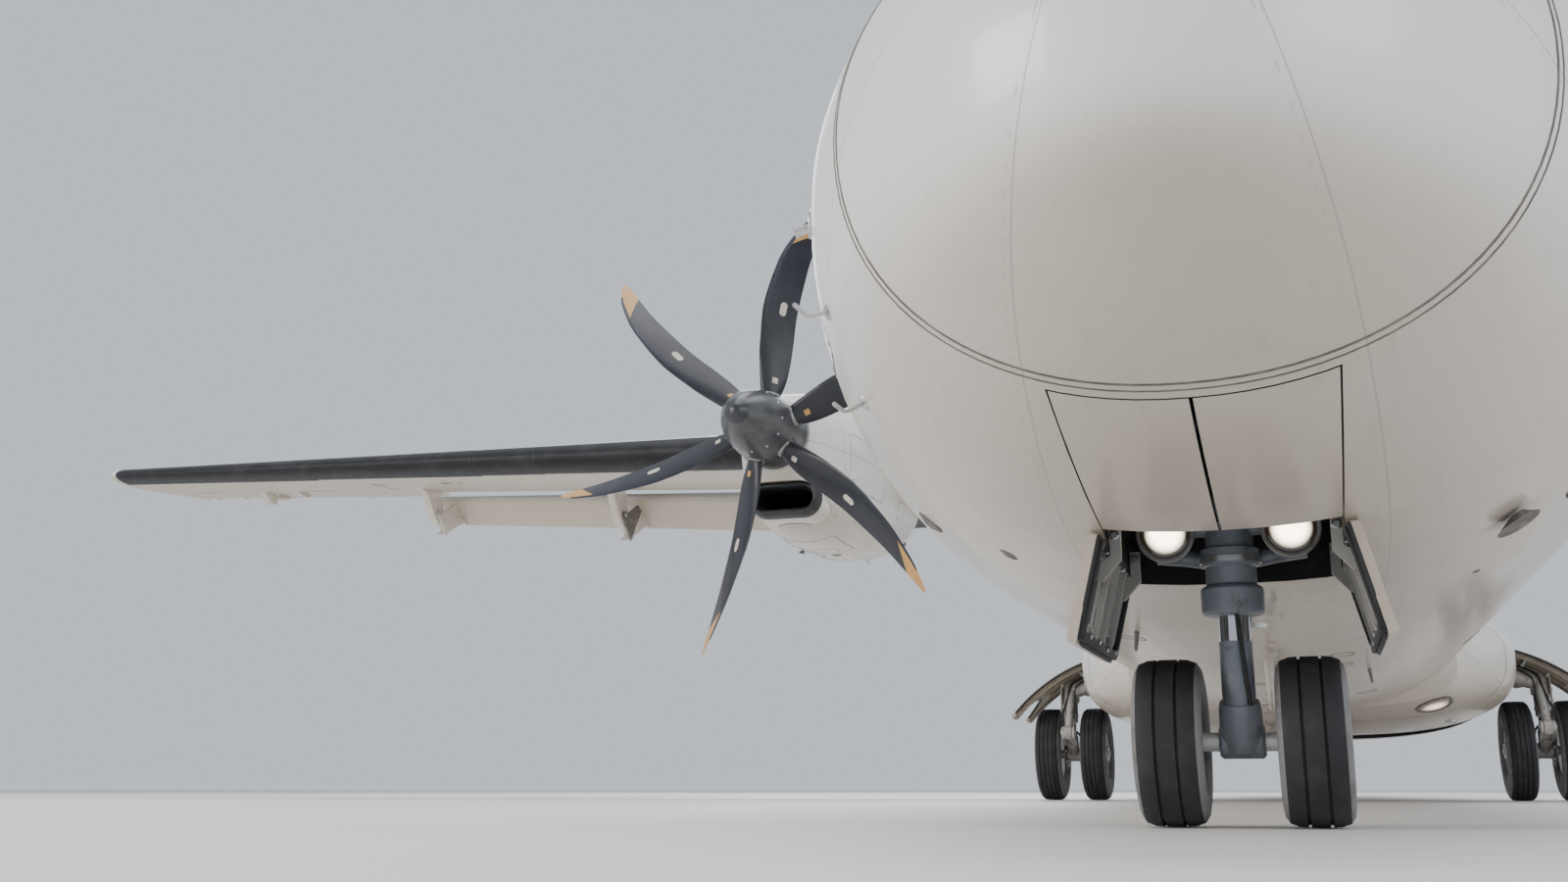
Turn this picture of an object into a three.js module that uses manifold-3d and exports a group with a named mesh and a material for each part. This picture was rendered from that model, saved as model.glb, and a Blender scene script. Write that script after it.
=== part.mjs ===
// Twin-engined high-wing turboprop airliner, parked on its wheels with the flaps lowered.
// Millimetres. X points forward, Y to port, Z up; the ground is Z = 0 and X = 0 is half way along.
import * as THREE from "three";
import { mergeVertices } from "three/addons/utils/BufferGeometryUtils.js";
import Module from "manifold-3d";

const wasm = await Module();
wasm.setup();

const HALF_LENGTH = 13583;
const HALF_SPAN = 13525;
const RUNNING_GAP = 8; // between a moving panel and its frame
const SEAT_GAP = 0.4; // between two fixed pieces that touch
const radians = THREE.MathUtils.degToRad;
const V = (x, y, z) => new THREE.Vector3(x, y, z);
const mix = THREE.MathUtils.lerp;

// Shape tools

// A closed geometry as a solid that can be joined and cut, turned so that its faces point out.
function solidOf(geometry) {
  const bare = geometry.clone();
  bare.deleteAttribute("normal");
  bare.deleteAttribute("uv");
  const merged = mergeVertices(bare, 1e-3);
  const corners = [];
  for (let i = 0; i < merged.index.count; i += 3) {
    const [a, b, c] = [0, 1, 2].map((k) => merged.index.getX(i + k));
    if (a !== b && b !== c && a !== c) corners.push(a, b, c);
  }
  const made = (triVerts) =>
    new wasm.Manifold(
      new wasm.Mesh({
        numProp: 3,
        vertProperties: new Float32Array(merged.attributes.position.array),
        triVerts: new Uint32Array(triVerts),
      }),
    );
  const first = made(corners);
  return first.volume() >= 0 ? first : made(corners.reverse());
}

function geometryOf(solid) {
  const mesh = solid.getMesh();
  const position = new Float32Array(mesh.numVert * 3);
  for (let i = 0; i < mesh.numVert; i++) {
    position.set(mesh.vertProperties.subarray(i * mesh.numProp, i * mesh.numProp + 3), i * 3);
  }
  return new THREE.BufferGeometry()
    .setAttribute("position", new THREE.BufferAttribute(position, 3))
    .setIndex(new THREE.BufferAttribute(mesh.triVerts, 1));
}

const join = (...solids) => solids.reduce((all, one) => all.add(one));
const cut = (solid, ...tools) => tools.reduce((left, tool) => left.subtract(tool), solid);

// The triangles that close one ring of points, facing the way of `out`.
function capTriangles(ring, out) {
  const size = [Math.abs(out.x), Math.abs(out.y), Math.abs(out.z)];
  const drop = size.indexOf(Math.max(...size));
  const flat = ring.map((p) => {
    const kept = [p.x, p.y, p.z].filter((_, axis) => axis !== drop);
    return new THREE.Vector2(...kept);
  });
  return THREE.ShapeUtils.triangulateShape(flat, []).map(([a, b, c]) => {
    const normal = ring[b].clone().sub(ring[a]).cross(ring[c].clone().sub(ring[a]));
    return normal.dot(out) > 0 ? [a, b, c] : [a, c, b];
  });
}

// A solid skinned over rings that all have the same number of points.
function loft(rings) {
  const count = rings[0].length;
  const position = rings.flat().flatMap((p) => [p.x, p.y, p.z]);
  const middle = (ring) => ring.reduce((sum, p) => sum.add(p), V(0, 0, 0)).divideScalar(count);
  const along = middle(rings.at(-1)).sub(middle(rings[0]));
  const turn = V(0, 0, 0);
  rings[0].forEach((p, j) => turn.add(p.clone().cross(rings[0][(j + 1) % count])));
  const inward = turn.dot(along) > 0;
  const index = [];
  for (let i = 0; i + 1 < rings.length; i++) {
    for (let j = 0; j < count; j++) {
      const [a, b] = [i * count + j, i * count + ((j + 1) % count)];
      const quad = [a, b, b + count, a, b + count, a + count];
      index.push(...(inward ? quad : quad.reverse()));
    }
  }
  capTriangles(rings[0], along.clone().negate()).forEach((t) => index.push(...t));
  const last = (rings.length - 1) * count;
  capTriangles(rings.at(-1), along).forEach((t) => index.push(...t.map((k) => k + last)));
  return solidOf(
    new THREE.BufferGeometry()
      .setAttribute("position", new THREE.Float32BufferAttribute(position, 3))
      .setIndex(index),
  );
}

const moved = (geometry, matrix) => solidOf(geometry.clone().applyMatrix4(matrix));

function box(low, high) {
  const size = high.clone().sub(low);
  const centre = low.clone().add(high).multiplyScalar(0.5);
  return solidOf(new THREE.BoxGeometry(size.x, size.y, size.z).translate(...centre));
}

// A round bar between two points, tapered when the second radius differs.
function rod(from, to, radius, endRadius = radius, sides = 8) {
  const axis = to.clone().sub(from);
  const turn = new THREE.Quaternion().setFromUnitVectors(V(0, 1, 0), axis.clone().normalize());
  const place = new THREE.Matrix4().compose(from.clone().lerp(to, 0.5), turn, V(1, 1, 1));
  return moved(new THREE.CylinderGeometry(endRadius, radius, axis.length(), sides), place);
}

// A hole for a pin that turns in it, with its flats clear of the pin's corners.
const PIN_PLAY = 0.5;
const BORE_SIDES = 12;
function bore(from, to, pinRadius) {
  const radius = (pinRadius + PIN_PLAY) / Math.cos(Math.PI / BORE_SIDES);
  return rod(from, to, radius, radius, BORE_SIDES);
}

// A plate with an outline in X and Z, from one Y to another.
function plateXZ(outline, yLow, yHigh) {
  const ring = (y) => outline.map(([x, z]) => V(x, y, z));
  return loft([ring(yLow), ring(yHigh)]);
}

// A bar with an outline in Y and Z, from one X to another.
function barYZ(outline, xLow, xHigh) {
  const ring = (x) => outline.map(([y, z]) => V(x, y, z));
  return loft([ring(xLow), ring(xHigh)]);
}

// A solid of revolution round an axis along Y through the origin; the profile is [radius, y] pairs.
function turnedY(profile, sides) {
  return solidOf(new THREE.LatheGeometry(profile.map(([r, y]) => new THREE.Vector2(r, y)), sides));
}

const rimPoint = (centre, radius, angle) => [
  centre[0] + radius * Math.cos(radians(angle)),
  centre[1] + radius * Math.sin(radians(angle)),
];

// Materials

const paint = (colour, roughness = 0.35, metalness = 0.1) =>
  new THREE.MeshStandardMaterial({ color: colour, roughness, metalness });
const white = paint(0xe4e3df);
const panelGrey = paint(0xcfc9c1, 0.45);
const bladeBlack = paint(0x24262b, 0.4);
const steel = paint(0x8d9094, 0.35, 0.8);
const alloy = paint(0xb9bab8, 0.4, 0.7);
const tyreBlack = paint(0x1b1b1d, 0.85, 0);
const hotMetal = paint(0x6d655c, 0.4, 0.8);
const glass = paint(0x18202a, 0.1, 0);

const aircraft = new THREE.Group();
const sides = { left: new THREE.Group(), right: new THREE.Group() };
sides.right.scale.y = -1;
aircraft.add(sides.left, sides.right);

function add(name, solid, material, parent = aircraft) {
  const mesh = new THREE.Mesh(geometryOf(solid), material);
  mesh.name = name;
  parent.add(mesh);
  return mesh;
}

// One piece for each side; it is built to port and the starboard group mirrors it.
function addPair(name, solid, material) {
  return Object.entries(sides).map(([side, group]) => add(`${name}_${side}`, solid, material, group));
}

// Fuselage: columns are x, half width, top, bottom, widest height and squareness of the lower half

const HALF_WIDTH = 1432;
const BODY_TOP = 3412;
const BODY_BOTTOM = 672;
const WIDE_LINE = 1980; // height at which the body is widest
const bodyStations = [
  [HALF_LENGTH, 40, 1440, 1360, 1400, 2.0],
  [13530, 205, 1625, 1215, 1420, 2.0],
  [13380, 415, 1810, 1075, 1445, 2.05],
  [13080, 660, 2060, 930, 1495, 2.1],
  [12560, 905, 2340, 800, 1590, 2.2],
  [12120, 1060, 2660, 735, 1690, 2.35],
  [11700, 1180, 2960, 702, 1790, 2.45],
  [11100, 1300, 3195, 684, 1890, 2.55],
  [10500, 1375, 3330, 675, 1945, 2.6],
  [9700, 1424, 3400, BODY_BOTTOM, 1975, 2.6],
  [8900, HALF_WIDTH, BODY_TOP, BODY_BOTTOM, WIDE_LINE, 2.6],
  [-3300, HALF_WIDTH, BODY_TOP, BODY_BOTTOM, WIDE_LINE, 2.6],
  [-4800, 1422, BODY_TOP, 715, 2000, 2.6],
  [-6300, 1378, 3410, 890, 2070, 2.6],
  [-7900, 1255, 3402, 1250, 2240, 2.5],
  [-9600, 945, 3385, 1770, 2550, 2.25],
  [-11200, 550, 3350, 2320, 2830, 2.0],
  [-12300, 250, 3270, 2720, 2990, 2.0],
  [-12750, 70, 3160, 2930, 3040, 2.0],
];
const RING_POINTS = 24;

// The outline's values at any x, between the stations on each side of it.
function bodyAt(x) {
  const next = bodyStations.findIndex((row) => row[0] <= x);
  if (next <= 0) return next === 0 ? bodyStations[0] : bodyStations.at(-1);
  const [ahead, behind] = [bodyStations[next - 1], bodyStations[next]];
  const share = (ahead[0] - x) / (ahead[0] - behind[0]);
  return ahead.map((value, k) => mix(value, behind[k], share));
}

// One ring of the body: a half ellipse above the widest line and a squarer half below it.
function bodyRing(x, inset = 0) {
  const [, halfWidth, top, bottom, line, square] = bodyAt(x);
  return Array.from({ length: RING_POINTS }, (_, k) => {
    const angle = (2 * Math.PI * k) / RING_POINTS;
    const [c, s] = [Math.cos(angle), Math.sin(angle)];
    const power = s < 0 ? 2 / square : 1;
    const across = Math.sign(c) * Math.abs(c) ** power * Math.max(halfWidth - inset, 10);
    const rise = s < 0 ? line - bottom - inset : top - inset - line;
    return V(x, across, line + Math.sign(s) * Math.abs(s) ** power * Math.max(rise, 5));
  });
}

function bodyBetween(xFront, xRear, inset = 0) {
  const between = bodyStations.map((row) => row[0]).filter((x) => x < xFront - 20 && x > xRear + 20);
  return loft([xFront, ...between, xRear].map((x) => bodyRing(x, inset)));
}

// Wing: columns are y, leading edge x, chord, height of the chord line and thickness share

const CENTRE_CHORD = 2570;
const WING_LE = 2100;
const WING_HEIGHT = 3420;
const WING_BREAK = 4750; // where the centre wing meets the outer wing
const TIP_CHORD = 1590;
const TIP_LE = 1610;
const TIP_RISE = 378;
const wingRoot = { y: WING_BREAK, lead: WING_LE, chord: CENTRE_CHORD, height: WING_HEIGHT, thick: 0.18 };
const wingTip = {
  y: 13400,
  lead: TIP_LE,
  chord: TIP_CHORD,
  height: WING_HEIGHT + TIP_RISE,
  thick: 0.13,
};

// The wing's section at any span; it is constant inboard of the break.
function wingAt(y) {
  const share = Math.max(0, (y - WING_BREAK) / (wingTip.y - WING_BREAK));
  const section = { y };
  for (const key of ["lead", "chord", "height", "thick"]) {
    section[key] = mix(wingRoot[key], wingTip[key], share);
  }
  return section;
}

const CAMBER = 0.02;
// Height of the upper (+1) or lower (-1) surface above the chord line, as a share of the chord.
function surface(share, thick, side, camber = CAMBER) {
  const x = Math.min(Math.max(share, 0), 1);
  const half =
    5 * thick * (0.2969 * Math.sqrt(x) - 0.126 * x - 0.3516 * x ** 2 + 0.2843 * x ** 3 - 0.1036 * x ** 4);
  return 4 * camber * x * (1 - x) + side * half;
}

// A point of a lifting surface's section, `drop` millimetres below the surface it names.
function skinPoint(section, share, side, drop = 0) {
  const camber = section.camber ?? CAMBER;
  const z = section.height + section.chord * surface(share, section.thick, side, camber) - drop;
  return V(section.lead - section.chord * share, section.y, z);
}

const COVE_ANGLES = [-56, -28, 0, 28, 56]; // round the nose of a hinged surface
const LIP_SHARE = 0.72; // where the lower skin ends ahead of a flap
const SHROUD_SHARE = 0.88; // where the upper skin ends over a flap
const HINGE_SHARE = 0.74; // aileron hinge line
const upperShares = [0.7, 0.5, 0.3, 0.14, 0.045, 0.01];
const lowerShares = [0.012, 0.06, 0.18, 0.42];

const noseLoop = (section) => [
  ...upperShares.map((share) => skinPoint(section, share, 1)),
  skinPoint(section, 0, 1),
  ...lowerShares.map((share) => skinPoint(section, share, -1)),
];

// The fixed wing ahead of a flap, with its cove under the upper skin.
const coveRing = (section) => [
  skinPoint(section, SHROUD_SHARE, 1),
  skinPoint(section, 0.8, 1),
  ...noseLoop(section),
  skinPoint(section, LIP_SHARE, -1),
  skinPoint(section, LIP_SHARE + 0.006, -1, -20),
  skinPoint(section, LIP_SHARE + 0.012, 1, 40),
  skinPoint(section, 0.8, 1, 17),
  skinPoint(section, SHROUD_SHARE, 1, 5),
];

// A whole section with its trailing edge, or one that stops at the aileron's hinge line.
const wholeRing = (section) => [
  skinPoint(section, 1, 1, -4),
  skinPoint(section, SHROUD_SHARE, 1),
  skinPoint(section, 0.8, 1),
  ...noseLoop(section),
  skinPoint(section, LIP_SHARE, -1),
  skinPoint(section, 0.9, -1),
  skinPoint(section, 1, -1, 4),
];

// The flap's section with the flap shut: its nose lies under the upper skin.
const flapRing = (section) => [
  skinPoint(section, 1, 1, -3),
  skinPoint(section, SHROUD_SHARE + 0.012, 1, 3),
  skinPoint(section, SHROUD_SHARE - 0.01, 1, 20),
  skinPoint(section, 0.8, 1, 34),
  skinPoint(section, 0.758, 1, 64),
  skinPoint(section, 0.742, -1, -62),
  skinPoint(section, 0.747, -1, -16),
  skinPoint(section, 0.765, -1),
  skinPoint(section, 0.88, -1),
  skinPoint(section, 1, -1, 3),
];

const FLAP_ANGLE = 30;
const HINGE_BACK = 0.7; // flap pivot, as a share of the chord behind the leading edge
const HINGE_DROP = 0.163; // and below the chord line
function flapPivot(y) {
  const section = wingAt(y);
  return V(
    section.lead - HINGE_BACK * section.chord,
    y,
    section.height - HINGE_DROP * section.chord,
  );
}

// Flap carriers: the wing that holds each fin, and the flap that swings on it
const FAIRING_HALF = 46;
const ARM_THICK = 22;
const ARM_SIDE = FAIRING_HALF + 6; // from a fin's middle to the near face of the arm beside it
const PIVOT_PIN = 16;
const fairingPlaces = [
  { y: 1950, wing: "centre" },
  { y: 4515, wing: "centre" },
  { y: 5100, wing: "outer" },
  { y: 7200, wing: "outer" },
  { y: 9600, wing: "outer" },
];

// A plate between two offsets from a flap's hinge plane at y, square to the hinge line.
function hingePlate(outline, y, low, high) {
  const pivot = flapPivot(y);
  const next = flapPivot(y + 100).sub(pivot);
  const [leanX, leanZ] = y < WING_BREAK ? [0, 0] : [next.x / next.y, next.z / next.y];
  const ring = (offset) =>
    outline.map(([x, z]) => V(x, y + offset - (x - pivot.x) * leanX - (z - pivot.z) * leanZ, z));
  return loft([ring(low), ring(high)]);
}

// The outline of the fixed fin under the wing that carries a flap's pivot.
function finOutline(y) {
  const section = wingAt(y);
  const k = section.chord / CENTRE_CHORD;
  const pivot = flapPivot(y);
  const at = (share, drop) => {
    const p = skinPoint(section, share, -1, drop);
    return [p.x, p.z];
  };
  return [
    at(0.47, -30),
    at(0.56, 62 * k),
    [pivot.x + 60 * k, pivot.z - 88 * k],
    [pivot.x - 150 * k, pivot.z - 158 * k],
    [pivot.x - 285 * k, pivot.z - 178 * k],
    [pivot.x - 300 * k, pivot.z - 120 * k],
    [pivot.x - 150 * k, pivot.z + 60 * k],
    at(LIP_SHARE - 0.012, -14),
    at(0.6, -40),
  ];
}
const flapFairing = (y) =>
  cut(
    hingePlate(finOutline(y), y, -FAIRING_HALF, FAIRING_HALF),
    pivotPin(y, -FAIRING_HALF - 9, 9, bore),
  );

// The room that a fin and the arm beside it need in a piece round them.
function finSeat(y) {
  const fin = hingePlate(finOutline(y), y, -FAIRING_HALF - SEAT_GAP, FAIRING_HALF + SEAT_GAP);
  const gap = 1.5 * SEAT_GAP;
  const pivot = flapPivot(y);
  const side = ARM_SIDE + ARM_THICK + RUNNING_GAP;
  return join(
    ...[[gap, gap], [gap, -gap], [-gap, gap], [-gap, -gap]].map(([x, z]) => fin.translate([x, 0, z])),
    box(V(pivot.x - 400, y - side, pivot.z - 400), V(pivot.x + 75, y, pivot.z + 400)),
  );
}

// The arm that swings beside the fin, and the fairing behind the fin, drawn with the flap shut.
const CLEAR_OF_FIN = 350; // the fairing starts outside this circle round the pivot
function flapArm(y) {
  const section = wingAt(y);
  const k = section.chord / CENTRE_CHORD;
  const pivot = flapPivot(y);
  const at = (share, drop) => {
    const p = skinPoint(section, share, -1, drop);
    return [p.x, p.z];
  };
  const round = (radius, angles) => angles.map((a) => rimPoint([pivot.x, pivot.z], radius * k, a));
  const arm = [
    ...round(52, [130, 70, 10, -50, -110]),
    ...round(CLEAR_OF_FIN + 30, [200]),
    at(0.9, -8),
    at(0.8, -22),
  ];
  const tail = [
    ...round(CLEAR_OF_FIN, [168, 180, 192, 204]),
    at(0.985, 30 * k),
    at(0.985, -4),
    at(0.84, -22),
  ];
  return join(
    hingePlate(arm, y, -ARM_SIDE - ARM_THICK, -ARM_SIDE),
    hingePlate(tail, y, -ARM_SIDE - ARM_THICK, FAIRING_HALF),
  );
}

// The pivot's pin, square to the hinge plane at y, between two offsets from it.
function pivotPin(y, low, high, shape = rod) {
  const pivot = flapPivot(y);
  const next = flapPivot(y + 100).sub(pivot);
  const along = y < WING_BREAK ? V(0, 1, 0) : next.normalize();
  return shape(
    pivot.clone().addScaledVector(along, low),
    pivot.clone().addScaledVector(along, high),
    PIVOT_PIN,
  );
}

const wingLoft = (ring, spans) => loft(spans.map((y) => ring(wingAt(y))));
const INNER_FLAP = [1560, 4690];
const OUTER_FLAP = [4790, 9730];
const AILERON = [9790, 13180];

const fairingsOf = (wing) => fairingPlaces.filter((place) => place.wing === wing);
const withFairings = (solid, wing) => join(solid, ...fairingsOf(wing).map(({ y }) => flapFairing(y)));

// The centre wing runs through the body top from nacelle to nacelle.
const mirrorY = (solid) => solid.scale([1, -1, 1]);
const centrePlain = wingLoft(coveRing, [-WING_BREAK, WING_BREAK]);
const centreFins = fairingsOf("centre").map(({ y }) => flapFairing(y));
const centreWing = join(centrePlain, ...centreFins, ...centreFins.map(mirrorY));
// A slightly larger centre wing, for the seats cut into the pieces round it.
const seatSection = { ...wingRoot, lead: WING_LE + 0.5, chord: CENTRE_CHORD + 1, thick: 0.1804 };
const wingSeat = loft([-WING_BREAK + 1, WING_BREAK - 1].map((y) => wholeRing({ ...seatSection, y })));

// The outer wing: cove over the flap, a plain stretch ahead of the aileron, and a rounded tip.
function hingeCove(section) {
  const hinge = skinPoint(section, HINGE_SHARE, 1).lerp(skinPoint(section, HINGE_SHARE, -1), 0.5);
  const radius = aileronRadius(section) + RUNNING_GAP;
  const arc = COVE_ANGLES.map((angle) => {
    const [x, z] = rimPoint([hinge.x, hinge.z], radius, angle);
    return V(x, section.y, z);
  });
  return { hinge, arc };
}
function aileronRadius(section) {
  const upper = skinPoint(section, HINGE_SHARE, 1);
  return (upper.z - skinPoint(section, HINGE_SHARE, -1).z) / 2 - 3;
}
const hingeRing = (section) => [
  skinPoint(section, HINGE_SHARE - 0.02, 1),
  ...noseLoop(section),
  skinPoint(section, HINGE_SHARE - 0.02, -1),
  ...hingeCove(section).arc,
];
function aileronRing(section) {
  const { hinge } = hingeCove(section);
  const radius = aileronRadius(section);
  const arc = [-90, -60, -30, 0, 30, 60, 90].map((angle) => {
    const [x, z] = rimPoint([hinge.x, hinge.z], radius, angle);
    return V(x, section.y, z);
  });
  return [
    ...arc,
    skinPoint(section, 0.82, 1, 1),
    skinPoint(section, 1, 1, -3),
    skinPoint(section, 1, -1, 3),
    skinPoint(section, 0.82, -1, -1),
  ];
}

const tipRing = (y, share, rise) => {
  const section = wingAt(wingTip.y);
  const whole = wholeRing({ ...section, y });
  const middle = V(section.lead - 0.45 * section.chord, y, section.height + rise);
  return whole.map((p) => {
    const q = p.clone().lerp(middle, 1 - share);
    q.x = mix(p.x, middle.x, (1 - share) * 0.7);
    return q;
  });
};
const outerFlapBay = wingLoft(coveRing, [WING_BREAK + SEAT_GAP, OUTER_FLAP[1] + 14]);
const outerAileronBay = wingLoft(hingeRing, [OUTER_FLAP[1] + 14, AILERON[1] + 14]);
const outerTip = loft([
  wholeRing(wingAt(AILERON[1] + 14)),
  wholeRing(wingAt(wingTip.y - 60)),
  tipRing(13475, 0.72, 14),
  tipRing(HALF_SPAN, 0.3, 24),
]);
const flapRib = wingLoft(wholeRing, [OUTER_FLAP[1] + 12, AILERON[0] - 12]);
const AILERON_PIN = 9;
const aileronHinge = (y) => hingeCove(wingAt(y)).hinge;
const alongAileron = (y) => aileronHinge(AILERON[0]).lerp(
  aileronHinge(AILERON[1]),
  (y - AILERON[0]) / (AILERON[1] - AILERON[0]),
);
const aileronPins = (shape, play) => [
  shape(alongAileron(AILERON[0] - 34 - play), alongAileron(AILERON[0] + 20), AILERON_PIN),
  shape(alongAileron(AILERON[1] - 20), alongAileron(AILERON[1] + 48 + play), AILERON_PIN),
];
const outerWing = cut(
  withFairings(join(outerFlapBay, outerAileronBay, outerTip, flapRib), "outer"),
  ...aileronPins(bore, 2),
);
const aileron = join(wingLoft(aileronRing, AILERON), ...aileronPins(rod, 0));

// A flap with its arms, drawn shut and then swung down on its pivot line.
function addFlap(name, [yIn, yOut], wing) {
  const places = fairingPlaces.filter((place) => place.wing === wing);
  const whole = join(
    wingLoft(flapRing, [yIn, yOut]),
    ...places.flatMap(({ y }) => [flapArm(y), pivotPin(y, -ARM_SIDE - ARM_THICK, 0)]),
  );
  const from = flapPivot(places[0].y);
  const axis = flapPivot(places.at(-1).y).sub(from).normalize();
  const local = whole.translate([-from.x, -from.y, -from.z]);
  for (const [side, group] of Object.entries(sides)) {
    const mesh = add(`${name}_${side}`, local, panelGrey, group);
    mesh.position.copy(from);
    mesh.quaternion.setFromAxisAngle(axis, -radians(FLAP_ANGLE));
  }
}

// Nacelle: columns are x, half width, top and bottom

const ENGINE_Y = 4050;
const THRUST_LINE = 3070;
const PROP_PLANE = 4250;
const nacelleStations = [
  [3955, 318, 3388, 2752],
  [3850, 352, 3440, 2690],
  [3600, 425, 3520, 2420],
  [3200, 505, 3605, 2300],
  [2700, 548, 3680, 2255],
  [2100, 556, 3735, 2255],
  [1500, 545, 3752, 2320],
  [900, 505, 3735, 2455],
  [460, 430, 3690, 2700],
  [230, 380, 3655, 3080],
  [-130, 260, 3585, 3180],
];
const NACELLE_POINTS = 20;
const nacelleRing = ([x, halfWidth, top, bottom]) =>
  Array.from({ length: NACELLE_POINTS }, (_, k) => {
    const angle = (2 * Math.PI * k) / NACELLE_POINTS;
    const [c, s] = [Math.cos(angle), Math.sin(angle)];
    const power = x > 3900 ? 1 : 0.84;
    const line = mix(bottom, top, 0.5);
    return V(
      x,
      ENGINE_Y + Math.sign(c) * Math.abs(c) ** power * halfWidth,
      line + Math.sign(s) * Math.abs(s) ** power * ((top - bottom) / 2),
    );
  });

// An oval in Y and Z with flat top and bottom and round ends, as the air intake has.
function ovalRing(x, centreZ, halfWidth, halfHeight, tilt = 0) {
  const ends = [-90, -60, -30, 0, 30, 60, 90];
  const right = ends.map((a) => rimPoint([halfWidth - halfHeight, 0], halfHeight, a));
  const left = ends.map((a) => rimPoint([halfHeight - halfWidth, 0], halfHeight, a + 180));
  return [...right, ...left].map(([y, z]) => V(x + tilt * z, ENGINE_Y + y, centreZ + z));
}

const INTAKE_Z = 2555;
const intakeLip = { front: 3760, rear: 3420, halfWidth: 305, halfHeight: 135 };
const intakeOuter = loft([
  ovalRing(intakeLip.front, INTAKE_Z, 292, 118),
  ovalRing(intakeLip.front - 40, INTAKE_Z, 318, 146),
  ovalRing(intakeLip.front - 160, INTAKE_Z - 2, 336, 166),
  ovalRing(intakeLip.rear, INTAKE_Z - 6, 352, 184),
]);
const intakeDuct = loft([
  ovalRing(intakeLip.front + 5, INTAKE_Z, 272, 96),
  ovalRing(intakeLip.front - 60, INTAKE_Z, 258, 84),
  ovalRing(2850, INTAKE_Z, 250, 90),
]);
const intake = cut(intakeOuter, intakeDuct);

// The engine, a plain block, with its gear case reaching forward to the propeller.
const engineBox = [V(2230, ENGINE_Y - 335, 2765), V(3450, ENGINE_Y + 335, 3400)];
const shaftAt = (x) => V(x, ENGINE_Y, THRUST_LINE);
const GEAR_CASE_RADIUS = 190;
const GEAR_CASE_FRONT = 3960;
const gearCase = (extra) => {
  const radius = GEAR_CASE_RADIUS + extra;
  return rod(shaftAt(3400), shaftAt(GEAR_CASE_FRONT + 5), radius, radius, 16);
};
const SHAFT_RADIUS = 80;
const propShaft = rod(shaftAt(3950), shaftAt(4180), SHAFT_RADIUS);
const engine = join(
  box(...engineBox),
  cut(gearCase(0), box(V(GEAR_CASE_FRONT, 0, 0), V(4100, 9000, 9000))),
  propShaft,
);
const engineBay = join(
  box(
    engineBox[0].clone().subScalar(SEAT_GAP),
    engineBox[1].clone().addScalar(SEAT_GAP),
  ),
  gearCase(SEAT_GAP),
);

// The exhaust nozzle: an oval pipe that turns down under the trailing edge and opens below the cowl.
const nozzleRings = (inset) => [
  ovalRing(1250, 2620, 290 - inset, 190 - inset),
  ovalRing(1050, 2610, 288 - inset, 180 - inset, -0.5),
  ovalRing(660, 2570, 272 - inset, 95 - inset, -3.4),
];
const shifted = (ring, x, z) => ring.map((p) => p.clone().add(V(x, 0, z)));
const nozzleOuter = loft(nozzleRings(0));
const [boreEnd, boreBend, boreMouth] = nozzleRings(18);
const nozzleBore = loft([shifted(boreEnd, -60, 0), boreBend, shifted(boreMouth, -3, -8)]);
const nozzle = cut(nozzleOuter, nozzleBore);
const nozzleSeat = loft(nozzleRings(-2 * SEAT_GAP));
const nozzleMouth = ovalRing(740, 2560, 285, 110, -3.4);

const nacelle = cut(
  loft(nacelleStations.map(nacelleRing)),
  wingSeat,
  finSeat(fairingPlaces[1].y),
  loft([
    ovalRing(intakeLip.front + 120, INTAKE_Z, 353, 185),
    ovalRing(intakeLip.rear - SEAT_GAP, INTAKE_Z - 6, 352 + SEAT_GAP, 184 + SEAT_GAP),
  ]),
  loft([
    ovalRing(intakeLip.rear + 10, INTAKE_Z, 258, 84),
    ovalRing(2850, INTAKE_Z, 250, 90),
  ]),
  engineBay,
  box(V(-900, ENGINE_Y - 900, 2000), V(225, ENGINE_Y + 900, 3470)),
  nozzleSeat,
  loft([nozzleMouth, shifted(nozzleMouth, -120, -600)]),
);

// Propeller: six swept blades on a hub. Columns are radius, chord, pitch, thickness, sweep and bend

const PROP_RADIUS = 1965;
const bladeStations = [
  [250, 150, 62, 105, 0, 0],
  [420, 235, 60, 66, 12, 0],
  [700, 300, 53, 40, 52, 2],
  [1050, 322, 46, 27, 92, 10],
  [1400, 300, 40, 20, 70, 24],
  [1750, 215, 35, 13, -35, 46],
  [PROP_RADIUS, 60, 33, 5, -172, 64],
];
const BLADE_OUTLINE = [
  [0.5, 0],
  [0.28, 0.4],
  [-0.1, 0.48],
  [-0.5, 0.04],
  [-0.1, -0.32],
  [0.28, -0.32],
];
function blade() {
  return loft(
    bladeStations.map(([radius, chord, pitch, thick, sweep, bend]) => {
      const angle = radians(pitch);
      return BLADE_OUTLINE.map(([along, up]) => {
        const [a, u] = [along * chord + sweep, up * thick];
        // Feathered blades lie along X; pitch turns the chord towards the disc.
        const [aft, across] = [Math.cos(angle), Math.sin(angle)];
        return V(a * aft + u * across + bend, a * across * -1 + u * aft, radius);
      });
    }),
  );
}
const BLADE_PHASE = -14;
const HUB_RADIUS = 256;
const HUB_FRONT = 150;
const bladeSet = join(
  rod(V(-HUB_FRONT, 0, 0), V(HUB_FRONT, 0, 0), HUB_RADIUS, HUB_RADIUS, 20),
  ...Array.from({ length: 6 }, (_, k) => blade().rotate([BLADE_PHASE + 60 * k, 0, 0])),
);
const hubBore = bore(V(-160, 0, 0), V(-66, 0, 0), SHAFT_RADIUS);
const propeller = cut(bladeSet, hubBore);
const spinnerProfile = [
  [0, 690],
  [52, 672],
  [125, 600],
  [200, 470],
  [258, 300],
  [290, 80],
  [306, -160],
  [306, -275],
];
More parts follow.
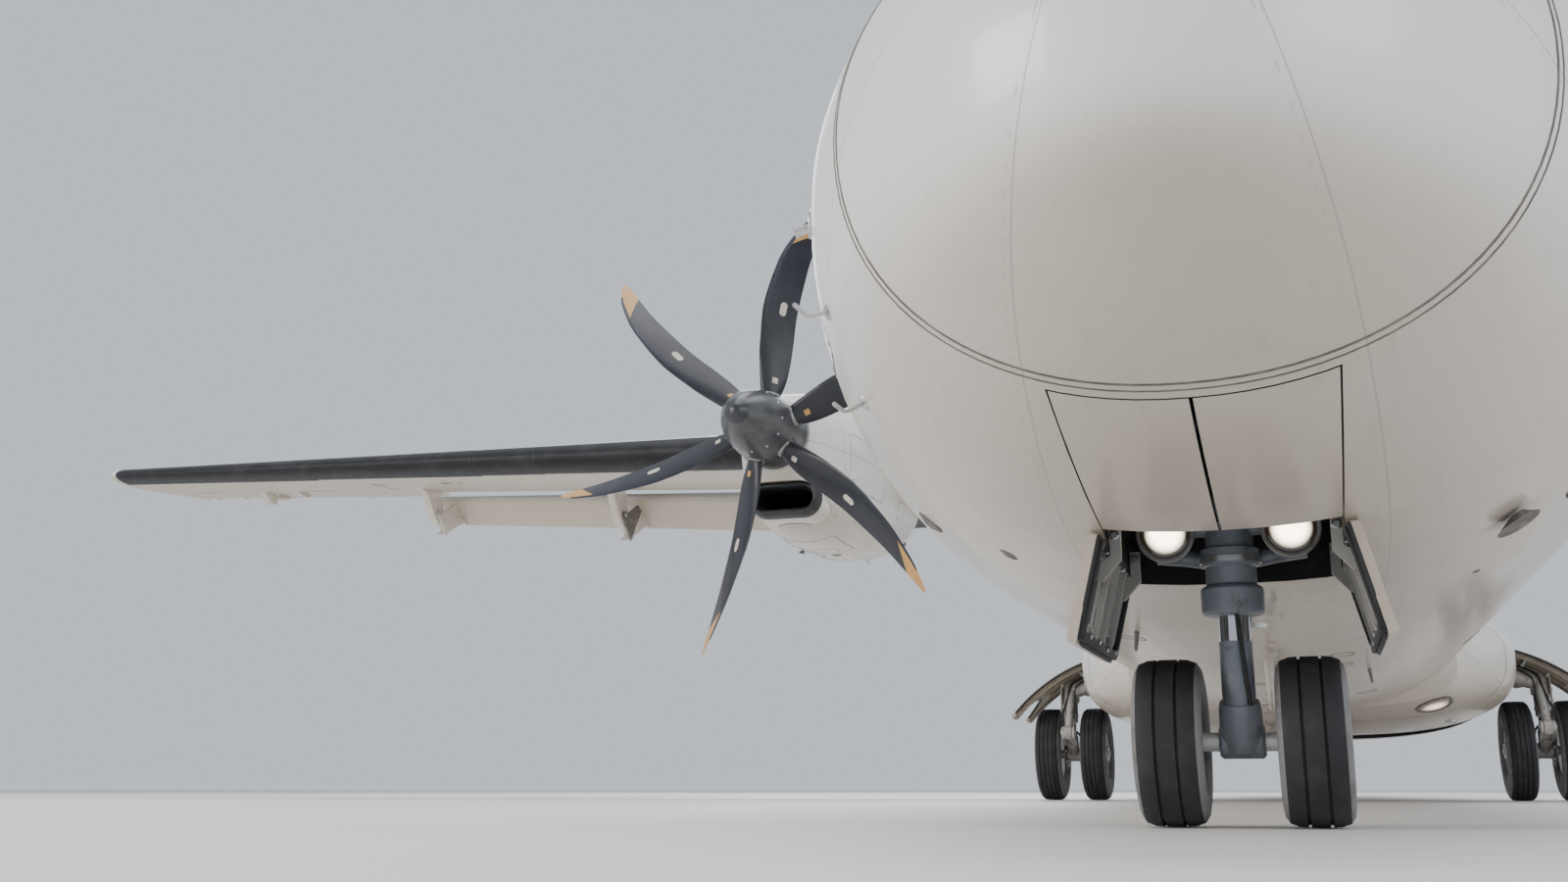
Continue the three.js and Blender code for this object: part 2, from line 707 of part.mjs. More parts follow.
const spinnerShell = turnedY(
  [
    ...spinnerProfile,
    [264, -275],
    [264, HUB_FRONT + SEAT_GAP],
    [0, HUB_FRONT + SEAT_GAP],
  ],
  20,
).rotate([0, 0, -90]);
const bladeHoles = Array.from({ length: 6 }, (_, k) =>
  solidOf(new THREE.CylinderGeometry(98, 98, 300, 8).rotateX(Math.PI / 2).translate(0, 0, 350)).rotate([
    BLADE_PHASE + 60 * k,
    0,
    0,
  ]),
);
const spinner = cut(spinnerShell, ...bladeHoles);

for (const side of [1, -1]) {
  const hand = side > 0 ? "left" : "right";
  const hub = new THREE.Group();
  hub.position.set(PROP_PLANE, side * ENGINE_Y, THRUST_LINE);
  aircraft.add(hub);
  add(`propeller_${hand}`, propeller, bladeBlack, hub);
  add(`spinner_${hand}`, spinner, paint(0x55585c, 0.35, 0.3), hub);
}

// Doors in the body. Each is cut by a prism that follows an arc round its hinge line

const DOOR_THICK = 85;
const cargoDoor = {
  x: 9688,
  half: 637,
  hinge: [1352, 2500],
  sign: -1,
  reach: 1500,
  lean: 0,
  arm: 90,
  depth: 2250,
};
const entryDoor = {
  x: -6645,
  half: 375,
  hinge: [1222, 1400],
  sign: 1,
  reach: 1700,
  lean: 6,
  arm: 190,
  depth: 1000,
};
const serviceDoor = { xLow: -6950, xHigh: -6340, low: 1450, high: 2670 };
const HINGE_PIN = 9;
const KNUCKLE = { radius: 15, half: 30, clear: 6, notch: 21 };

// A solid drawn round a door's hinge line, put in its place on the body.
const onDoor = (door, solid) => {
  const [y, z] = door.hinge;
  return solid.rotate([0, 0, door.lean]).translate([door.x, y, z]);
};

// The doorway and the space behind it: an arc round the hinge line as thick as the door, then flat.
function doorPrism(door, grow) {
  const far = door.reach + grow;
  const arc = [-10, -5, 0, 5, 10, 15, 20].map((angle) => [
    -far * Math.sin(radians(angle)),
    door.sign * far * Math.cos(radians(angle)),
  ]);
  const near = -door.sign * grow;
  const back = -door.depth;
  const outline = [[500, near], [500, arc[0][1]], ...arc, [back, arc.at(-1)[1]], [back, near]];
  return onDoor(door, barYZ(outline, -door.half - grow, door.half + grow));
}

const knucklePlaces = (door) => [-0.66 * door.half, 0.66 * door.half];
const alongHinge = (x) => V(x, 0, 0);
const flipped = (outline, sign) => outline.map(([y, z]) => [y, z * sign]);

// The eyes on the body that hold a door's pins.
function bodyKnuckles(door) {
  const plate = [[14, -5], [4, -14], [-door.arm, -68], [-door.arm, -14], [-42, -14], [-14, -5]];
  return knucklePlaces(door).map((x) =>
    onDoor(
      door,
      cut(
        join(
          rod(alongHinge(x - KNUCKLE.half), alongHinge(x + KNUCKLE.half), KNUCKLE.radius),
          barYZ(flipped(plate, door.sign), x - KNUCKLE.half, x + KNUCKLE.half),
        ),
        bore(alongHinge(x - 2 * KNUCKLE.half), alongHinge(x + 2 * KNUCKLE.half), HINGE_PIN),
      ),
    ),
  );
}

// The pins and the arms beside the eyes, which belong to the door.
function doorArms(door) {
  const plate = [[13, 4], [2, 14], [-0.5 * door.arm, 80], [-door.arm, 66], [-door.arm, 8], [-12, 4]];
  const inner = KNUCKLE.half + KNUCKLE.clear;
  const outer = inner + 22;
  return knucklePlaces(door).map((x) =>
    onDoor(
      door,
      join(
        rod(alongHinge(x - outer), alongHinge(x + outer), HINGE_PIN),
        ...[[-outer, -inner], [inner, outer]].flatMap(([low, high]) => [
          rod(alongHinge(x + low), alongHinge(x + high), 14),
          barYZ(flipped(plate, door.sign), x + low, x + high),
        ]),
      ),
    ),
  );
}

function doorPanel(door, body, inner) {
  const notches = knucklePlaces(door).map((x) => {
    const half = KNUCKLE.half + KNUCKLE.clear;
    return onDoor(door, rod(alongHinge(x - half), alongHinge(x + half), KNUCKLE.notch));
  });
  const panel = cut(body.intersect(doorPrism(door, 0)), inner, ...notches);
  return join(panel, ...doorArms(door));
}
const doorway = (door, body) =>
  join(cut(body, doorPrism(door, RUNNING_GAP)), ...bodyKnuckles(door));
const bodyInner = (front, rear) => bodyBetween(front, rear, DOOR_THICK);

// Body sections: name, front and rear
const NOSE_JOINT = 10700;
const FRONT_JOINT = 4400;
const REAR_JOINT = -2300;
const TAIL_JOINT = -8000;
const noseBody = bodyBetween(HALF_LENGTH, NOSE_JOINT + SEAT_GAP);
const frontBody = bodyBetween(NOSE_JOINT, FRONT_JOINT + SEAT_GAP);
const centreBody = bodyBetween(FRONT_JOINT, REAR_JOINT + SEAT_GAP);
const aftBody = bodyBetween(REAR_JOINT, TAIL_JOINT + SEAT_GAP);
const tailBody = bodyBetween(TAIL_JOINT, -12750);

// Nose gear bay and its doors
const NOSE_GEAR_X = 11670;
const noseBay = { front: 12900, split: 12080, rear: 11340, half: 290, roof: 1330 };
const bayBox = box(V(noseBay.rear, -noseBay.half, 300), V(noseBay.front, noseBay.half, noseBay.roof));
const baySkin = cut(noseBody, bodyBetween(HALF_LENGTH - 60, NOSE_JOINT, 26));
const frontDoor = baySkin.intersect(
  box(V(noseBay.split + 4, 4, 300), V(noseBay.front - 6, noseBay.half - SEAT_GAP, 1100)),
);

// Windscreen band round the front of the cockpit
const screenBand = (inset) =>
  barYZ(
    [
      [1400, 2290 + inset],
      [1400, 2830 - inset],
      [0, 2905 - inset],
      [-1400, 2830 - inset],
      [-1400, 2290 + inset],
      [0, 2370 + inset],
    ],
    11350 + inset,
    12900,
  );
const SCREEN_THICK = 24;
const noseInner = (thick) => bodyBetween(HALF_LENGTH - 60, NOSE_JOINT, thick);
const windscreen = cut(noseBody.intersect(screenBand(SEAT_GAP)), noseInner(SCREEN_THICK));
const screenPocket = cut(screenBand(0), noseInner(SCREEN_THICK + 1));
const noseShell = cut(noseBody, bayBox, screenPocket);

// Belly fairing with the two main wheel wells: columns are x, half width, bottom and top
const bellyStations = [
  [3800, 1180, 690, 1300],
  [3350, 1480, 640, 1500],
  [2700, 1690, 585, 1620],
  [1900, 1760, 560, 1680],
  [200, 1760, 560, 1680],
  [-700, 1660, 590, 1620],
  [-1500, 1480, 650, 1480],
  [-2150, 1150, 700, 1250],
];
const BELLY_POINTS = 20;
const bellyRing = ([x, halfWidth, bottom, top]) =>
  Array.from({ length: BELLY_POINTS }, (_, k) => {
    const angle = (2 * Math.PI * k) / BELLY_POINTS;
    const [c, s] = [Math.cos(angle), Math.sin(angle)];
    const line = mix(bottom, top, 0.56);
    const power = s < 0 ? 0.62 : 0.9;
    const rise = s < 0 ? line - bottom : top - line;
    return V(
      x,
      Math.sign(c) * Math.abs(c) ** power * halfWidth,
      line + Math.sign(s) * Math.abs(s) ** power * rise,
    );
  });
const MAIN_GEAR_X = 900;
const TRACK_HALF = 2050;
const well = { front: 1470, rear: 370, inner: 330, outer: 1900, roof: 1330 };
const wellBox = (side) =>
  box(
    V(well.rear, side > 0 ? well.inner : -well.outer, 300),
    V(well.front, side > 0 ? well.outer : -well.inner, well.roof),
  );
const wells = [1, -1].map(wellBox);
const bodyForSeat = bodyBetween(FRONT_JOINT + 500, REAR_JOINT - 500, -SEAT_GAP);
const jackPad = (x, y, low, high) => rod(V(x, y, low), V(x, y, high), 45, 60);
const bellyFairing = cut(
  join(
    loft(bellyStations.map(bellyRing)),
    ...[-1, 1].map((s) => jackPad(2450, s * 1200, 625, 760)),
  ),
  bodyForSeat,
  ...wells,
);

// Fairing over the wing on the body top: columns are x, half width, top and lower edge
const crownStations = [
  [3500, 330, 3440, 3330],
  [2900, 720, 3610, 3180],
  [2200, 960, 3775, 3020],
  [1200, 1030, 3830, 2960],
  [-200, 1000, 3790, 2980],
  [-1100, 760, 3640, 3130],
  [-2050, 320, 3450, 3320],
];
const crown = cut(
  loft(
    crownStations.map(([x, halfWidth, top, low]) =>
      [0, 22, 45, 68, 90, 112, 135, 158, 180].map((angle) =>
        V(
          x,
          Math.sign(Math.cos(radians(angle))) * Math.abs(Math.cos(radians(angle))) ** 0.8 * halfWidth,
          low + (top - low) * Math.sin(radians(angle)) ** 0.8,
        ),
      ),
    ),
  ),
  bodyForSeat,
  wingSeat,
);
const crownTop = crown.decompose().sort((a, b) => b.volume() - a.volume())[0];

const centreCut = cut(centreBody, wingSeat, ...wells);

// The body pieces
add("nose_fuselage", noseShell, white);
add("windscreen", windscreen, glass);
add("forward_fuselage", join(doorway(cargoDoor, frontBody), jackPad(10300, 0, 655, 690)), white);
add("centre_fuselage", centreCut, white);
const servicePrism = (grow) =>
  box(
    V(serviceDoor.xLow - grow, -2000, serviceDoor.low - grow),
    V(serviceDoor.xHigh + grow, -300, serviceDoor.high + grow),
  );
add(
  "aft_fuselage",
  cut(
    doorway(entryDoor, aftBody),
    cut(servicePrism(SEAT_GAP), bodyBetween(REAR_JOINT + 99, TAIL_JOINT - 99, DOOR_THICK + 1)),
  ),
  white,
);
add("tail_fuselage", tailBody, white);
add("belly_fairing", bellyFairing, white);
add("wing_fairing", crownTop, white);
add("cargo_door", doorPanel(cargoDoor, frontBody, bodyInner(NOSE_JOINT + 100, FRONT_JOINT - 100)), white);
add("passenger_door", doorPanel(entryDoor, aftBody, bodyInner(REAR_JOINT + 100, TAIL_JOINT - 100)), white);
add(
  "service_door",
  cut(aftBody.intersect(servicePrism(0)), bodyInner(REAR_JOINT + 100, TAIL_JOINT - 100)),
  white,
);

// Wings, flaps and ailerons
add("wing_centre", centreWing, panelGrey);
addPair("wing_outer", outerWing, panelGrey);
addFlap("flap_inner", INNER_FLAP, "centre");
addFlap("flap_outer", OUTER_FLAP, "outer");
addPair("aileron", aileron, panelGrey);

addPair("nacelle", nacelle, white);
addPair("air_intake", intake, bladeBlack);
addPair("engine", engine, steel);
addPair("exhaust_nozzle", nozzle, hotMetal);

// Tail

const TAILPLANE_Z = 7270;
const finBase = { z: 3395, lead: -8350, chord: 4000, thick: 0.11 };
const finTop = { z: 7150, lead: -10950, chord: 2330, thick: 0.11 };
const RUDDER_SHARE = 0.68;
const finAt = (z) => {
  const share = (z - finBase.z) / (finTop.z - finBase.z);
  return {
    z,
    lead: mix(finBase.lead, finTop.lead, share),
    chord: mix(finBase.chord, finTop.chord, share),
    thick: finBase.thick,
  };
};
const finPoint = (section, share, side) =>
  V(
    section.lead - share * section.chord,
    section.chord * surface(share, section.thick, side, 0),
    section.z,
  );
const finHalf = (section) => finPoint(section, RUDDER_SHARE, 1).y;
// An arc round the raked hinge line, longer fore and aft so that it is round across that line.
const FIN_RAKE = Math.atan2(
  finBase.lead - RUDDER_SHARE * finBase.chord - (finTop.lead - RUDDER_SHARE * finTop.chord),
  finTop.z - finBase.z,
);
function finArc(section, radius, angles) {
  const x = section.lead - RUDDER_SHARE * section.chord;
  return angles.map((angle) =>
    V(
      x + (radius / Math.cos(FIN_RAKE)) * Math.cos(radians(angle)),
      radius * Math.sin(radians(angle)),
      section.z,
    ),
  );
}
const finShares = [0.665, 0.5, 0.3, 0.15, 0.06, 0.015];
const finRing = (z) => {
  const section = finAt(z);
  return [
    ...finShares.map((share) => finPoint(section, share, 1)),
    finPoint(section, 0, 1),
    ...finShares.toReversed().map((share) => finPoint(section, share, -1)),
    ...finArc(section, finHalf(section) - 2 + RUNNING_GAP, COVE_ANGLES),
  ];
};
const rudderRing = (z) => {
  const section = finAt(z);
  return [
    ...finArc(section, finHalf(section) - 2, [-90, -55, -20, 20, 55, 90]),
    finPoint(section, 0.85, 1),
    finPoint(section, 1, 1).add(V(0, 4, 0)),
    finPoint(section, 1, -1).add(V(0, -4, 0)),
    finPoint(section, 0.85, -1),
  ];
};
// The dorsal fillet ahead of the fin: columns are x, height and half width.
const dorsalStations = [
  [-4900, 3408, 20],
  [-7000, 3520, 52],
  [-8400, 3760, 88],
  [-9000, 4150, 100],
];
const DORSAL_FOOT = 3240;
const dorsal = loft(
  dorsalStations.map(([x, top, half]) => [
    V(x, half, DORSAL_FOOT),
    V(x, half * 0.55, mix(3300, top, 0.6)),
    V(x, 8, top),
    V(x, -8, top),
    V(x, -half * 0.55, mix(3300, top, 0.6)),
    V(x, -half, DORSAL_FOOT),
  ]),
);
const bodySeatAft = bodyBetween(-4000, -12760, -SEAT_GAP);
const FIN_FOOT = 3230;
const FIN_HEAD = 7200;
const RUDDER_FOOT = 3470;
const RUDDER_HEAD = 6940;
const RUDDER_END_GAP = 38; // its raked hinge lifts and lowers its ends as it swings
const rudder = loft([rudderRing(RUDDER_FOOT), rudderRing(RUDDER_HEAD)]);
const rudderHinge = (z) => {
  const section = finAt(z);
  return V(section.lead - RUDDER_SHARE * section.chord, 0, z);
};
const RUDDER_PIN = 14;
const rudderPins = (shape, play) => [
  shape(rudderHinge(RUDDER_FOOT - 80 - play), rudderHinge(RUDDER_FOOT + 30), RUDDER_PIN),
  shape(rudderHinge(RUDDER_HEAD - 30), rudderHinge(RUDDER_HEAD + 90 + play), RUDDER_PIN),
];
// The whole section above the rudder, and the heel under it that holds its lower pin.
const finCapRing = (z) => {
  const section = finAt(z);
  return [
    finPoint(section, 1, 1).add(V(0, 5, 0)),
    finPoint(section, 0.85, 1),
    ...finShares.map((share) => finPoint(section, share, 1)),
    finPoint(section, 0, 1),
    ...finShares.toReversed().map((share) => finPoint(section, share, -1)),
    finPoint(section, 0.85, -1),
    finPoint(section, 1, -1).add(V(0, -5, 0)),
  ];
};
const heelTop = RUDDER_FOOT - RUDDER_END_GAP;
const heelX = rudderHinge(heelTop).x;
const heel = box(V(heelX - 160, -34, 3250), V(heelX + 240, 34, heelTop));

const tailRoot = { y: 0, lead: -10930, chord: 2290, height: TAILPLANE_Z, thick: 0.12, camber: -0.005 };
const tailTip = { y: 3655, lead: -11600, chord: 1290, height: TAILPLANE_Z, thick: 0.11, camber: -0.005 };
const tailAt = (y) => {
  const section = { y };
  for (const key of ["lead", "chord", "height", "thick", "camber"]) {
    section[key] = mix(tailRoot[key], tailTip[key], Math.abs(y) / tailTip.y);
  }
  return section;
};
const ELEVATOR_SHARE = 0.64;
const ELEVATOR = [150, 3590];
const elevatorHalf = (section) =>
  (skinPoint(section, ELEVATOR_SHARE, 1).z - skinPoint(section, ELEVATOR_SHARE, -1).z) / 2 - 2;
function elevatorArc(section, radius, angles) {
  const hinge = skinPoint(section, ELEVATOR_SHARE, 1).lerp(skinPoint(section, ELEVATOR_SHARE, -1), 0.5);
  return angles.map((angle) => {
    const [x, z] = rimPoint([hinge.x, hinge.z], radius, angle);
    return V(x, section.y, z);
  });
}
const tailShares = [0.622, 0.45, 0.28, 0.14, 0.055, 0.015];
const tailplaneRing = (y) => {
  const section = tailAt(y);
  return [
    ...tailShares.map((share) => skinPoint(section, share, 1)),
    skinPoint(section, 0, 1),
    ...tailShares.toReversed().map((share) => skinPoint(section, share, -1)),
    ...elevatorArc(section, elevatorHalf(section) + RUNNING_GAP, COVE_ANGLES),
  ];
};
const elevatorRing = (y) => {
  const section = tailAt(y);
  return [
    ...elevatorArc(section, elevatorHalf(section), [-90, -55, -20, 20, 55, 90]),
    skinPoint(section, 0.84, 1),
    skinPoint(section, 1, 1, -4),
    skinPoint(section, 1, -1, 4),
    skinPoint(section, 0.84, -1),
  ];
};
const tipShape = (y, scale) => {
  const section = tailAt(3640);
  const middle = V(section.lead - 0.45 * section.chord, y, section.height);
  return [
    ...tailShares.map((share) => skinPoint(section, share, 1)),
    skinPoint(section, 0, 1),
    ...tailShares.toReversed().map((share) => skinPoint(section, share, -1)),
    skinPoint(section, 0.8, -1),
    skinPoint(section, 1, -1, 3),
    skinPoint(section, 1, 1, -3),
    skinPoint(section, 0.8, 1),
  ].map((p) => V(p.x, y, p.z).lerp(middle, 1 - scale));
};
const tailTipCap = loft([tipShape(3600, 1), tipShape(3640, 0.96), tipShape(3655, 0.7)]);
// The bullet where the tailplane crosses the fin: columns are x, half width, top and bottom.
const bulletStations = [
  [-10560, 30, 7330, 7270],
  [-10760, 120, 7440, 7160],
  [-11200, 165, 7530, 7118],
  [-12100, 150, 7560, 7118],
  [-12950, 95, 7480, 7160],
  [-13583, 18, 7330, 7290],
];
const bullet = loft(
  bulletStations.map(([x, half, top, bottom]) =>
    Array.from({ length: 16 }, (_, k) => {
      const a = (2 * Math.PI * k) / 16;
      return V(x, half * Math.cos(a), mix(bottom, top, 0.5) + ((top - bottom) / 2) * Math.sin(a));
    }),
  ),
);
const beacon = rod(V(-11700, 0, 7520), V(-11700, 0, 7650), 55, 34, 12);
const tailplane = join(
  loft([-3605, 0, 3605].map((y) => tailplaneRing(y))),
  tailTipCap,
  mirrorY(tailTipCap),
  bullet,
  beacon,
);
const ELEVATOR_PIN = 10;
const elevatorHinge = (y) => elevatorArc(tailAt(y), 0, [0])[0];
const alongElevator = (y) => elevatorHinge(ELEVATOR[0]).lerp(
  elevatorHinge(ELEVATOR[1]),
  (y - ELEVATOR[0]) / (ELEVATOR[1] - ELEVATOR[0]),
);
const elevatorPins = (shape, play) => [
  shape(alongElevator(ELEVATOR[0] - 66 - play), alongElevator(ELEVATOR[0] + 20), ELEVATOR_PIN),
  shape(alongElevator(ELEVATOR[1] - 20), alongElevator(ELEVATOR[1] + 40 + play), ELEVATOR_PIN),
];
const elevator = join(loft(ELEVATOR.map(elevatorRing)), ...elevatorPins(rod, 0));
const tailBores = elevatorPins(bore, 3);
const tailplaneWhole = cut(tailplane, ...tailBores, ...tailBores.map(mirrorY), ...rudderPins(bore, 3));
const finWhole = cut(
  join(
    loft([finRing(FIN_FOOT), finRing(RUDDER_HEAD + RUDDER_END_GAP + 2)]),
    loft([finCapRing(RUDDER_HEAD + RUDDER_END_GAP), finCapRing(FIN_HEAD)]),
    dorsal,
    heel,
  ),
  bodySeatAft,
  tailplane,
  ...[-1, 1].map((s) => tailplane.translate([0, s * SEAT_GAP, -SEAT_GAP])),
  ...rudderPins(bore, 3),
);
add("fin", finWhole.decompose().sort((a, b) => b.volume() - a.volume())[0], white);
add("rudder", join(rudder, ...rudderPins(rod, 0)), white);
add("tailplane", tailplaneWhole, white);
addPair("elevator", elevator, white);

// Nose gear

const NOSE_TYRE = { radius: 225, half: 92, rim: 118 };
const MAIN_TYRE = { radius: 430, half: 122, rim: 212 };
const WHEEL_SIDES = 24;
const NOSE_SPREAD = 185; // wheel centre to leg
const MAIN_SPREAD = 212;

// Wheels are many-sided here; each has a side of its outline flat on the ground.
const flatDown = (solid) => solid.rotate([0, 180 / WHEEL_SIDES, 0]);
const cornerRadius = (radius) => radius / Math.cos(Math.PI / WHEEL_SIDES);

// A tyre's solid: round shoulders and an open centre.
function tyre({ radius: height, half, rim }) {
  const radius = cornerRadius(height);
  const profile = [
    [rim, -half * 0.74],
    [mix(rim, radius, 0.5), -half],
    [radius - 0.16 * half, -half * 0.74],
    [radius, -half * 0.36],
    [radius, half * 0.36],
    [radius - 0.16 * half, half * 0.74],
    [mix(rim, radius, 0.5), half],
    [rim, half * 0.74],
    [rim, -half * 0.74],
  ];
  return flatDown(turnedY(profile, WHEEL_SIDES));
}

// Two wheel discs on one tube, which turns on the gear's axle.
function wheelPair({ half, rim }, spread, axleRadius) {
  const disc = (side) =>
    turnedY(
      [
        [0, -half * 0.4],
        [rim * 0.9, -half * 0.4],
        [rim - SEAT_GAP, -half * 0.7],
        [rim - SEAT_GAP, half * 0.7],
        [rim * 0.8, half * 0.3],
        [rim * 0.34, half * 0.5],
        [rim * 0.3, half * 0.9],
        [0, half * 0.9],
      ],
      WHEEL_SIDES,
    )
      .scale([1, side, 1])
      .translate([0, side * spread, 0]);
  const tube = rod(V(0, -spread, 0), V(0, spread, 0), axleRadius);
  return join(flatDown(join(disc(1), disc(-1))), tube);
}

const noseAxle = V(NOSE_GEAR_X - 45, 0, NOSE_TYRE.radius);
const noseCollar = 640; // height where the turning part meets the fixed leg
const bayReach = noseBay.half - SEAT_GAP;
const LAMP_SIDE = 165; // taxi lamp to the middle of the leg
function noseLamp(side) {
  const back = V(NOSE_GEAR_X - 20, side * LAMP_SIDE, 790);
  const front = V(NOSE_GEAR_X + 75, side * LAMP_SIDE, 784);
  return rod(back, front, 40, 78, 20);
}
const dragFoot = { x: NOSE_GEAR_X + 620, z: 1240 }; // where the drag struts meet their cross tube
const noseLeg = join(
  rod(V(NOSE_GEAR_X, 0, noseCollar + SEAT_GAP), V(NOSE_GEAR_X, 0, 1180), 68),
  rod(V(NOSE_GEAR_X, -bayReach, 1120), V(NOSE_GEAR_X, bayReach, 1120), 46),
  rod(V(NOSE_GEAR_X, -60, 900), V(dragFoot.x, -120, dragFoot.z), 24),
  rod(V(NOSE_GEAR_X, 60, 900), V(dragFoot.x, 120, dragFoot.z), 24),
  rod(V(dragFoot.x, -bayReach, dragFoot.z), V(dragFoot.x, bayReach, dragFoot.z), 30),
  rod(V(NOSE_GEAR_X, 0, 800), V(NOSE_GEAR_X, 0, 870), 92),
  rod(V(NOSE_GEAR_X + 10, -150, 800), V(NOSE_GEAR_X + 10, 150, 800), 26),
  ...[-1, 1].map(noseLamp),
);
const noseForkLocal = join(
  rod(V(0, 0, noseCollar - 80), V(0, 0, noseCollar), 84),
  rod(V(0, 0, 300), V(0, 0, noseCollar), 44),
  rod(V(0, 0, 320), V(-45, 0, NOSE_TYRE.radius), 52),
  moved(
    new THREE.CylinderGeometry(46, 46, 120, 20),
    new THREE.Matrix4().setPosition(-45, 0, NOSE_TYRE.radius),
  ),
  plateXZ([[-40, 590], [-150, 520], [-150, 495], [-40, 540]], -42, 42),
  plateXZ([[-128, 520], [-150, 520], [-62, 300], [-40, 320]], -30, 30),
);
const NOSE_AXLE = 26;
const noseForkBore = bore(V(-45, -70, NOSE_TYRE.radius), V(-45, 70, NOSE_TYRE.radius), NOSE_AXLE);
add("nose_gear_leg", noseLeg, alloy);
const noseFork = add("nose_gear_fork", cut(noseForkLocal, noseForkBore), steel);
noseFork.position.x = NOSE_GEAR_X;
const noseWheels = add("nose_wheels", wheelPair(NOSE_TYRE, NOSE_SPREAD, NOSE_AXLE), alloy);
noseWheels.position.copy(noseAxle);
for (const side of [1, -1]) {
  const mesh = add(`nose_tyre_${side > 0 ? "left" : "right"}`, tyre(NOSE_TYRE), tyreBlack);
  mesh.position.set(noseAxle.x, side * NOSE_SPREAD, noseAxle.z);
}
addPair("nose_gear_door_front", frontDoor, white);
// The rear doors hang open beside the leg.
const rearDoor = barYZ(
  [
    [304, 742],
    [330, 742],
    [398, 470],
    [374, 462],
  ],
  noseBay.rear + 10,
  noseBay.split - 10,
);
const rearDoorArms = [noseBay.rear + 120, noseBay.split - 160].map((x) =>
  barYZ(
    [
      [345, 636],
      [345, 664],
      [noseBay.half - SEAT_GAP, 700],
      [noseBay.half - SEAT_GAP, 775],
      [262, 775],
      [262, 690],
      [310, 636],
    ],
    x,
    x + 40,
  ),
);
const noseSeat = cut(bodyBetween(12500, 11000, -SEAT_GAP), bayBox);
addPair("nose_gear_door_rear", cut(join(rearDoor, ...rearDoorArms), noseSeat), white);

// Main gear: a splayed leg, a trailing arm and a shock strut between them

const trunnion = V(1060, 1440, 1215);
const legHead = V(1060, 2040, 1015);
const knee = V(1262, TRACK_HALF, 620);
const mainAxle = V(MAIN_GEAR_X, TRACK_HALF, MAIN_TYRE.radius);
const MAIN_AXLE = 42;
const KNEE_HALF = 36; // half the width of the leg's eye
const CHEEK = 26; // thickness of each of the arm's two cheeks round it
const CHEEK_SIDE = KNEE_HALF + SEAT_GAP;
const strutTop = V(905, TRACK_HALF, 960);
const strutFoot = V(985, TRACK_HALF, 520);
const strutMiddle = strutTop.clone().lerp(strutFoot, 0.55);
const acrossKnee = (at, low, high, radius) =>
  rod(V(at.x, at.y + low, at.z), V(at.x, at.y + high, at.z), radius, radius, 16);
const mainLegShape = (extra) =>
  join(
    rod(trunnion.clone().setX(well.rear + SEAT_GAP), trunnion.clone().setX(well.front - SEAT_GAP), 70),
    rod(trunnion, legHead, 88 + extra, 72 + extra),
    rod(V(1060, TRACK_HALF, 1040), knee, 62 + extra, 34 + extra),
    acrossKnee(knee, -KNEE_HALF - extra, KNEE_HALF + extra, 66 + extra),
    rod(trunnion.clone().lerp(legHead, 0.3), V(1150, 380, 925), 42),
    box(V(1100, well.inner + SEAT_GAP, 880), V(1200, 410, 970)),
    rod(V(1060, TRACK_HALF, 1010), strutTop, 46 + extra),
    rod(strutTop, strutMiddle, 46 + extra),
    rod(V(800, 1440, 1215), V(850, 1900, 1010), 52, 40),
    rod(V(850, 1890, 1014), V(1060, 2000, 1028), 38),
  );
const mainLeg = mainLegShape(0);
const cheeks = [-1, 1].map((s) =>
  join(
    acrossKnee(knee, s * CHEEK_SIDE, s * (CHEEK_SIDE + CHEEK), 58),
    plateXZ(
      [
        [knee.x, knee.z + 44],
        [knee.x - 190, knee.z - 40],
        [knee.x - 190, knee.z - 120],
        [knee.x, knee.z - 50],
      ],
      TRACK_HALF + s * CHEEK_SIDE,
      TRACK_HALF + s * (CHEEK_SIDE + CHEEK),
    ),
  ),
);
const armRoot = V(knee.x - 150, TRACK_HALF, knee.z - 72);
const mainArm = cut(
  join(
    ...cheeks,
    box(armRoot.clone().add(V(-40, -60, -42)), armRoot.clone().add(V(20, 60, 30))),
    rod(armRoot, mainAxle, 52),
    rod(mainAxle.clone().add(V(0, -72, 0)), mainAxle.clone().add(V(0, 72, 0)), 70),
    rod(strutMiddle.clone().lerp(strutFoot, 0.02), strutFoot, 30),
  ),
  bore(mainAxle.clone().add(V(0, -90, 0)), mainAxle.clone().add(V(0, 90, 0)), MAIN_AXLE),
  mainLegShape(SEAT_GAP),
);
addPair("main_gear_leg", mainLeg, alloy);
addPair("main_gear_arm", mainArm, steel);
for (const [side, group] of Object.entries(sides)) {
  const wheels = add(`main_wheels_${side}`, wheelPair(MAIN_TYRE, MAIN_SPREAD, MAIN_AXLE), alloy, group);
  wheels.position.copy(mainAxle);
  for (const [where, offset] of [["inner", -MAIN_SPREAD], ["outer", MAIN_SPREAD]]) {
    const mesh = add(`main_tyre_${where}_${side}`, tyre(MAIN_TYRE), tyreBlack, group);
    mesh.position.copy(mainAxle).add(V(0, offset, 0));
  }
}
// The leg's door: a curved panel that stands out over the wheels, cut round at its lower edge.
const doorArc = [
  [1700, 1328],
  [1890, 1266],
  [2080, 1180],
  [2250, 1072],
  [2420, 935],
  [2570, 775],
];
const doorShell = [...doorArc, ...doorArc.toReversed().map(([y, z]) => [y - 14, z - 26])];
const doorLength = [440, 1372];
const mainDoor = join(
  cut(barYZ(doorShell, ...doorLength), rod(V(900, 2150, 640), V(900, 2900, 640), 330, 330, 28)),
  box(V(doorLength[0], 1666, 1296), V(doorLength[1], 1704, well.roof - SEAT_GAP)),
  rod(V(1060, 1850, 1060), V(1060, 1960, 1225), 20),
);
addPair("main_gear_door", cut(mainDoor, mainLegShape(0.6)), white);

export default aircraft;
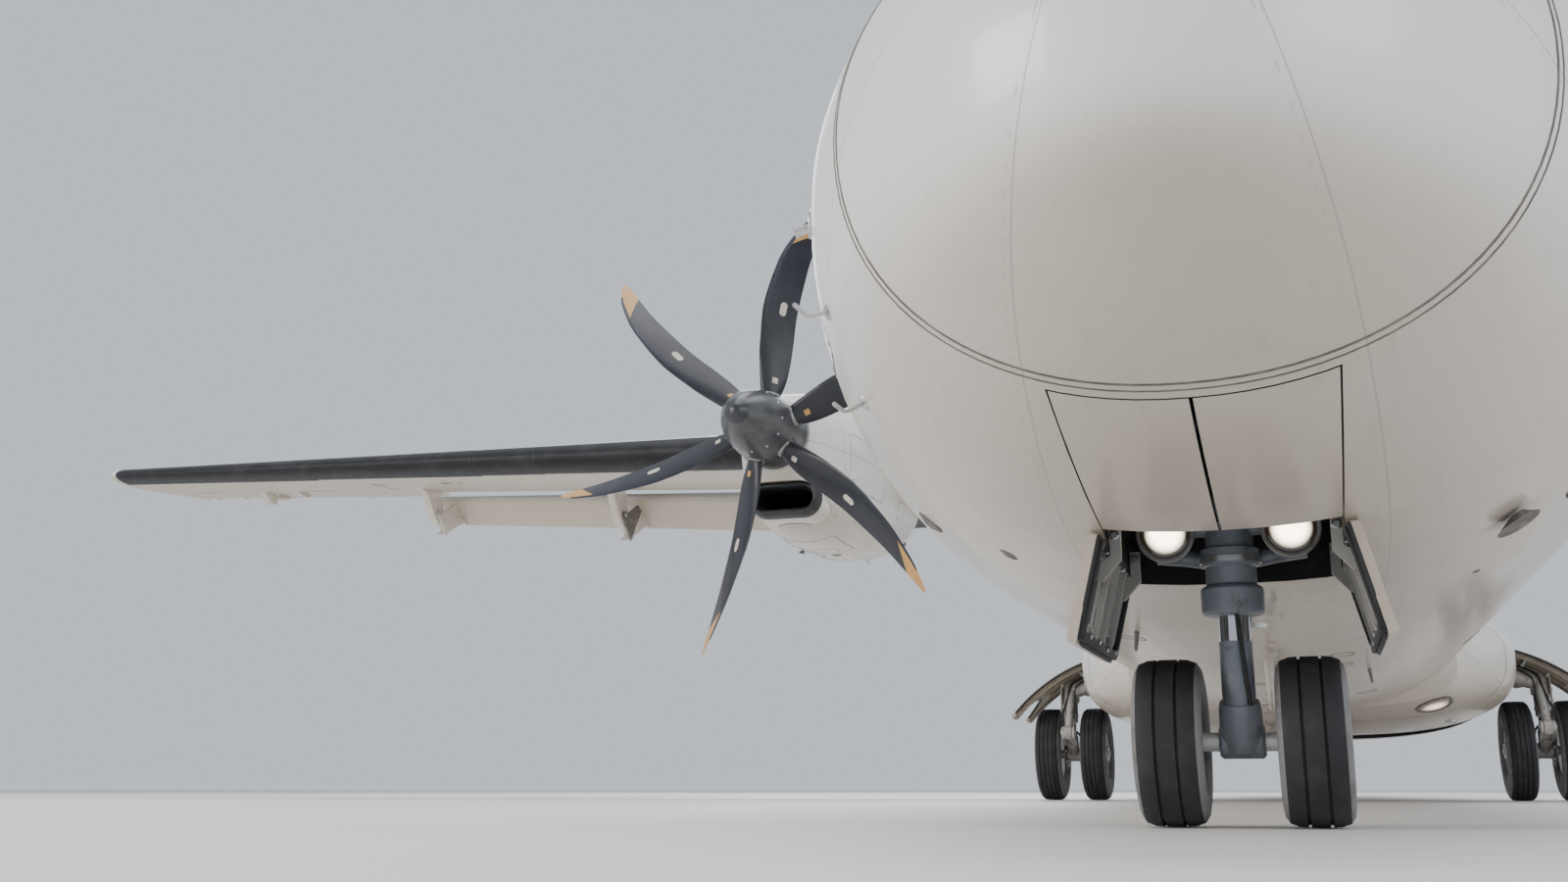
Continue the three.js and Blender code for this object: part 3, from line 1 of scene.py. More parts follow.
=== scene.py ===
# Twin turboprop airliner standing on its gear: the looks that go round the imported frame.
# Metres, X forward, Y to port, Z up, the ground at Z = 0.
import bisect
from math import atan2, ceil, cos, hypot, pi, radians, sin, sqrt

import bmesh
import bpy
import numpy as np
from mathutils import Matrix, Vector


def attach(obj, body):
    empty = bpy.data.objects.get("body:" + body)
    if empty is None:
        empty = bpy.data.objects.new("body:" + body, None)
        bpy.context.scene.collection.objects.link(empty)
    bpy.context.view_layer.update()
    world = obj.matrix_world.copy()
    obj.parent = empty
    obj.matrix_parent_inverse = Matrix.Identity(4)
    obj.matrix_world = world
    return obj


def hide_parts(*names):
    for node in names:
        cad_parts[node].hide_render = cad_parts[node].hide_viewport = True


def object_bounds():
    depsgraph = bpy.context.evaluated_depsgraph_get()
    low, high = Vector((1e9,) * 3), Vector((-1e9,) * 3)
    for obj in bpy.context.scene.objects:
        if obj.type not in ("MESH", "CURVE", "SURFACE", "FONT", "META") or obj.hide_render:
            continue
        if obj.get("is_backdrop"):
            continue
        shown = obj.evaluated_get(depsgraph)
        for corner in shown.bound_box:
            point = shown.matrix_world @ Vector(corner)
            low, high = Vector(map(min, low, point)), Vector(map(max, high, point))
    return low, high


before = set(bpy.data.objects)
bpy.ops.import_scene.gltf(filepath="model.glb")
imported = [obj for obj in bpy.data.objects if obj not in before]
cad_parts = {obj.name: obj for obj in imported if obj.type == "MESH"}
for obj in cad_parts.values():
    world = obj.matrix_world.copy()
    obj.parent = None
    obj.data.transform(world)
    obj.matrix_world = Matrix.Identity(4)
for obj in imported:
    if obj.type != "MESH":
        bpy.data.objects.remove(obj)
cad_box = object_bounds()

# Studio: a wide pale floor, a pale room and four soft panels of light. The camera lies on the floor
# ahead of the nose, a little to port, and looks up past the nose wheels at the starboard propeller.
camera_data = bpy.data.cameras.new("camera")
camera = bpy.data.objects.new("camera", camera_data)
bpy.context.scene.collection.objects.link(camera)
bpy.context.scene.camera = camera
camera_data.lens = 35
camera_data.sensor_width = 36
camera_data.clip_start = 0.05
camera_data.clip_end = 800
camera.location = (16.0, 0.2, 0.1)
CAMERA_AIM = Vector((4.0, -3.95, 3.0))
camera.rotation_euler = (CAMERA_AIM - camera.location).to_track_quat("-Z", "Y").to_euler()


class Finish:
    """One surface finish: a Principled shader, and the nodes that vary it over the piece."""

    def __init__(self, name, colour, rough=0.5, metal=0.0, coat=0.0, sheen=0.0, glow=None):
        self.material = bpy.data.materials.new(name)
        self.material.use_nodes = True
        self.nodes = self.material.node_tree.nodes
        self.links = self.material.node_tree.links
        self.shader = self.nodes["Principled BSDF"]
        self.place = self.nodes.new("ShaderNodeTexCoord").outputs["Object"]
        for socket, value in (
            ("Base Color", (*colour, 1)),
            ("Roughness", rough),
            ("Metallic", metal),
            ("Coat Weight", coat),
            ("Coat Roughness", 0.12),
            ("Sheen Weight", sheen),
        ):
            self.shader.inputs[socket].default_value = value
        if glow:
            self.shader.inputs["Emission Color"].default_value = (*glow[0], 1)
            self.shader.inputs["Emission Strength"].default_value = glow[1]
        self.colour = colour
        self.last_colour = None
        self.last_normal = None

    def put(self, socket, value):
        if hasattr(value, "is_linked"):
            self.links.new(value, socket)
        else:
            socket.default_value = value

    def sum(self, kind, *values):
        """A Math node."""
        node = self.nodes.new("ShaderNodeMath")
        node.operation = kind
        for socket, value in zip(node.inputs, values):
            self.put(socket, value)
        return node.outputs[0]

    def chain(self, kind, values):
        made = values[0]
        for value in values[1:]:
            made = self.sum(kind, made, value)
        return made

    def times(self, *values):
        return self.chain("MULTIPLY", values)

    def plus(self, *values):
        return self.chain("ADD", values)

    def less(self, a, b):
        return self.sum("SUBTRACT", a, b)

    def size(self, value):
        return self.sum("ABSOLUTE", value)

    def most(self, *values):
        return self.chain("MAXIMUM", values)

    def axis(self, name, place=None):
        node = self.nodes.new("ShaderNodeSeparateXYZ")
        self.links.new(place or self.place, node.inputs[0])
        return node.outputs[name]

    def facing(self, name):
        """How far the surface faces along an axis of the piece."""
        node = self.nodes.new("ShaderNodeTexCoord")
        return self.axis(name, node.outputs["Normal"])

    def ramp(self, value, low, high):
        """0 below low and 1 above high, smooth between; low may be the larger."""
        node = self.nodes.new("ShaderNodeMapRange")
        node.interpolation_type = "SMOOTHSTEP"
        self.put(node.inputs["Value"], value)
        if low < high:
            node.inputs["From Min"].default_value, node.inputs["From Max"].default_value = low, high
        else:
            node.inputs["From Min"].default_value, node.inputs["From Max"].default_value = high, low
            node.inputs["To Min"].default_value, node.inputs["To Max"].default_value = 1, 0
        return node.outputs[0]

    def noise(self, scale, detail=4.0, stretch=(1, 1, 1), rough=0.55):
        size = self.nodes.new("ShaderNodeMapping")
        size.inputs["Scale"].default_value = stretch
        self.links.new(self.place, size.inputs["Vector"])
        node = self.nodes.new("ShaderNodeTexNoise")
        node.inputs["Scale"].default_value = scale
        node.inputs["Detail"].default_value = detail
        node.inputs["Roughness"].default_value = rough
        self.links.new(size.outputs[0], node.inputs["Vector"])
        return node.outputs["Fac"]

    def line(self, value, at, half):
        """1 on a line where value equals at."""
        away = self.size(self.less(value, at))
        return self.ramp(away, half * 1.3, half * 0.6)

    def comb(self, value, pitch, half, offset=0.0):
        """1 on lines a pitch apart."""
        share = self.sum("FRACT", self.sum("DIVIDE", self.plus(value, offset), pitch))
        away = self.size(self.less(share, 0.5))
        return self.ramp(away, 1.3 * half / pitch, 0.6 * half / pitch)

    def tint(self, colour, *amounts):
        """Lays a colour over what is there, by the product of the amounts."""
        amount = self.times(*amounts)
        node = self.nodes.new("ShaderNodeMix")
        node.data_type = "RGBA"
        self.put(node.inputs[0], amount)
        self.put(node.inputs[6], self.last_colour or (*self.colour, 1))
        self.put(node.inputs[7], (*colour, 1))
        self.last_colour = node.outputs[2]
        self.links.new(self.last_colour, self.shader.inputs["Base Color"])
        return self

    def cloud(self, colour, low, high, *noise, most=None, **more):
        """Lays a colour over the patches where a noise is above low."""
        amount = self.ramp(self.noise(*noise, **more), low, high)
        return self.tint(colour, *([amount, most] if most else [amount]))

    def shine(self, level):
        self.shader.inputs["Specular IOR Level"].default_value = level
        return self

    def glow_by(self, value, most):
        self.links.new(self.times(value, most), self.shader.inputs["Emission Strength"])
        return self

    def roughen(self, value, low, high):
        node = self.nodes.new("ShaderNodeMapRange")
        self.put(node.inputs["Value"], value)
        node.inputs["To Min"].default_value, node.inputs["To Max"].default_value = low, high
        self.links.new(node.outputs[0], self.shader.inputs["Roughness"])
        return self

    def wear(self, low, high, *noise):
        return self.roughen(self.noise(*noise), low, high)

    def raise_by(self, height, depth, strength=0.6):
        """Bump of a height field, depth in metres."""
        node = self.nodes.new("ShaderNodeBump")
        node.inputs["Strength"].default_value = strength
        node.inputs["Distance"].default_value = depth
        self.put(node.inputs["Height"], height)
        if self.last_normal:
            self.links.new(self.last_normal, node.inputs["Normal"])
        self.last_normal = node.outputs[0]
        self.links.new(self.last_normal, self.shader.inputs["Normal"])
        return self

    def grain(self, depth, *noise, strength=0.6):
        """A fine bump of a noise."""
        return self.raise_by(self.noise(*noise), depth, strength)


floor_finish = Finish("studio_floor_paint", (0.8, 0.79, 0.775), rough=0.55)
floor_finish.cloud((0.76, 0.75, 0.735), 0.35, 0.75, 0.35, 5)
floor_mesh = bpy.data.meshes.new("studio_floor")
floor_mesh.from_pydata([(-300, -300, 0), (300, -300, 0), (300, 300, 0), (-300, 300, 0)], [], [(0, 1, 2, 3)])
floor_mesh.materials.append(floor_finish.material)
floor = bpy.data.objects.new("studio_floor", floor_mesh)
floor.location.z = -0.001
bpy.context.scene.collection.objects.link(floor)
floor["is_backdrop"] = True

room = bpy.data.worlds.new("studio_room")
bpy.context.scene.world = room
room.use_nodes = True
room.node_tree.nodes["Background"].inputs["Color"].default_value = (0.8, 0.85, 0.92, 1)
room.node_tree.nodes["Background"].inputs["Strength"].default_value = 0.85
for name, where, aim, size, watts, colour in (
    ("key_panel", (22, -20, 8), (5, -4, 2.5), 12, 3600, (1.0, 0.95, 0.88)),
    ("fill_panel", (20, 22, 10), (5, 1, 2), 14, 2000, (0.95, 0.97, 1.0)),
    ("top_panel", (0, 0, 26), (0, 0, 0), 24, 5200, (1.0, 0.99, 0.97)),
    ("back_panel", (-26, -10, 14), (-5, 0, 3), 14, 2200, (0.97, 0.98, 1.0)),
):
    panel_data = bpy.data.lights.new(name, "AREA")
    panel_data.size = size
    panel_data.energy = watts
    panel_data.color = colour
    panel = bpy.data.objects.new(name, panel_data)
    panel.location = where
    panel.rotation_euler = (Vector(aim) - Vector(where)).to_track_quat("-Z", "Y").to_euler()
    bpy.context.scene.collection.objects.link(panel)

# Fuselage: five barrel sections of riveted light-alloy sheet over frames, butted and painted white.
# The belly carries a warm grey tint, part dirt and part painted shade; brown streaks run aft from the nose
# wheels along the middle, and the sheet joints and rivet rows show faintly through the paint.
BODY = np.array([  # x, half width, top, bottom, widest height, squareness below it
    [13583, 40, 1440, 1360, 1400, 2.0], [13530, 205, 1625, 1215, 1420, 2.0],
    [13380, 415, 1810, 1075, 1445, 2.05], [13080, 660, 2060, 930, 1495, 2.1],
    [12560, 905, 2340, 800, 1590, 2.2], [12120, 1060, 2660, 735, 1690, 2.35],
    [11700, 1180, 2960, 702, 1790, 2.45], [11100, 1300, 3195, 684, 1890, 2.55],
    [10500, 1375, 3330, 675, 1945, 2.6], [9700, 1424, 3400, 672, 1975, 2.6],
    [8900, 1432, 3412, 672, 1980, 2.6], [-3300, 1432, 3412, 672, 1980, 2.6],
    [-4800, 1422, 3412, 715, 2000, 2.6], [-6300, 1378, 3410, 890, 2070, 2.6],
    [-7900, 1255, 3402, 1250, 2240, 2.5], [-9600, 945, 3385, 1770, 2550, 2.25],
    [-11200, 550, 3350, 2320, 2830, 2.0], [-12300, 250, 3270, 2720, 2990, 2.0],
    [-12750, 70, 3160, 2930, 3040, 2.0],
]) * [0.001, 0.001, 0.001, 0.001, 0.001, 1]
NOSE_END = 13.6
BODY[:, 0] = np.sqrt(NOSE_END - BODY[:, 0])  # rows closer together towards the round nose
CURVES, VALUES = {}, {}


def between(rows, x):
    """A station table's values at x, on a curve that never overshoots its rows."""
    if (id(rows), x) in VALUES:
        return VALUES[id(rows), x]
    if id(rows) not in CURVES:
        table = rows[np.argsort(rows[:, 0])]
        s, v = table[:, 0], table[:, 1:]
        rise = np.diff(v, axis=0) / np.diff(s)[:, None]
        slope = np.vstack([rise[:1], rise[:-1] * 0, rise[-1:]])
        a, b = rise[:-1], rise[1:]
        slope[1:-1] = np.where(a * b > 0, 2 * a * b / np.where(a + b == 0, 1, a + b), 0)
        CURVES[id(rows)] = s.tolist(), v, slope
    s, v, slope = CURVES[id(rows)]
    at = min(max(x, s[0]), s[-1])
    k = min(max(bisect.bisect_left(s, at) - 1, 0), len(s) - 2)
    h = s[k + 1] - s[k]
    t = (at - s[k]) / h
    VALUES[id(rows), x] = (
        v[k] * ((1 + 2 * t) * (1 - t) ** 2)
        + slope[k] * (h * t * (1 - t) ** 2)
        + v[k + 1] * (t * t * (3 - 2 * t))
        + slope[k + 1] * (h * t * t * (t - 1))
    )
    return VALUES[id(rows), x]


def body_values(x):
    return between(BODY, sqrt(max(NOSE_END - x, 0.017)))


def body_ring(x, grow=0.0, count=96):
    half, top, bottom, line, square = body_values(x)
    angle = np.arange(count) * 2 * np.pi / count
    c, s = np.cos(angle), np.sin(angle)
    power = np.where(s < -1e-9, 2 / square, 1)
    y = np.sign(c) * np.abs(c) ** power * max(half + grow, 0.01)
    rise = np.where(s < 0, line - bottom, top - line) + grow
    z = line + np.sign(s) * np.abs(s) ** power * np.maximum(rise, 0.005)
    return np.column_stack([np.full(count, x), y, z])


def body_share(x, y, z):
    """1 on the body's skin and less inside it."""
    half, top, bottom, line, square = body_values(x)
    if z >= line:
        return (y / half) ** 2 + ((z - line) / (top - line)) ** 2
    return abs(y / half) ** square + ((line - z) / (line - bottom)) ** square


def around(count):
    """Angles at even steps round a circle."""
    return [2 * pi * k / count for k in range(count)]


class Build:
    """A mesh being put together from closed forms, each with the number of its finish."""

    def __init__(self):
        self.points, self.faces, self.finish = [], [], []

    def rings(self, rings, finish=0, wrap=True, caps=True):
        rings = [np.asarray(r, float) for r in rings]
        base, n = len(self.points), len(rings[0])
        for ring in rings:
            self.points.extend(map(tuple, ring))
        last = n if wrap else n - 1
        for i in range(len(rings) - 1):
            for j in range(last):
                a, b = base + i * n + j, base + i * n + (j + 1) % n
                self.faces.append((a, b, b + n, a + n))
                self.finish.append(finish)
        if caps and wrap:
            self.faces.append(tuple(base + j for j in range(n))[::-1])
            self.faces.append(tuple(base + (len(rings) - 1) * n + j for j in range(n)))
            self.finish += [finish, finish]
        return self

    def turned(self, start, end, profile, finish=0, sides=32):
        """A turned form; its profile is (distance from start towards end, radius) pairs."""
        start, end = Vector(start), Vector(end)
        along = (end - start).normalized()
        side = along.orthogonal().normalized()
        other = along.cross(side)
        rings = []
        for distance, radius in profile:
            middle = start + along * distance
            rings.append([
                middle + (side * cos(a) + other * sin(a)) * max(radius, 1e-4)
                for a in around(sides)
            ])
        return self.rings(rings, finish)

    def rod(self, start, end, radius, end_radius=None, finish=0, sides=20, edge=0.003):
        length = (Vector(end) - Vector(start)).length
        far = radius if end_radius is None else end_radius
        edge = min(edge, radius * 0.4, far * 0.4, length * 0.3)
        profile = [(0, radius - edge), (edge, radius), (length - edge, far), (length, far - edge)]
        return self.turned(start, end, profile, finish, sides)

    def pin(self, middle, half, radius, **more):
        """A rod that lies across the aircraft."""
        across = Vector((0, half, 0))
        return self.rod(Vector(middle) - across, Vector(middle) + across, radius, **more)

    def tube(self, points, radius, finish=0, sides=10):
        """A bent pipe or wire along points, its corners rounded."""
        points = [Vector(p) for p in points]
        smooth = [points[0]]
        for a, b, c in zip(points, points[1:], points[2:]):
            near = min((b - a).length, (c - b).length) * 0.35
            first, last = b + (a - b).normalized() * near, b + (c - b).normalized() * near
            for t in (0, 0.25, 0.5, 0.75, 1):
                smooth.append(first.lerp(b, t).lerp(b.lerp(last, t), t))
        smooth.append(points[-1])
        side = (smooth[1] - smooth[0]).orthogonal().normalized()
        rings = []
        for k, p in enumerate(smooth):
            along = (smooth[min(k + 1, len(smooth) - 1)] - smooth[max(k - 1, 0)]).normalized()
            side = (side - along * side.dot(along)).normalized()
            other = along.cross(side)
            rings.append([
                p + (side * cos(a) + other * sin(a)) * radius
                for a in around(sides)
            ])
        return self.rings(rings, finish)

    def block(self, low, high, finish=0, edge=0.004, turn=None, about=None):
        """A box with chamfered edges, turned by a matrix about a point if one is given."""
        low, high = np.minimum(low, high), np.maximum(low, high)
        edge = min(edge, *(0.3 * (high - low)))
        rings = []
        for z, inset in ((low[2], edge), (low[2] + edge, 0), (high[2] - edge, 0), (high[2], edge)):
            x0, y0, x1, y1 = low[0] + inset, low[1] + inset, high[0] - inset, high[1] - inset
            e = edge
            rings.append([
                (x0 + e, y0, z), (x1 - e, y0, z), (x1, y0 + e, z), (x1, y1 - e, z),
                (x1 - e, y1, z), (x0 + e, y1, z), (x0, y1 - e, z), (x0, y0 + e, z),
            ])
        if turn is not None:
            middle = Vector(about if about is not None else (low + high) / 2)
            rings = [[middle + turn @ (Vector(p) - middle) for p in ring] for ring in rings]
        return self.rings(rings, finish)

    def plate(self, outline, at, thick, finish=0, edge=0.003):
        """A flat plate: its outline is pairs, and at turns (u, v, out) into a point."""
        outline = np.asarray(outline, float)
        middle = outline.mean(0)
        size = np.abs(outline - middle).max()
        small = middle + (outline - middle) * (1 - edge / size)
        layers = ((small, 0), (outline, edge * 0.6), (outline, thick - edge * 0.6), (small, thick))
        return self.rings([[at(u, v, out) for u, v in pts] for pts, out in layers], finish)

    def mesh(self, name, sharp=32):
        made = bpy.data.meshes.new(name)
        made.from_pydata([tuple(p) for p in self.points], [], self.faces)
        made.polygons.foreach_set("material_index", self.finish)
        edit = bmesh.new()
        edit.from_mesh(made)
        bmesh.ops.remove_doubles(edit, verts=edit.verts, dist=1e-5)
        bmesh.ops.recalc_face_normals(edit, faces=edit.faces)
        edit.to_mesh(made)
        edit.free()
        made.shade_smooth()
        made.set_sharp_from_angle(angle=radians(sharp))
        return made

    def piece(self, name, finishes, body="airframe", stands_for=(), slot=None, sharp=32):
        """The finished piece, riding on its body, in place of the CAD nodes it stands for."""
        thing = bpy.data.objects.new(name, self.mesh(name, sharp))
        bpy.context.scene.collection.objects.link(thing)
        for finish in finishes if isinstance(finishes, (list, tuple)) else [finishes]:
            thing.data.materials.append(finish.material)
        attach(thing, body)
        if stands_for:
            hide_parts(*([stands_for] if isinstance(stands_for, str) else stands_for))
        return thing


def carve(piece, *steps, sharp=32):
    """Cuts, or keeps the common part, as (how, Build) steps say."""
    for how, tool in steps:
        cutter = bpy.data.objects.new("cutter", tool.mesh("cutter"))
        cutter.data.materials.append(piece.data.materials[0])
        bpy.context.scene.collection.objects.link(cutter)
        modifier = piece.modifiers.new("carve", "BOOLEAN")
        modifier.operation = how
        modifier.object = cutter
        modifier.solver = "EXACT"
        bpy.context.view_layer.update()
        made = bpy.data.meshes.new_from_object(piece.evaluated_get(bpy.context.evaluated_depsgraph_get()))
        piece.modifiers.clear()
        piece.data = made
        bpy.data.objects.remove(cutter)
    piece.data.shade_smooth()
    piece.data.set_sharp_from_angle(angle=radians(sharp))
    return piece


def body_paint(name, white=(0.83, 0.82, 0.795)):
    """White airliner paint with sheet joints, rivets and a belly darkened by dirt and by painted shade."""
    paint = Finish(name, white, rough=0.3, coat=0.35)
    x, y, z = paint.axis("X"), paint.axis("Y"), paint.axis("Z")
    cloud = paint.noise(0.9, 5)
    # the warm tint low on the body and on faces that look down is partly a film of dirt and partly painted shade of
    # the underside
    low_dirt_and_shade = paint.ramp(paint.plus(z, paint.times(cloud, 0.5)), 1.55, 1.05)
    downward_dirt_and_shade = paint.ramp(paint.facing("Z"), -0.25, -0.75)
    paint.tint((0.5, 0.425, 0.345), paint.times(paint.most(low_dirt_and_shade, downward_dirt_and_shade), 0.9))
    paint.tint((0.7, 0.655, 0.59), paint.ramp(cloud, 0.45, 0.75), 0.22)
    # brown patches and streaks along the keel joint, aft of the nose wheels, and thin runs beside it
    low = paint.ramp(z, 1.2, 0.8)
    behind = paint.ramp(x, 11.3, 11.1)
    keel = paint.size(paint.less(y, paint.times(paint.less(x, 8.0), 0.035)))
    patches = paint.ramp(paint.noise(1.0, 6, stretch=(2.2, 14, 2), rough=0.7), 0.47, 0.6)
    paint.tint((0.1, 0.075, 0.055), patches, paint.ramp(keel, 0.055, 0.015), low, behind, 0.85)
    streak = paint.noise(1.0, 6, stretch=(0.4, 9, 1.5), rough=0.65)
    paint.tint((0.22, 0.165, 0.12), paint.ramp(streak, 0.48, 0.7), paint.ramp(keel, 0.32, 0.03), low, behind, 0.6)
    fine = paint.noise(1.0, 5, stretch=(0.6, 26, 20), rough=0.6)
    paint.tint((0.33, 0.27, 0.215), paint.ramp(fine, 0.55, 0.8), paint.ramp(z, 1.5, 0.9), 0.35)
    smear = paint.noise(1.3, 4, stretch=(0.6, 1, 1))
    paint.tint((0.36, 0.29, 0.225), paint.ramp(smear, 0.5, 0.72), paint.ramp(z, 1.0, 0.7), 0.5)
    # sheet joints round the body and along it, with a row of rivets on each side
    ring_joint = paint.comb(x, 1.9, 0.0025, 0.35)
    angle = paint.sum("ARCTAN2", paint.less(z, 1.98), y)
    lap_joint = paint.comb(angle, pi / 5, 0.0022, 0.31)
    joint = paint.most(ring_joint, lap_joint)
    paint.tint((0.33, 0.31, 0.29), joint, 0.55)
    near_ring = paint.comb(x, 1.9, 0.004, 0.31)
    near_lap = paint.comb(angle, pi / 5, 0.004, 0.33)
    dots = paint.most(paint.times(near_ring, paint.comb(angle, 0.028, 0.0035)),
        paint.times(near_lap, paint.comb(x, 0.04, 0.005)),
    )
    paint.tint((0.42, 0.39, 0.36), dots, 0.4)
    paint.raise_by(paint.less(dots, joint), 0.0012)
    paint.grain(0.004, 2.2, 2, strength=0.25)
    paint.wear(0.24, 0.44, 5, 4)
    return paint


white_paint = body_paint("white_body_paint")
# the near-black lining of the bays and wells is dark primer darkened further as painted shade of the deep bays
bay_black = Finish("bay_primer", (0.018, 0.018, 0.017), rough=0.7)
bay_black.cloud((0.05, 0.046, 0.04), 0.5, 0.75, 6, 5)
bay_black.grain(0.003, 30, 3)
cabin_grey = Finish("cabin_lining", (0.42, 0.41, 0.39), rough=0.75)
cabin_grey.cloud((0.3, 0.29, 0.275), 0.4, 0.7, 3, 5)
cabin_grey.grain(0.0008, 160, 2)


def body_stretch(front, rear, grow=0.0, step=0.24):
    """The body's solid from one x to another."""
    near_nose = [x for x in (13.57, 13.55, 13.52, 13.47, 13.4, 13.3, 13.18, 13.04) if rear < x < front]
    count = max(2, int((min(front, 12.9) - rear) / step))
    rest = list(np.linspace(min(front, 12.9), rear, count))
    if near_nose:
        return Build().rings([body_ring(x, grow) for x in [front, *near_nose, *rest]])
    return Build().rings([body_ring(x, grow) for x in rest])


def box_tool(low, high):
    return Build().block(low, high, edge=1e-5)


class Doorway:
    """A hinged door's place in the body: its hinge line and the space that it closes."""

    def __init__(self, x, half, hinge, sign, reach, lean, arm, depth):
        self.x, self.half, self.sign, self.reach = x, half, sign, reach
        self.hinge, self.arm, self.depth = hinge, arm, depth
        self.turn = Matrix.Rotation(radians(lean), 3, "Z")

    def point(self, x, y, z):
        return self.turn @ Vector((x, y, z)) + Vector((self.x, *self.hinge))

    def prism(self, grow):
        far = self.reach + grow
        arc = [(-far * sin(radians(a)), self.sign * far * cos(radians(a)))
               for a in range(-10, 21, 2)]
        near = -self.sign * grow
        outline = [(0.5, near), (0.5, arc[0][1]), *arc, (-self.depth, arc[-1][1]), (-self.depth, near)]
        ends = (-self.half - grow, self.half + grow)
        return Build().rings([[self.point(x, y, z) for y, z in outline] for x in ends])


cargo_doorway = Doorway(9.688, 0.637, (1.352, 2.5), -1, 1.5, 0, 0.09, 2.25)
entry_doorway = Doorway(-6.645, 0.375, (1.222, 1.4), 1, 1.7, 6, 0.19, 1.0)
DOOR_GAP = 0.008
NOSE_BAY = dict(front=12.9, rear=11.34, half=0.294, roof=1.33)
WHEEL_WELL = dict(front=1.47, rear=0.37, inner=0.33, outer=1.9, roof=1.33)
wheel_wells = [
    box_tool((WHEEL_WELL["rear"], side * WHEEL_WELL["inner"], 0.3),
             (WHEEL_WELL["front"], side * WHEEL_WELL["outer"], WHEEL_WELL["roof"]))
    for side in (1, -1)
]
nose_bay_tool = box_tool((NOSE_BAY["rear"], -NOSE_BAY["half"], 0.3),
                         (NOSE_BAY["front"], NOSE_BAY["half"], NOSE_BAY["roof"]))
service_tool = box_tool((-6.954, -2.0, 1.446), (-6.336, -1.0, 2.674))
for name, front, rear, cuts in (
    ("nose_fuselage", 13.58299, 10.7004, [nose_bay_tool]),
    ("forward_fuselage", 10.7, 4.4004, [cargo_doorway.prism(DOOR_GAP)]),
    ("centre_fuselage", 4.4, -2.2996, wheel_wells),
    ("aft_fuselage", -2.3, -7.9996, [entry_doorway.prism(DOOR_GAP), service_tool]),
    ("tail_fuselage", -8.0, -12.75, []),
):
    shell = body_stretch(front, rear).piece(name + "_skin", [white_paint], stands_for=name, slot="white_paint")
    carve(shell, *[("DIFFERENCE", tool) for tool in cuts])
    # the walls of a bay, hold or doorway are lined, not painted white; the bays' near-black lining is painted shade
    # over primer
    lining = bay_black if name in ("nose_fuselage", "centre_fuselage") else cabin_grey
    shell.data.materials.append(lining.material)
    for face in shell.data.polygons:
        if rear + 0.05 < face.center.x < min(front, 12.95) - 0.02 and body_share(*face.center) < 0.97:
            face.material_index = 1

# Flight deck glazing: six laminated panes in dark sealed frames round the nose, with two wipers.
def body_reach(x, z):
    """Half the body's width at a height."""
    half, top, bottom, line, square = body_values(x)
    if z >= line:
        return half * sqrt(max(1 - ((z - line) / (top - line)) ** 2, 0))
    return half * max(1 - ((line - z) / (line - bottom)) ** square, 0) ** (1 / square)


def body_floor(x, y):
    """Height of the belly skin at a distance from the middle."""
    half, top, bottom, line, square = body_values(x)
    return line - (line - bottom) * max(1 - abs(y / half) ** square, 0) ** (1 / square)


def body_roof(x, y):
    half, top, bottom, line, square = body_values(x)
    return line + (top - line) * sqrt(max(1 - (y / half) ** 2, 0))


def stand_off(point, sign=1, step=0.004):
    """Gives a surface point function of (u, v) a third value, the distance above the surface."""
    def at(u, v, out):
        p = Vector(point(u, v))
        across = (Vector(point(u + step, v)) - p).cross(Vector(point(u, v + step)) - p)
        return p + across.normalized() * (sign * out)
    return at


def body_side(side):
    return stand_off(lambda x, z: (x, side * body_reach(x, z), z), -side)


body_belly = stand_off(lambda x, y: (x, y, body_floor(x, y)), -1)
body_crown = stand_off(lambda x, y: (x, y, body_roof(x, y)), 1)


def rounded(width, height, radius, middle=(0, 0), steps=5):
    """A rectangle with round corners, as pairs."""
    radius = min(radius, width / 2 * 0.999, height / 2 * 0.999)
    pairs = []
    for k, (sx, sy) in enumerate(((1, 1), (-1, 1), (-1, -1), (1, -1))):
        for j in range(steps + 1):
            a = pi / 2 * (k + j / steps)
            pairs.append((
                middle[0] + sx * (width / 2 - radius) + radius * cos(a),
                middle[1] + sy * (height / 2 - radius) + radius * sin(a),
            ))
    return np.array(pairs)


def shrunk(outline, by):
    """An outline with each side moved in by a distance."""
    middle = (outline.max(0) + outline.min(0)) / 2
    half = (outline.max(0) - outline.min(0)) / 2
    return middle + (outline - middle) * (1 - by / half)


def dense(outline, each=0.04):
    """An outline with points added along its long sides, so that it can follow a curved surface."""
    made = []
    for a, b in zip(outline, np.roll(outline, -1, axis=0)):
        steps = max(1, ceil(np.hypot(*(b - a)) / each))
        made += [a + (b - a) * k / steps for k in range(steps)]
    return np.array(made)


def patch(build, outline, at, low, high, finish=0, edge=0.002):
    """A thin closed sheet that follows a surface, its faces at two heights above it."""
    outline = dense(outline)
    middle = (outline.max(0) + outline.min(0)) / 2
    layers = [(s, low) for s in (0.01, 0.35, 0.68, 1)]
    layers += [(1, high - 0.6 * (high - low))]
    rings = [[at(*(middle + (p - middle) * s), out) for p in outline] for s, out in layers]
    inner = shrunk(outline, edge)
    rings += [[at(*(middle + (p - middle) * s), high) for p in inner] for s in (1, 0.68, 0.35, 0.01)]
    build.rings(rings, finish)


def rim(build, outline, at, width, low, high, finish=0):
    """A raised frame round an outline."""
    outline = dense(outline)
    inner, ease = shrunk(outline, width), min(width * 0.25, 0.004)
    loops = [(outline, low), (outline, high - ease), (shrunk(outline, ease), high),
             (shrunk(outline, width - ease), high), (inner, high - ease), (inner, low), (outline, low)]
    build.rings([[at(u, v, out) for u, v in pts] for pts, out in loops], finish, caps=False)


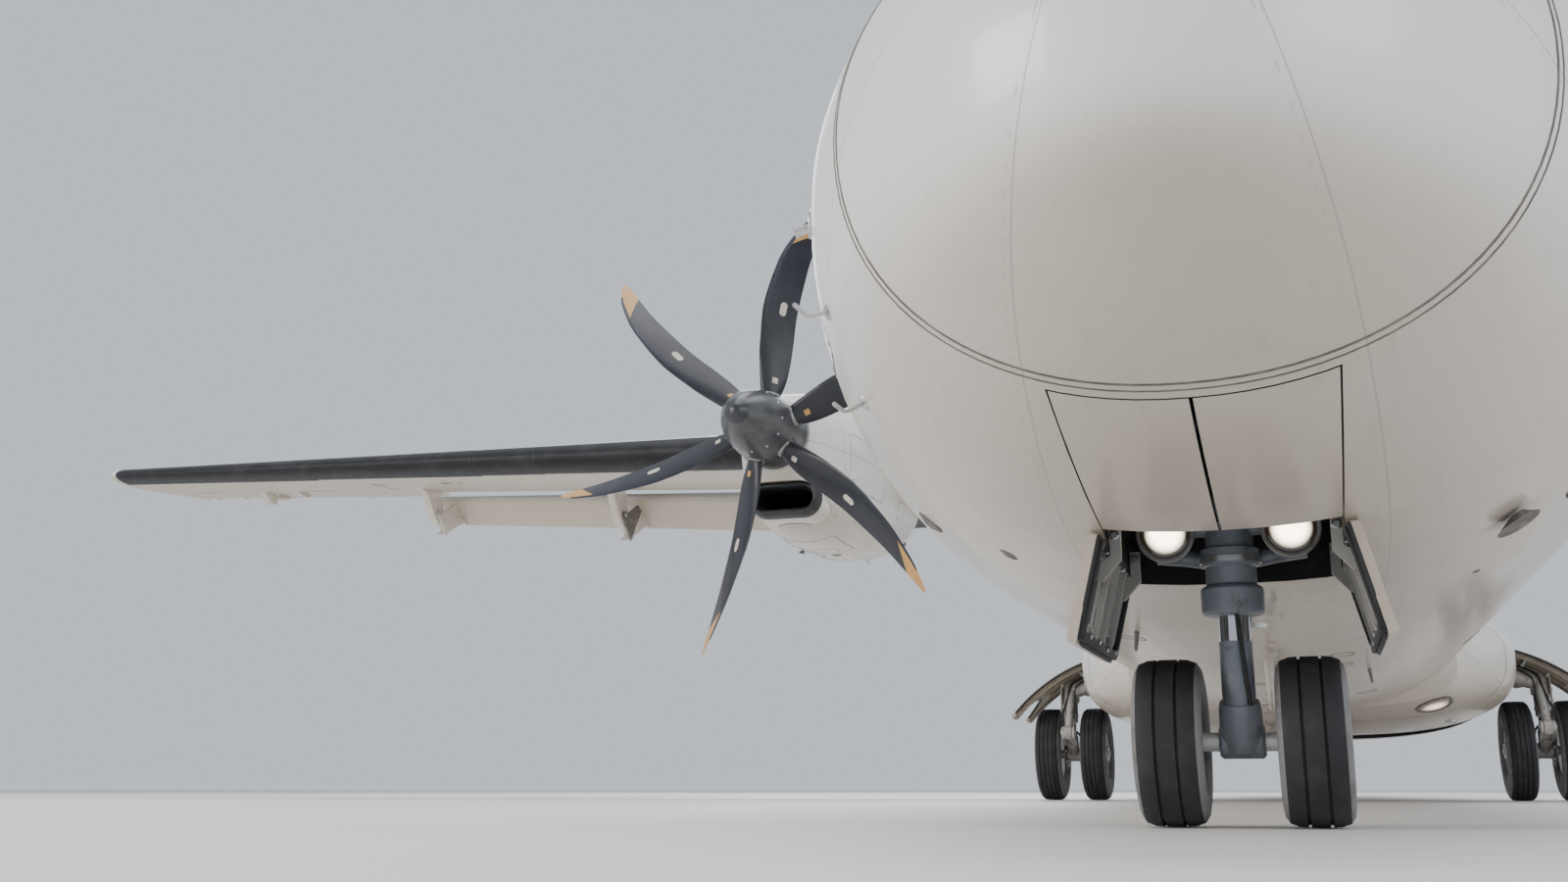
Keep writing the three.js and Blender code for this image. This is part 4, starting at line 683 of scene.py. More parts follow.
glass = Finish("dark_cabin_glass", (0.012, 0.018, 0.03), rough=0.05, coat=1.0)
glass.cloud((0.02, 0.032, 0.05), 0.4, 0.7, 1.5, 3)
seal = Finish("black_window_seal", (0.02, 0.02, 0.022), rough=0.6)
seal.grain(0.0006, 120, 3)
trim_metal = Finish("bare_trim_metal", (0.55, 0.56, 0.57), rough=0.32, metal=1.0)
trim_metal.wear(0.22, 0.5, 40, 4)


def screen_point(turn, height):
    """A point of the nose skin, by its bearing from the middle of the flight deck and its height."""
    a = radians(turn)
    near, far = 0.0, 3.0
    for _ in range(30):
        r = (near + far) / 2
        x, y = 11.2 + r * cos(a), r * sin(a)
        z = screen_height(abs(y), height)
        inside = x < 13.5 and abs(y) < body_reach(x, z) and z < body_values(x)[1]
        near, far = (r, far) if inside else (near, r)
    return x, y, z


def screen_height(across, share):
    """Height in the window band at a distance from the middle; share runs from 0 at its sill to 1."""
    return 2.385 - 0.05 * across + share * (0.5 - 0.01 * across)


screen = Build()
screen_at = stand_off(lambda turn, height: screen_point(turn * 100, height), -1, step=0.002)
for side in (1, -1):
    for start, end, low, high in ((2.5, 37, 0.0, 1.0), (41, 62, 0.0, 0.97), (65, 81, 0.08, 0.9)):
        pane = rounded((end - start) / 100, high - low, 0.035,
                       (side * (start + end) / 200, (low + high) / 2), steps=4)
        middle = (pane.max(0) + pane.min(0)) / 2
        rim(screen, middle + (pane - middle) * 1.09, screen_at, 0.02, -0.004, 0.006, 1)
        patch(screen, pane, screen_at, -0.02, 0.005, 0, edge=0.004)
    pivot, tip = screen_at(side * 0.06, -0.12, 0.02), screen_at(side * 0.2, 0.42, 0.022)
    screen.tube([pivot, pivot.lerp(tip, 0.5) + Vector((0.012, 0, 0.01)), tip], 0.007, 1)
    screen.tube([screen_at(side * 0.2, 0.1, 0.012), screen_at(side * 0.2, 0.72, 0.012)], 0.008, 1)
screen.piece("flight_deck_windows", [glass, seal], stands_for="windscreen", slot="windscreen")

# Cabin windows and emergency exits: acrylic panes in moulded rings let into the skin, and plug doors
# that lift out, marked only by their joint.
WINDOW_PITCH, FIRST_WINDOW, WINDOW_HEIGHT = 0.54, 7.59, 2.13
SERVICE_DOOR_X = -6.645
cabin = Build()
outlines = Build()
for side in (1, -1):
    at = body_side(side)
    for k in range(25):
        x = FIRST_WINDOW - WINDOW_PITCH * k
        if side > 0 and x < -6.0:
            continue
        pane = rounded(0.255, 0.36, 0.11, (x, WINDOW_HEIGHT))
        rim(cabin, shrunk(pane, -0.016), at, 0.02, -0.002, 0.0035, 1)
        patch(cabin, pane, at, -0.006, 0.0022, 0, edge=0.01)
    for x, z, width, height, radius in ((7.55, 2.03, 0.53, 0.93, 0.14),
            (SERVICE_DOOR_X, 2.06, 0.63, 1.24, 0.12) if side < 0 else (11.05, 1.2, 0.3, 0.24, 0.03),
            (11.9, 1.45, 0.34, 0.3, 0.04), (4.9, 1.16, 0.42, 0.22, 0.03), (-3.6, 1.3, 0.4, 0.3, 0.04)):
        rim(outlines, rounded(width, height, radius, (x, z)), at, 0.006, -0.003, 0.0008)
        if width < 0.5:
            for u, v in ((-0.4, -0.4), (0.4, -0.4), (0.4, 0.4), (-0.4, 0.4)):
                patch(outlines, rounded(0.02, 0.02, 0.01, (x + u * width, z + v * height), 3), at, -0.002, 0.0012)
cabin.piece("cabin_windows", [glass, white_paint], slot="windscreen")
joint_dark = Finish("joint_sealant", (0.12, 0.11, 0.1), rough=0.7)
joint_dark.cloud((0.22, 0.2, 0.18), 0.4, 0.7, 20, 3)
for x, half_wide in ((12.955, 0.003), (12.93, 0.0022)):  # the joint round the nose cone, and one behind it
    outlines.rings([body_ring(x + dx * half_wide, out) for dx, out in
                    ((1, -0.002), (1, 0.0007), (-1, 0.0007), (-1, -0.002), (1, -0.002))], caps=False)
for x, y, width, length in (  # small panels in the belly skin
    (8.744, 0.318, 0.1, 0.16), (8.137, 0.322, 0.1, 0.16), (6.99, -0.04, 0.15, 0.15), (5.5, 0.5, 0.12, 0.2),
    (9.6, -0.5, 0.1, 0.14), (-4.4, 0.4, 0.3, 0.4), (-5.9, -0.3, 0.24, 0.3),
):
    rim(outlines, rounded(length, width, 0.02, (x, y)), body_belly, 0.004, -0.003, 0.0012)
    patch(outlines, rounded(length * 0.5, width * 0.5, 0.01, (x, y)), body_belly, -0.003, 0.0012, 1, edge=0.006)
for x, y, width, length in (  # drains and vents
    (6.615, 1.037, 0.1, 0.12), (10.744, 0.705, 0.03, 0.04), (11.446, -0.654, 0.045, 0.11), (9.09, -0.546, 0.025, 0.06),
    (5.2, -0.62, 0.04, 0.05), (6.42, -0.01, 0.05, 0.14),
):
    patch(outlines, rounded(length, width, width * 0.48, (x, y)), body_belly, -0.003, 0.0022, 0, edge=0.008)
outlines.piece("skin_panel_joints", [joint_dark, white_paint])

# Probes, masts and aerials: pitot tubes and vanes on the nose, blade aerials and drain masts under
# the belly and on the crown, each on a small riveted foot.
fittings = Build()
for side in (1, -1):
    at = body_side(side)
    for x, z in ((12.35, 1.32), (12.15, 1.12)):
        foot = at(x, z, 0)
        head = at(x + 0.02, z, 0.06)
        fittings.tube([foot, head, head + Vector((0.1, 0, 0))], 0.006, 0)
        fittings.rod(foot - (head - foot) * 0.05, foot + (head - foot) * 0.08, 0.022, finish=0)
    vane = at(11.9, 1.75, 0)
    fittings.rod(vane, at(11.9, 1.75, 0.012), 0.045)
    fittings.plate([(0, 0), (0.07, 0.02), (0.09, 0.055), (0.02, 0.06)],
                   lambda u, v, out: at(11.9 - u, 1.75 - v * 0.2, v) + Vector((0, 0, out)), 0.008)
    patch(fittings, rounded(0.11, 0.06, 0.03, (11.2, 0.95)), at, -0.002, 0.012, 1, edge=0.02)
for x, y, wide in ((11.437, 0.743, 0.055), (9.15, 0.493, 0.03)):  # scoops that stand a little off the belly
    fittings.rings([[body_belly(x + u * wide * 1.6, y + v * wide * s, s * wide * 0.55 - 0.002) for u, v in
                     ((cos(a), sin(a)) for a in around(20))]
                    for s in (1.0, 0.8, 0.45)], 1 if wide > 0.05 else 2)
for x, y, height, length, below in (
    (8.6, 0.0, 0.22, 0.26, True), (5.2, 0.0, 0.2, 0.24, True), (-3.1, 0.0, 0.26, 0.28, True),
    (9.9, -0.45, 0.07, 0.1, True), (7.6, 0.46, 0.07, 0.1, True), (-5.2, 0.25, 0.12, 0.12, True),
    (6.4, 0.0, 0.24, 0.3, False), (10.2, 0.0, 0.22, 0.28, False), (-4.6, 0.0, 0.26, 0.3, False),
):
    at = body_belly if below else body_crown
    rings = []
    for share, rise in ((1.0, -0.01), (1.0, 0.02), (0.8, 0.55), (0.62, 0.93), (0.5, 1.0)):
        lens = [(cos(a), 0.09 * sin(a)) for a in around(20)]
        back = 0.32 * length * max(rise, 0)
        rings.append([at(x + u * share * length / 2 - back, y + v * share * length, rise * height)
                      for u, v in lens])
    fittings.rings(rings, 1 if height < 0.1 else 2)
fittings.piece("probes_and_aerials", [trim_metal, joint_dark, white_paint], sharp=40)

# Doors: stretched-skin panels over a pressed inner pan. The cargo door hangs from hinges at its top,
# the rear door turns down on its sill and carries the stairs, and the service door lifts aside.
def hinge_arms(build, door, finish):
    for x in (-0.66 * door.half, 0.66 * door.half):
        build.rod(door.point(x - 0.056, 0, 0), door.point(x + 0.056, 0, 0), 0.009, finish=finish)
        for low in (-0.058, 0.036):
            build.rod(door.point(x + low, 0, 0), door.point(x + low + 0.022, 0, 0), 0.015, finish=finish)
            arm = [(0.013, 0.004), (0.002, 0.014), (-0.5 * door.arm, 0.08), (-door.arm, 0.066),
                   (-door.arm, 0.008), (-0.012, 0.004)]
            build.rings([[door.point(x + dx, y, z * door.sign) for y, z in arm]
                         for dx in (low, low + 0.022)], finish)


for name, body, door, front, rear in (
    ("cargo_door", "cargo_door", cargo_doorway, 10.62, 4.6),
    ("passenger_door", "passenger_door", entry_doorway, -2.6, -7.95),
):
    panel = body_stretch(front, rear).piece(name + "_panel", [white_paint, cabin_grey, trim_metal], body=body,
                                            stands_for=name, slot="white_paint")
    notches = []
    for x in (-0.66 * door.half, 0.66 * door.half):
        notches.append(("DIFFERENCE", Build().turned(door.point(x - 0.036, 0, 0), door.point(x + 0.036, 0, 0),
                                                     [(0, 0.021), (0.072, 0.021)], sides=20)))
    inner = body_stretch(front + 0.1, rear - 0.04, grow=-0.085)
    carve(panel, ("INTERSECT", door.prism(0)), ("DIFFERENCE", inner), *notches)
    for face in panel.data.polygons:
        face.material_index = 0 if body_share(*face.center) > 0.97 else 1
    pan = Build()
    hinge_arms(pan, door, 0)
    for share in (0.2, 0.5, 0.8):  # ribs on the inner pan
        height = door.sign * share * door.reach
        for x in (-0.62, 0.0, 0.62):
            inset = -(door.point(0, 0, height).y - body_reach(door.x, door.hinge[1] + height)) - 0.093
            if door is cargo_doorway or x == 0.0 and share > 0.7:
                pan.block(door.point(x * door.half - 0.02, inset - 0.02, height - 0.12),
                          door.point(x * door.half + 0.02, inset + 0.016, height + 0.12), 1)
    pan.piece(name + "_fittings", [trim_metal, cabin_grey], body=body)

stairs = Build()
for k, (out, up) in enumerate(((0.28, 0.3), (0.22, 0.56), (0.19, 0.82), (0.17, 1.08), (0.17, 1.34))):
    reach = body_reach(entry_doorway.x, entry_doorway.hinge[1] + up) - 0.1 - entry_doorway.hinge[0]
    for half, near, far, thick, finish in ((0.25, reach - out, reach, 0.012, 0),
                                           (0.23, reach - out - 0.004, reach - out + 0.03, 0.0165, 1)):
        stairs.rings([[entry_doorway.point(x, y, up + rise) for x, y in
                       ((-half, near), (half, near), (half, far), (-half, far))] for rise in (-thick, thick)], finish)
for x in (-0.28, 0.28):
    side_rail = [entry_doorway.point(x, body_reach(entry_doorway.x, entry_doorway.hinge[1] + up) - 0.125
        - entry_doorway.hinge[0], up) for up in (0.2, 0.5, 0.8, 1.1, 1.4)]
    stairs.tube(side_rail, 0.016, 1)
tread = Finish("stair_tread", (0.06, 0.06, 0.062), rough=0.85)
tread.grain(0.001, 300, 2)
stairs.piece("airstair_steps", [tread, trim_metal], body="passenger_door")

service = body_stretch(-5.8, -7.6).piece("service_door_panel", [white_paint], stands_for="service_door",
                                         slot="white_paint")
carve(service, ("INTERSECT", box_tool((-6.95, -2.0, 1.45), (-6.34, -0.9, 2.67))),
      ("DIFFERENCE", body_stretch(-5.7, -7.7, grow=-0.085)))

latches = Build()
for x in (9.2, 9.65, 10.1):
    patch(latches, rounded(0.05, 0.03, 0.006, (x, 1.075)), body_side(1), -0.002, 0.002, 0)
latches.piece("cargo_door_latches", [seal], body="cargo_door")
for side, x, z, name, body in ((1, -6.43, 2.15, "door_handle_rear_left", "passenger_door"),
                               (-1, -6.5, 2.1, "door_handle_rear_right", "airframe")):
    handles, at = Build(), body_side(side)
    patch(handles, rounded(0.2, 0.09, 0.02, (x, z)), at, -0.002, 0.0012, 0)
    patch(handles, rounded(0.15, 0.035, 0.012, (x, z)), at, 0.0, 0.007, 1)
    handles.piece(name, [joint_dark, trim_metal], body=body)

# Belly fairing: glass-fibre shells screwed to the body round the wheel wells, with a row of screws
# along each joint, two lamps behind clear lenses in its shoulders and inspection panels below.
BELLY = np.array([  # x, half width, bottom, top
    [3800, 1180, 690, 1300], [3350, 1480, 640, 1500], [2700, 1690, 585, 1620], [1900, 1760, 560, 1680],
    [200, 1760, 560, 1680], [-700, 1660, 590, 1620], [-1500, 1480, 650, 1480], [-2150, 1150, 700, 1250],
]) * 0.001


def belly_ring(x, grow=0.0, count=96):
    half, bottom, top = between(BELLY, x)
    angle = np.arange(count) * 2 * np.pi / count
    c, s = np.cos(angle), np.sin(angle)
    line = bottom + (top - bottom) * 0.56
    y = np.sign(c) * np.abs(c) ** np.where(s < -1e-9, 0.62, 0.9) * (half + grow)
    rise = np.where(s < 0, line - bottom, top - line) + grow
    z = line + np.sign(s) * np.abs(s) ** np.where(s < -1e-9, 0.62, 0.9) * rise
    return np.column_stack([np.full(count, x), y, z])


def belly_floor(x, y):
    half, bottom, top = between(BELLY, x)
    line = bottom + (top - bottom) * 0.56
    c = min(abs(y) / half, 1) ** (1 / 0.62)
    return line - (line - bottom) * sqrt(max(1 - c * c, 0)) ** 0.62


def belly_share(x, y, z):
    half, bottom, top = between(BELLY, x)
    line = bottom + (top - bottom) * 0.56
    power, rise = (2 / 0.9, top - line) if z > line else (2 / 0.62, line - bottom)
    return abs(y / half) ** power + abs((z - line) / rise) ** power


belly_under = stand_off(lambda x, y: (x, y, belly_floor(x, y)), -1)
belly = Build().rings([belly_ring(x) for x in np.linspace(3.8, -2.15, 48)])
belly = belly.piece("belly_fairing_shell", [white_paint, bay_black], stands_for="belly_fairing", slot="white_paint")
carve(belly, *[("DIFFERENCE", tool) for tool in wheel_wells])
# the wells' walls take the near-black bay lining: painted shade in the deep wells
for face in belly.data.polygons:
    if belly_share(*face.center) < 0.94 and -2.1 < face.center.x < 3.75:
        face.material_index = 1

belly_details = Build()


def screw(build, at, x, y, high=0.014, steps=2):
    patch(build, rounded(0.014, high, high / 2 if high == 0.014 else 0.006, (x, y), steps), at, -0.001, 0.0014, 1)


for x, y, width, length, radius in (
    (1.85, 1.12, 0.3, 0.42, 0.03), (1.85, 0.62, 0.34, 0.42, 0.03), (1.85, -1.12, 0.3, 0.42, 0.03),
    (1.85, -0.62, 0.34, 0.42, 0.03), (-0.4, 0.7, 0.5, 0.7, 0.04), (-0.4, -0.7, 0.5, 0.7, 0.04),
    (2.75, 0.0, 0.5, 0.5, 0.05),
):
    rim(belly_details, rounded(length, width, radius, (x, y)), belly_under, 0.005, -0.003, 0.0009, 0)
    for u, v in ((-0.42, -0.2), (0.42, 0.2), (-0.15, 0.42), (0.2, -0.42)):
        patch(belly_details, rounded(0.035, 0.012, 0.005, (x + u * length, y + v * width), 3),
              belly_under, -0.001, 0.0012, 1)
for x in (3.1, 1.62, -0.05, -1.3):
    half = between(BELLY, x)[0]
    for y in np.arange(-half * 0.88, half * 0.88, 0.09):
        screw(belly_details, belly_under, x, y)
    belly_details.rings([belly_ring(x + dx, out) for dx, out in
                         ((0.0025, -0.002), (0.0025, 0.0008), (-0.0025, 0.0008), (-0.0025, -0.002), (0.0025, -0.002))],
                        0, caps=False)
for y in np.arange(-1.0, 1.01, 0.085):  # screws along the fairing's front edge
    x = 3.55 - 0.12 * abs(y)
    screw(belly_details, belly_under, x, y)
for side in (1, -1):
    for x in np.arange(3.3, -1.7, -0.11):  # screws along its upper edge
        half, bottom, top = between(BELLY, x)
        at = stand_off(lambda u, v: (u, side * between(BELLY, u)[0] * (1 - max((v - 0.56) / 0.44, 0) ** 2.2) ** 0.45,
                                     between(BELLY, u)[1] + (between(BELLY, u)[2] - between(BELLY, u)[1]) * v), -side)
        if not WHEEL_WELL["rear"] - 0.05 < x < WHEEL_WELL["front"] + 0.05:
            screw(belly_details, at, x, 0.72, 0.016)
belly_details.piece("belly_panel_joints", [joint_dark, trim_metal])

lamp_glow = Finish("landing_lamp", (0.55, 0.42, 0.34), rough=0.12, coat=0.8, glow=((1.0, 0.78, 0.6), 1.0))
x, y = lamp_glow.axis("X"), lamp_glow.size(lamp_glow.axis("Y"))
along, across = lamp_glow.less(x, 3.43), lamp_glow.less(y, 1.03)
away = lamp_glow.sum("SQRT", lamp_glow.plus(lamp_glow.times(along, along), lamp_glow.times(across, across, 2.2)))
lamp_glow.glow_by(lamp_glow.ramp(away, 0.17, 0.02), 2.6)
lamp_glow.tint((0.28, 0.17, 0.11), lamp_glow.ramp(away, 0.08, 0.17))
lens = Finish("lamp_lens_ring", (0.045, 0.032, 0.025), rough=0.35, coat=0.4)
lens.grain(0.0008, 60, 2)
LAMP_X, LAMP_Y = 3.47, 1.02
for side in (1, -1):
    lamps = Build()
    at = stand_off(lambda u, v: (u, side * v, belly_floor(u, v)), -side)
    oval = np.array([(LAMP_X + 0.215 * cos(a), LAMP_Y + 0.135 * sin(a))
                     for a in around(40)])
    rim(lamps, oval, at, 0.026, -0.003, 0.006, 1)
    patch(lamps, shrunk(oval, 0.024), at, -0.004, 0.002, 0, edge=0.01)
    for k in range(12):
        a = 2 * pi * (k + 0.5) / 12
        spot = (LAMP_X + 0.202 * cos(a), LAMP_Y + 0.122 * sin(a))
        patch(lamps, rounded(0.012, 0.012, 0.006, spot, 2), at, 0.004, 0.0075, 2)
    lamps.piece(f"landing_light_{'left' if side > 0 else 'right'}", [lamp_glow, lens, trim_metal])
dish = Build()
oval = np.array([(4.64 + 0.17 * cos(a), -0.05 + 0.125 * sin(a)) for a in around(36)])
rim(dish, oval, body_belly, 0.01, -0.003, 0.003, 1)
patch(dish, shrunk(oval, 0.012), body_belly, -0.004, 0.014, 0, edge=0.06)
dish.piece("belly_antenna_cover", [white_paint, joint_dark])

# Jack pads: plugs screwed into the frames, one under the nose and one on each side of the belly.
pads = Build()
for x, y, low, high in ((10.3, 0, 0.655, 0.69), (2.45, 1.2, 0.625, 0.7), (2.45, -1.2, 0.625, 0.7)):
    pads.turned((x, y, low), (x, y, high), [(0, 0.012), (0, 0.037), (0.004, 0.045), (high - low, 0.055)])
pads.piece("jack_pads", [trim_metal])

# Wing-to-body fairing: a glass-fibre saddle over the wing's centre, screwed down along its edge.
CROWN = np.array([  # x, half width, top, lower edge
    [3500, 330, 3440, 3330], [2900, 720, 3610, 3180], [2200, 960, 3775, 3020], [1200, 1030, 3830, 2960],
    [-200, 1000, 3790, 2980], [-1100, 760, 3640, 3130], [-2050, 320, 3450, 3320],
]) * 0.001
saddle = []
for x in np.linspace(3.5, -2.05, 44):
    half, top, low = between(CROWN, x)
    a = np.linspace(0, np.pi, 41)
    c, s = np.cos(a), np.clip(np.sin(a), 0, 1)
    saddle.append(np.column_stack([np.full(41, x), np.sign(c) * np.abs(c) ** 0.8 * half,
        low + (top - low) * s ** 0.8]))
Build().rings(saddle).piece("wing_fairing_shell", [white_paint], stands_for="wing_fairing", slot="white_paint")

# Centre wing: a plain-section box that runs through the body top from nacelle to nacelle, grey below,
# with black rubber boots on its nose and a fixed upper skin that reaches back over the flaps.
WING_ROOT = dict(y=4.75, lead=2.1, chord=2.57, height=3.42, thick=0.18)
WING_TIP = dict(y=13.4, lead=1.61, chord=1.59, height=3.798, thick=0.13)
CAMBER = 0.02


def wing_at(y):
    share = max(0, (abs(y) - WING_ROOT["y"]) / (WING_TIP["y"] - WING_ROOT["y"]))
    section = {k: WING_ROOT[k] + (WING_TIP[k] - WING_ROOT[k]) * share for k in WING_ROOT}
    return {**section, "y": y}


def foil(section, share, side, drop=0.0):
    """A point of a lifting surface, a drop below the upper (1) or lower (-1) skin."""
    x = min(max(share, 0), 1)
    half = 5 * section["thick"] * (
        0.2969 * sqrt(x) - 0.126 * x - 0.3516 * x**2 + 0.2843 * x**3 - 0.1036 * x**4)
    rise = 4 * section.get("camber", CAMBER) * x * (1 - x) + side * half
    return (section["lead"] - section["chord"] * share, section["y"],
            section["height"] + section["chord"] * rise - drop)


def foils(section, *marks):
    """Points of a lifting surface by share, side and, where given, drop in mm."""
    return [foil(section, share, side, drop[0] * MM if drop else 0.0) for share, side, *drop in marks]


UPPER_SHARES = (0.68, 0.6, 0.5, 0.4, 0.31, 0.23, 0.16, 0.1, 0.06, 0.032, 0.014, 0.004)
LOWER_SHARES = (0.004, 0.014, 0.032, 0.06, 0.1, 0.16, 0.23, 0.31, 0.4, 0.5, 0.6, 0.68)
MM = 0.001


def nose_loop(section):
    upper = [foil(section, share, 1) for share in UPPER_SHARES]
    return upper + [foil(section, 0, 1)] + [foil(section, share, -1) for share in LOWER_SHARES]


def cove_ring(section):
    return foils(section, (0.88, 1), (0.84, 1), (0.8, 1), (0.74, 1)) + nose_loop(section) + foils(
        section, (0.72, -1), (0.7215, -1, -8), (0.726, -1, -20), (0.7275, 1, 70), (0.732, 1, 46), (0.742, 1, 32),
        (0.8, 1, 17), (0.88, 1, 4))


def whole_ring(section):
    return foils(section, (1, 1, -4), (0.94, 1), (0.88, 1), (0.8, 1), (0.74, 1)) + nose_loop(section) + foils(
        section, (0.74, -1), (0.82, -1), (0.9, -1), (1, -1, 4))


FLAP_PIVOT_SHARE, FLAP_PIVOT_DROP = 0.7, 0.163
FIN_PLACES = (1.95, 4.515, 5.1, 7.2, 9.6)


def flap_pivot(y):
    section = wing_at(y)
    return Vector((section["lead"] - FLAP_PIVOT_SHARE * section["chord"], y,
                   section["height"] - FLAP_PIVOT_DROP * section["chord"]))


def hinge_plane(y, side):
    """Turns (x, z, offset) near a flap's hinge into a point of a plane square to the hinge line."""
    pivot = flap_pivot(y)
    step = flap_pivot(y + 0.1) - pivot
    lean_x, lean_z = (0, 0) if y < WING_ROOT["y"] else (step.x / step.y, step.z / step.y)
    return lambda x, z, out: (x, side * (y + out - (x - pivot.x) * lean_x - (z - pivot.z) * lean_z), z)


def curve(points, each=5):
    """A smooth open curve through points."""
    points = [np.asarray(p, float) for p in points]
    made = []
    for k in range(len(points) - 1):
        before = points[max(k - 1, 0)]
        a, b = points[k], points[k + 1]
        after = points[min(k + 2, len(points) - 1)]
        for t in np.arange(each) / each:
            made.append(0.5 * (2 * a + (b - before) * t + (2 * before - 5 * a + 4 * b - after) * t**2
                               + (3 * a - before - 3 * b + after) * t**3))
    return np.array(made + [points[-1]])


def fin_outline(y):
    section = wing_at(y)
    k = section["chord"] / WING_ROOT["chord"]
    pivot = flap_pivot(y)
    at = lambda share, drop: (foil(section, share, -1, drop)[0], foil(section, share, -1, drop)[2])
    lower = curve([at(0.47, -0.03), at(0.505, 0.012), at(0.56, 0.062 * k), (pivot.x + 0.06 * k, pivot.z - 0.088 * k),
                   (pivot.x - 0.15 * k, pivot.z - 0.158 * k), (pivot.x - 0.285 * k, pivot.z - 0.178 * k),
                   (pivot.x - 0.3 * k, pivot.z - 0.12 * k)])
    upper = curve([(pivot.x - 0.15 * k, pivot.z + 0.06 * k), at(0.708, -0.014)], 3)
    return np.array([*lower, *upper, at(0.6, -0.04)])


def flap_fin(build, y, side, finish):
    """The pod under the wing that holds the flap's pivot: full in the middle, thin at its edges."""
    outline, at = fin_outline(y), hinge_plane(y, side)
    middle = outline.mean(0)
    build.rings([
        [at(*(middle + (p - middle) * size), out) for p in outline]
        for size, out in ((0.9, -0.046), (0.965, -0.043), (0.99, -0.034), (1.0, -0.02), (1.0, 0.02),
                          (0.99, 0.034), (0.965, 0.043), (0.9, 0.046))
    ], finish)


def wing_paint(name, base=(0.53, 0.455, 0.37), top=(0.76, 0.75, 0.73)):
    """Light grey wing paint: warm and darker below, partly dust and partly painted shade, with spar joints, ribs and
    rivets.
    """
    paint = Finish(name, base, rough=0.38, coat=0.2)
    x, y = paint.axis("X"), paint.axis("Y")
    # faces that look up take the light grey top colour; the warm darker colour left below is partly dust and partly
    # painted shade
    paint.tint(top, paint.ramp(paint.facing("Z"), -0.1, 0.3))
    cloud = paint.noise(0.8, 5, stretch=(1.6, 0.6, 1))
    paint.tint((0.46, 0.39, 0.315), paint.ramp(cloud, 0.42, 0.74), 0.35)
    run = paint.noise(1.0, 5, stretch=(0.5, 14, 4), rough=0.6)
    paint.tint((0.38, 0.31, 0.245), paint.ramp(run, 0.55, 0.78), 0.35)
    out = paint.size(y)
    rib = paint.comb(out, 0.83, 0.0018, 0.2)
    spar = paint.most(paint.line(x, 1.46, 0.0022), paint.line(x, 0.72, 0.0022))
    joint = paint.most(paint.line(out, 9.9, 0.003), paint.most(paint.times(rib, 0.6), spar))
    paint.tint((0.32, 0.28, 0.24), joint, 0.45)
    dots = paint.most(paint.times(paint.comb(out, 0.83, 0.003, 0.23), paint.comb(x, 0.035, 0.004)),
                     paint.times(paint.line(x, 1.43, 0.004), paint.comb(out, 0.035, 0.004)))
    paint.tint((0.4, 0.36, 0.32), dots, 0.4)
    paint.raise_by(paint.less(dots, joint), 0.0012)
    paint.grain(0.004, 2.6, 2, strength=0.3)
    paint.wear(0.3, 0.52, 6, 4)
    return paint


grey_paint = wing_paint("grey_wing_paint")
pod_paint = Finish("flap_pod_paint", (0.64, 0.585, 0.52), rough=0.36, coat=0.25)
pod_paint.cloud((0.52, 0.455, 0.385), 0.45, 0.75, 3, 5, stretch=(0.6, 1, 1), most=0.6)
pod_paint.cloud((0.36, 0.3, 0.245), 0.6, 0.8, 1.0, 5, stretch=(1, 6, 16), most=0.5)
pod_paint.wear(0.28, 0.5, 9, 4)
pod_paint.grain(0.0006, 40, 2)
cove_dark = Finish("cove_primer", (0.32, 0.31, 0.29), rough=0.6)
cove_dark.cloud((0.17, 0.16, 0.145), 0.45, 0.7, 8, 5)
cove_dark.grain(0.001, 50, 3)


def in_cove(face):
    """Whether a face of the wing looks into the space ahead of a flap."""
    section = wing_at(face.center.y)
    share = (section["lead"] - face.center.x) / section["chord"]
    upper = foil(section, share, 1)[2]
    return abs(face.center.y) < 9.742 and share > 0.722 and upper - 0.2 < face.center.z < upper - 0.003


centre = Build().rings([cove_ring(wing_at(y)) for y in np.linspace(-4.75, 4.75, 20)])
centre = centre.piece("wing_centre_skin", [grey_paint, cove_dark], stands_for="wing_centre", slot="grey_paint")
for face in centre.data.polygons:
    face.material_index = 1 if in_cove(face) else 0
pods = Build()
for side in (1, -1):
    for y in FIN_PLACES[:2]:
        flap_fin(pods, y, side, 0)
pods.piece("flap_pods_inner", [pod_paint], slot="grey_paint")

# Outer wings: tapered boxes with a moulded tip. The boots stop short of the tip, where a clear lens
# covers the navigation lamp, and the trailing edge carries thin static wicks.
TIP_LAMP = {1: (0.55, 0.02, 0.02), -1: (0.03, 0.3, 0.12)}


def aileron_hinge(y):
    section = wing_at(y)
    upper, lower = Vector(foil(section, 0.74, 1)), Vector(foil(section, 0.74, -1))
    return (upper + lower) / 2, (upper.z - lower.z) / 2 - 0.003


def aileron_bay_ring(section):
    hinge, radius = aileron_hinge(section["y"])
    radius += 0.008
    arc = [(hinge.x + radius * cos(a), section["y"], hinge.z + radius * sin(a))
           for a in np.radians(np.arange(-56, 57, 14))]
    return [foil(section, 0.72, 1), *nose_loop(section), foil(section, 0.72, -1), *arc]


def tip_ring(y, share, rise):
    base = wing_at(WING_TIP["y"])
    middle = Vector((base["lead"] - 0.45 * base["chord"], y, base["height"] + rise))
    ring = []
    for point in whole_ring({**base, "y": y}):
        p = Vector(point)
        q = p.lerp(middle, 1 - share)
        q.x = p.x + (middle.x - p.x) * (1 - share) * 0.7
        ring.append(q)
    return ring


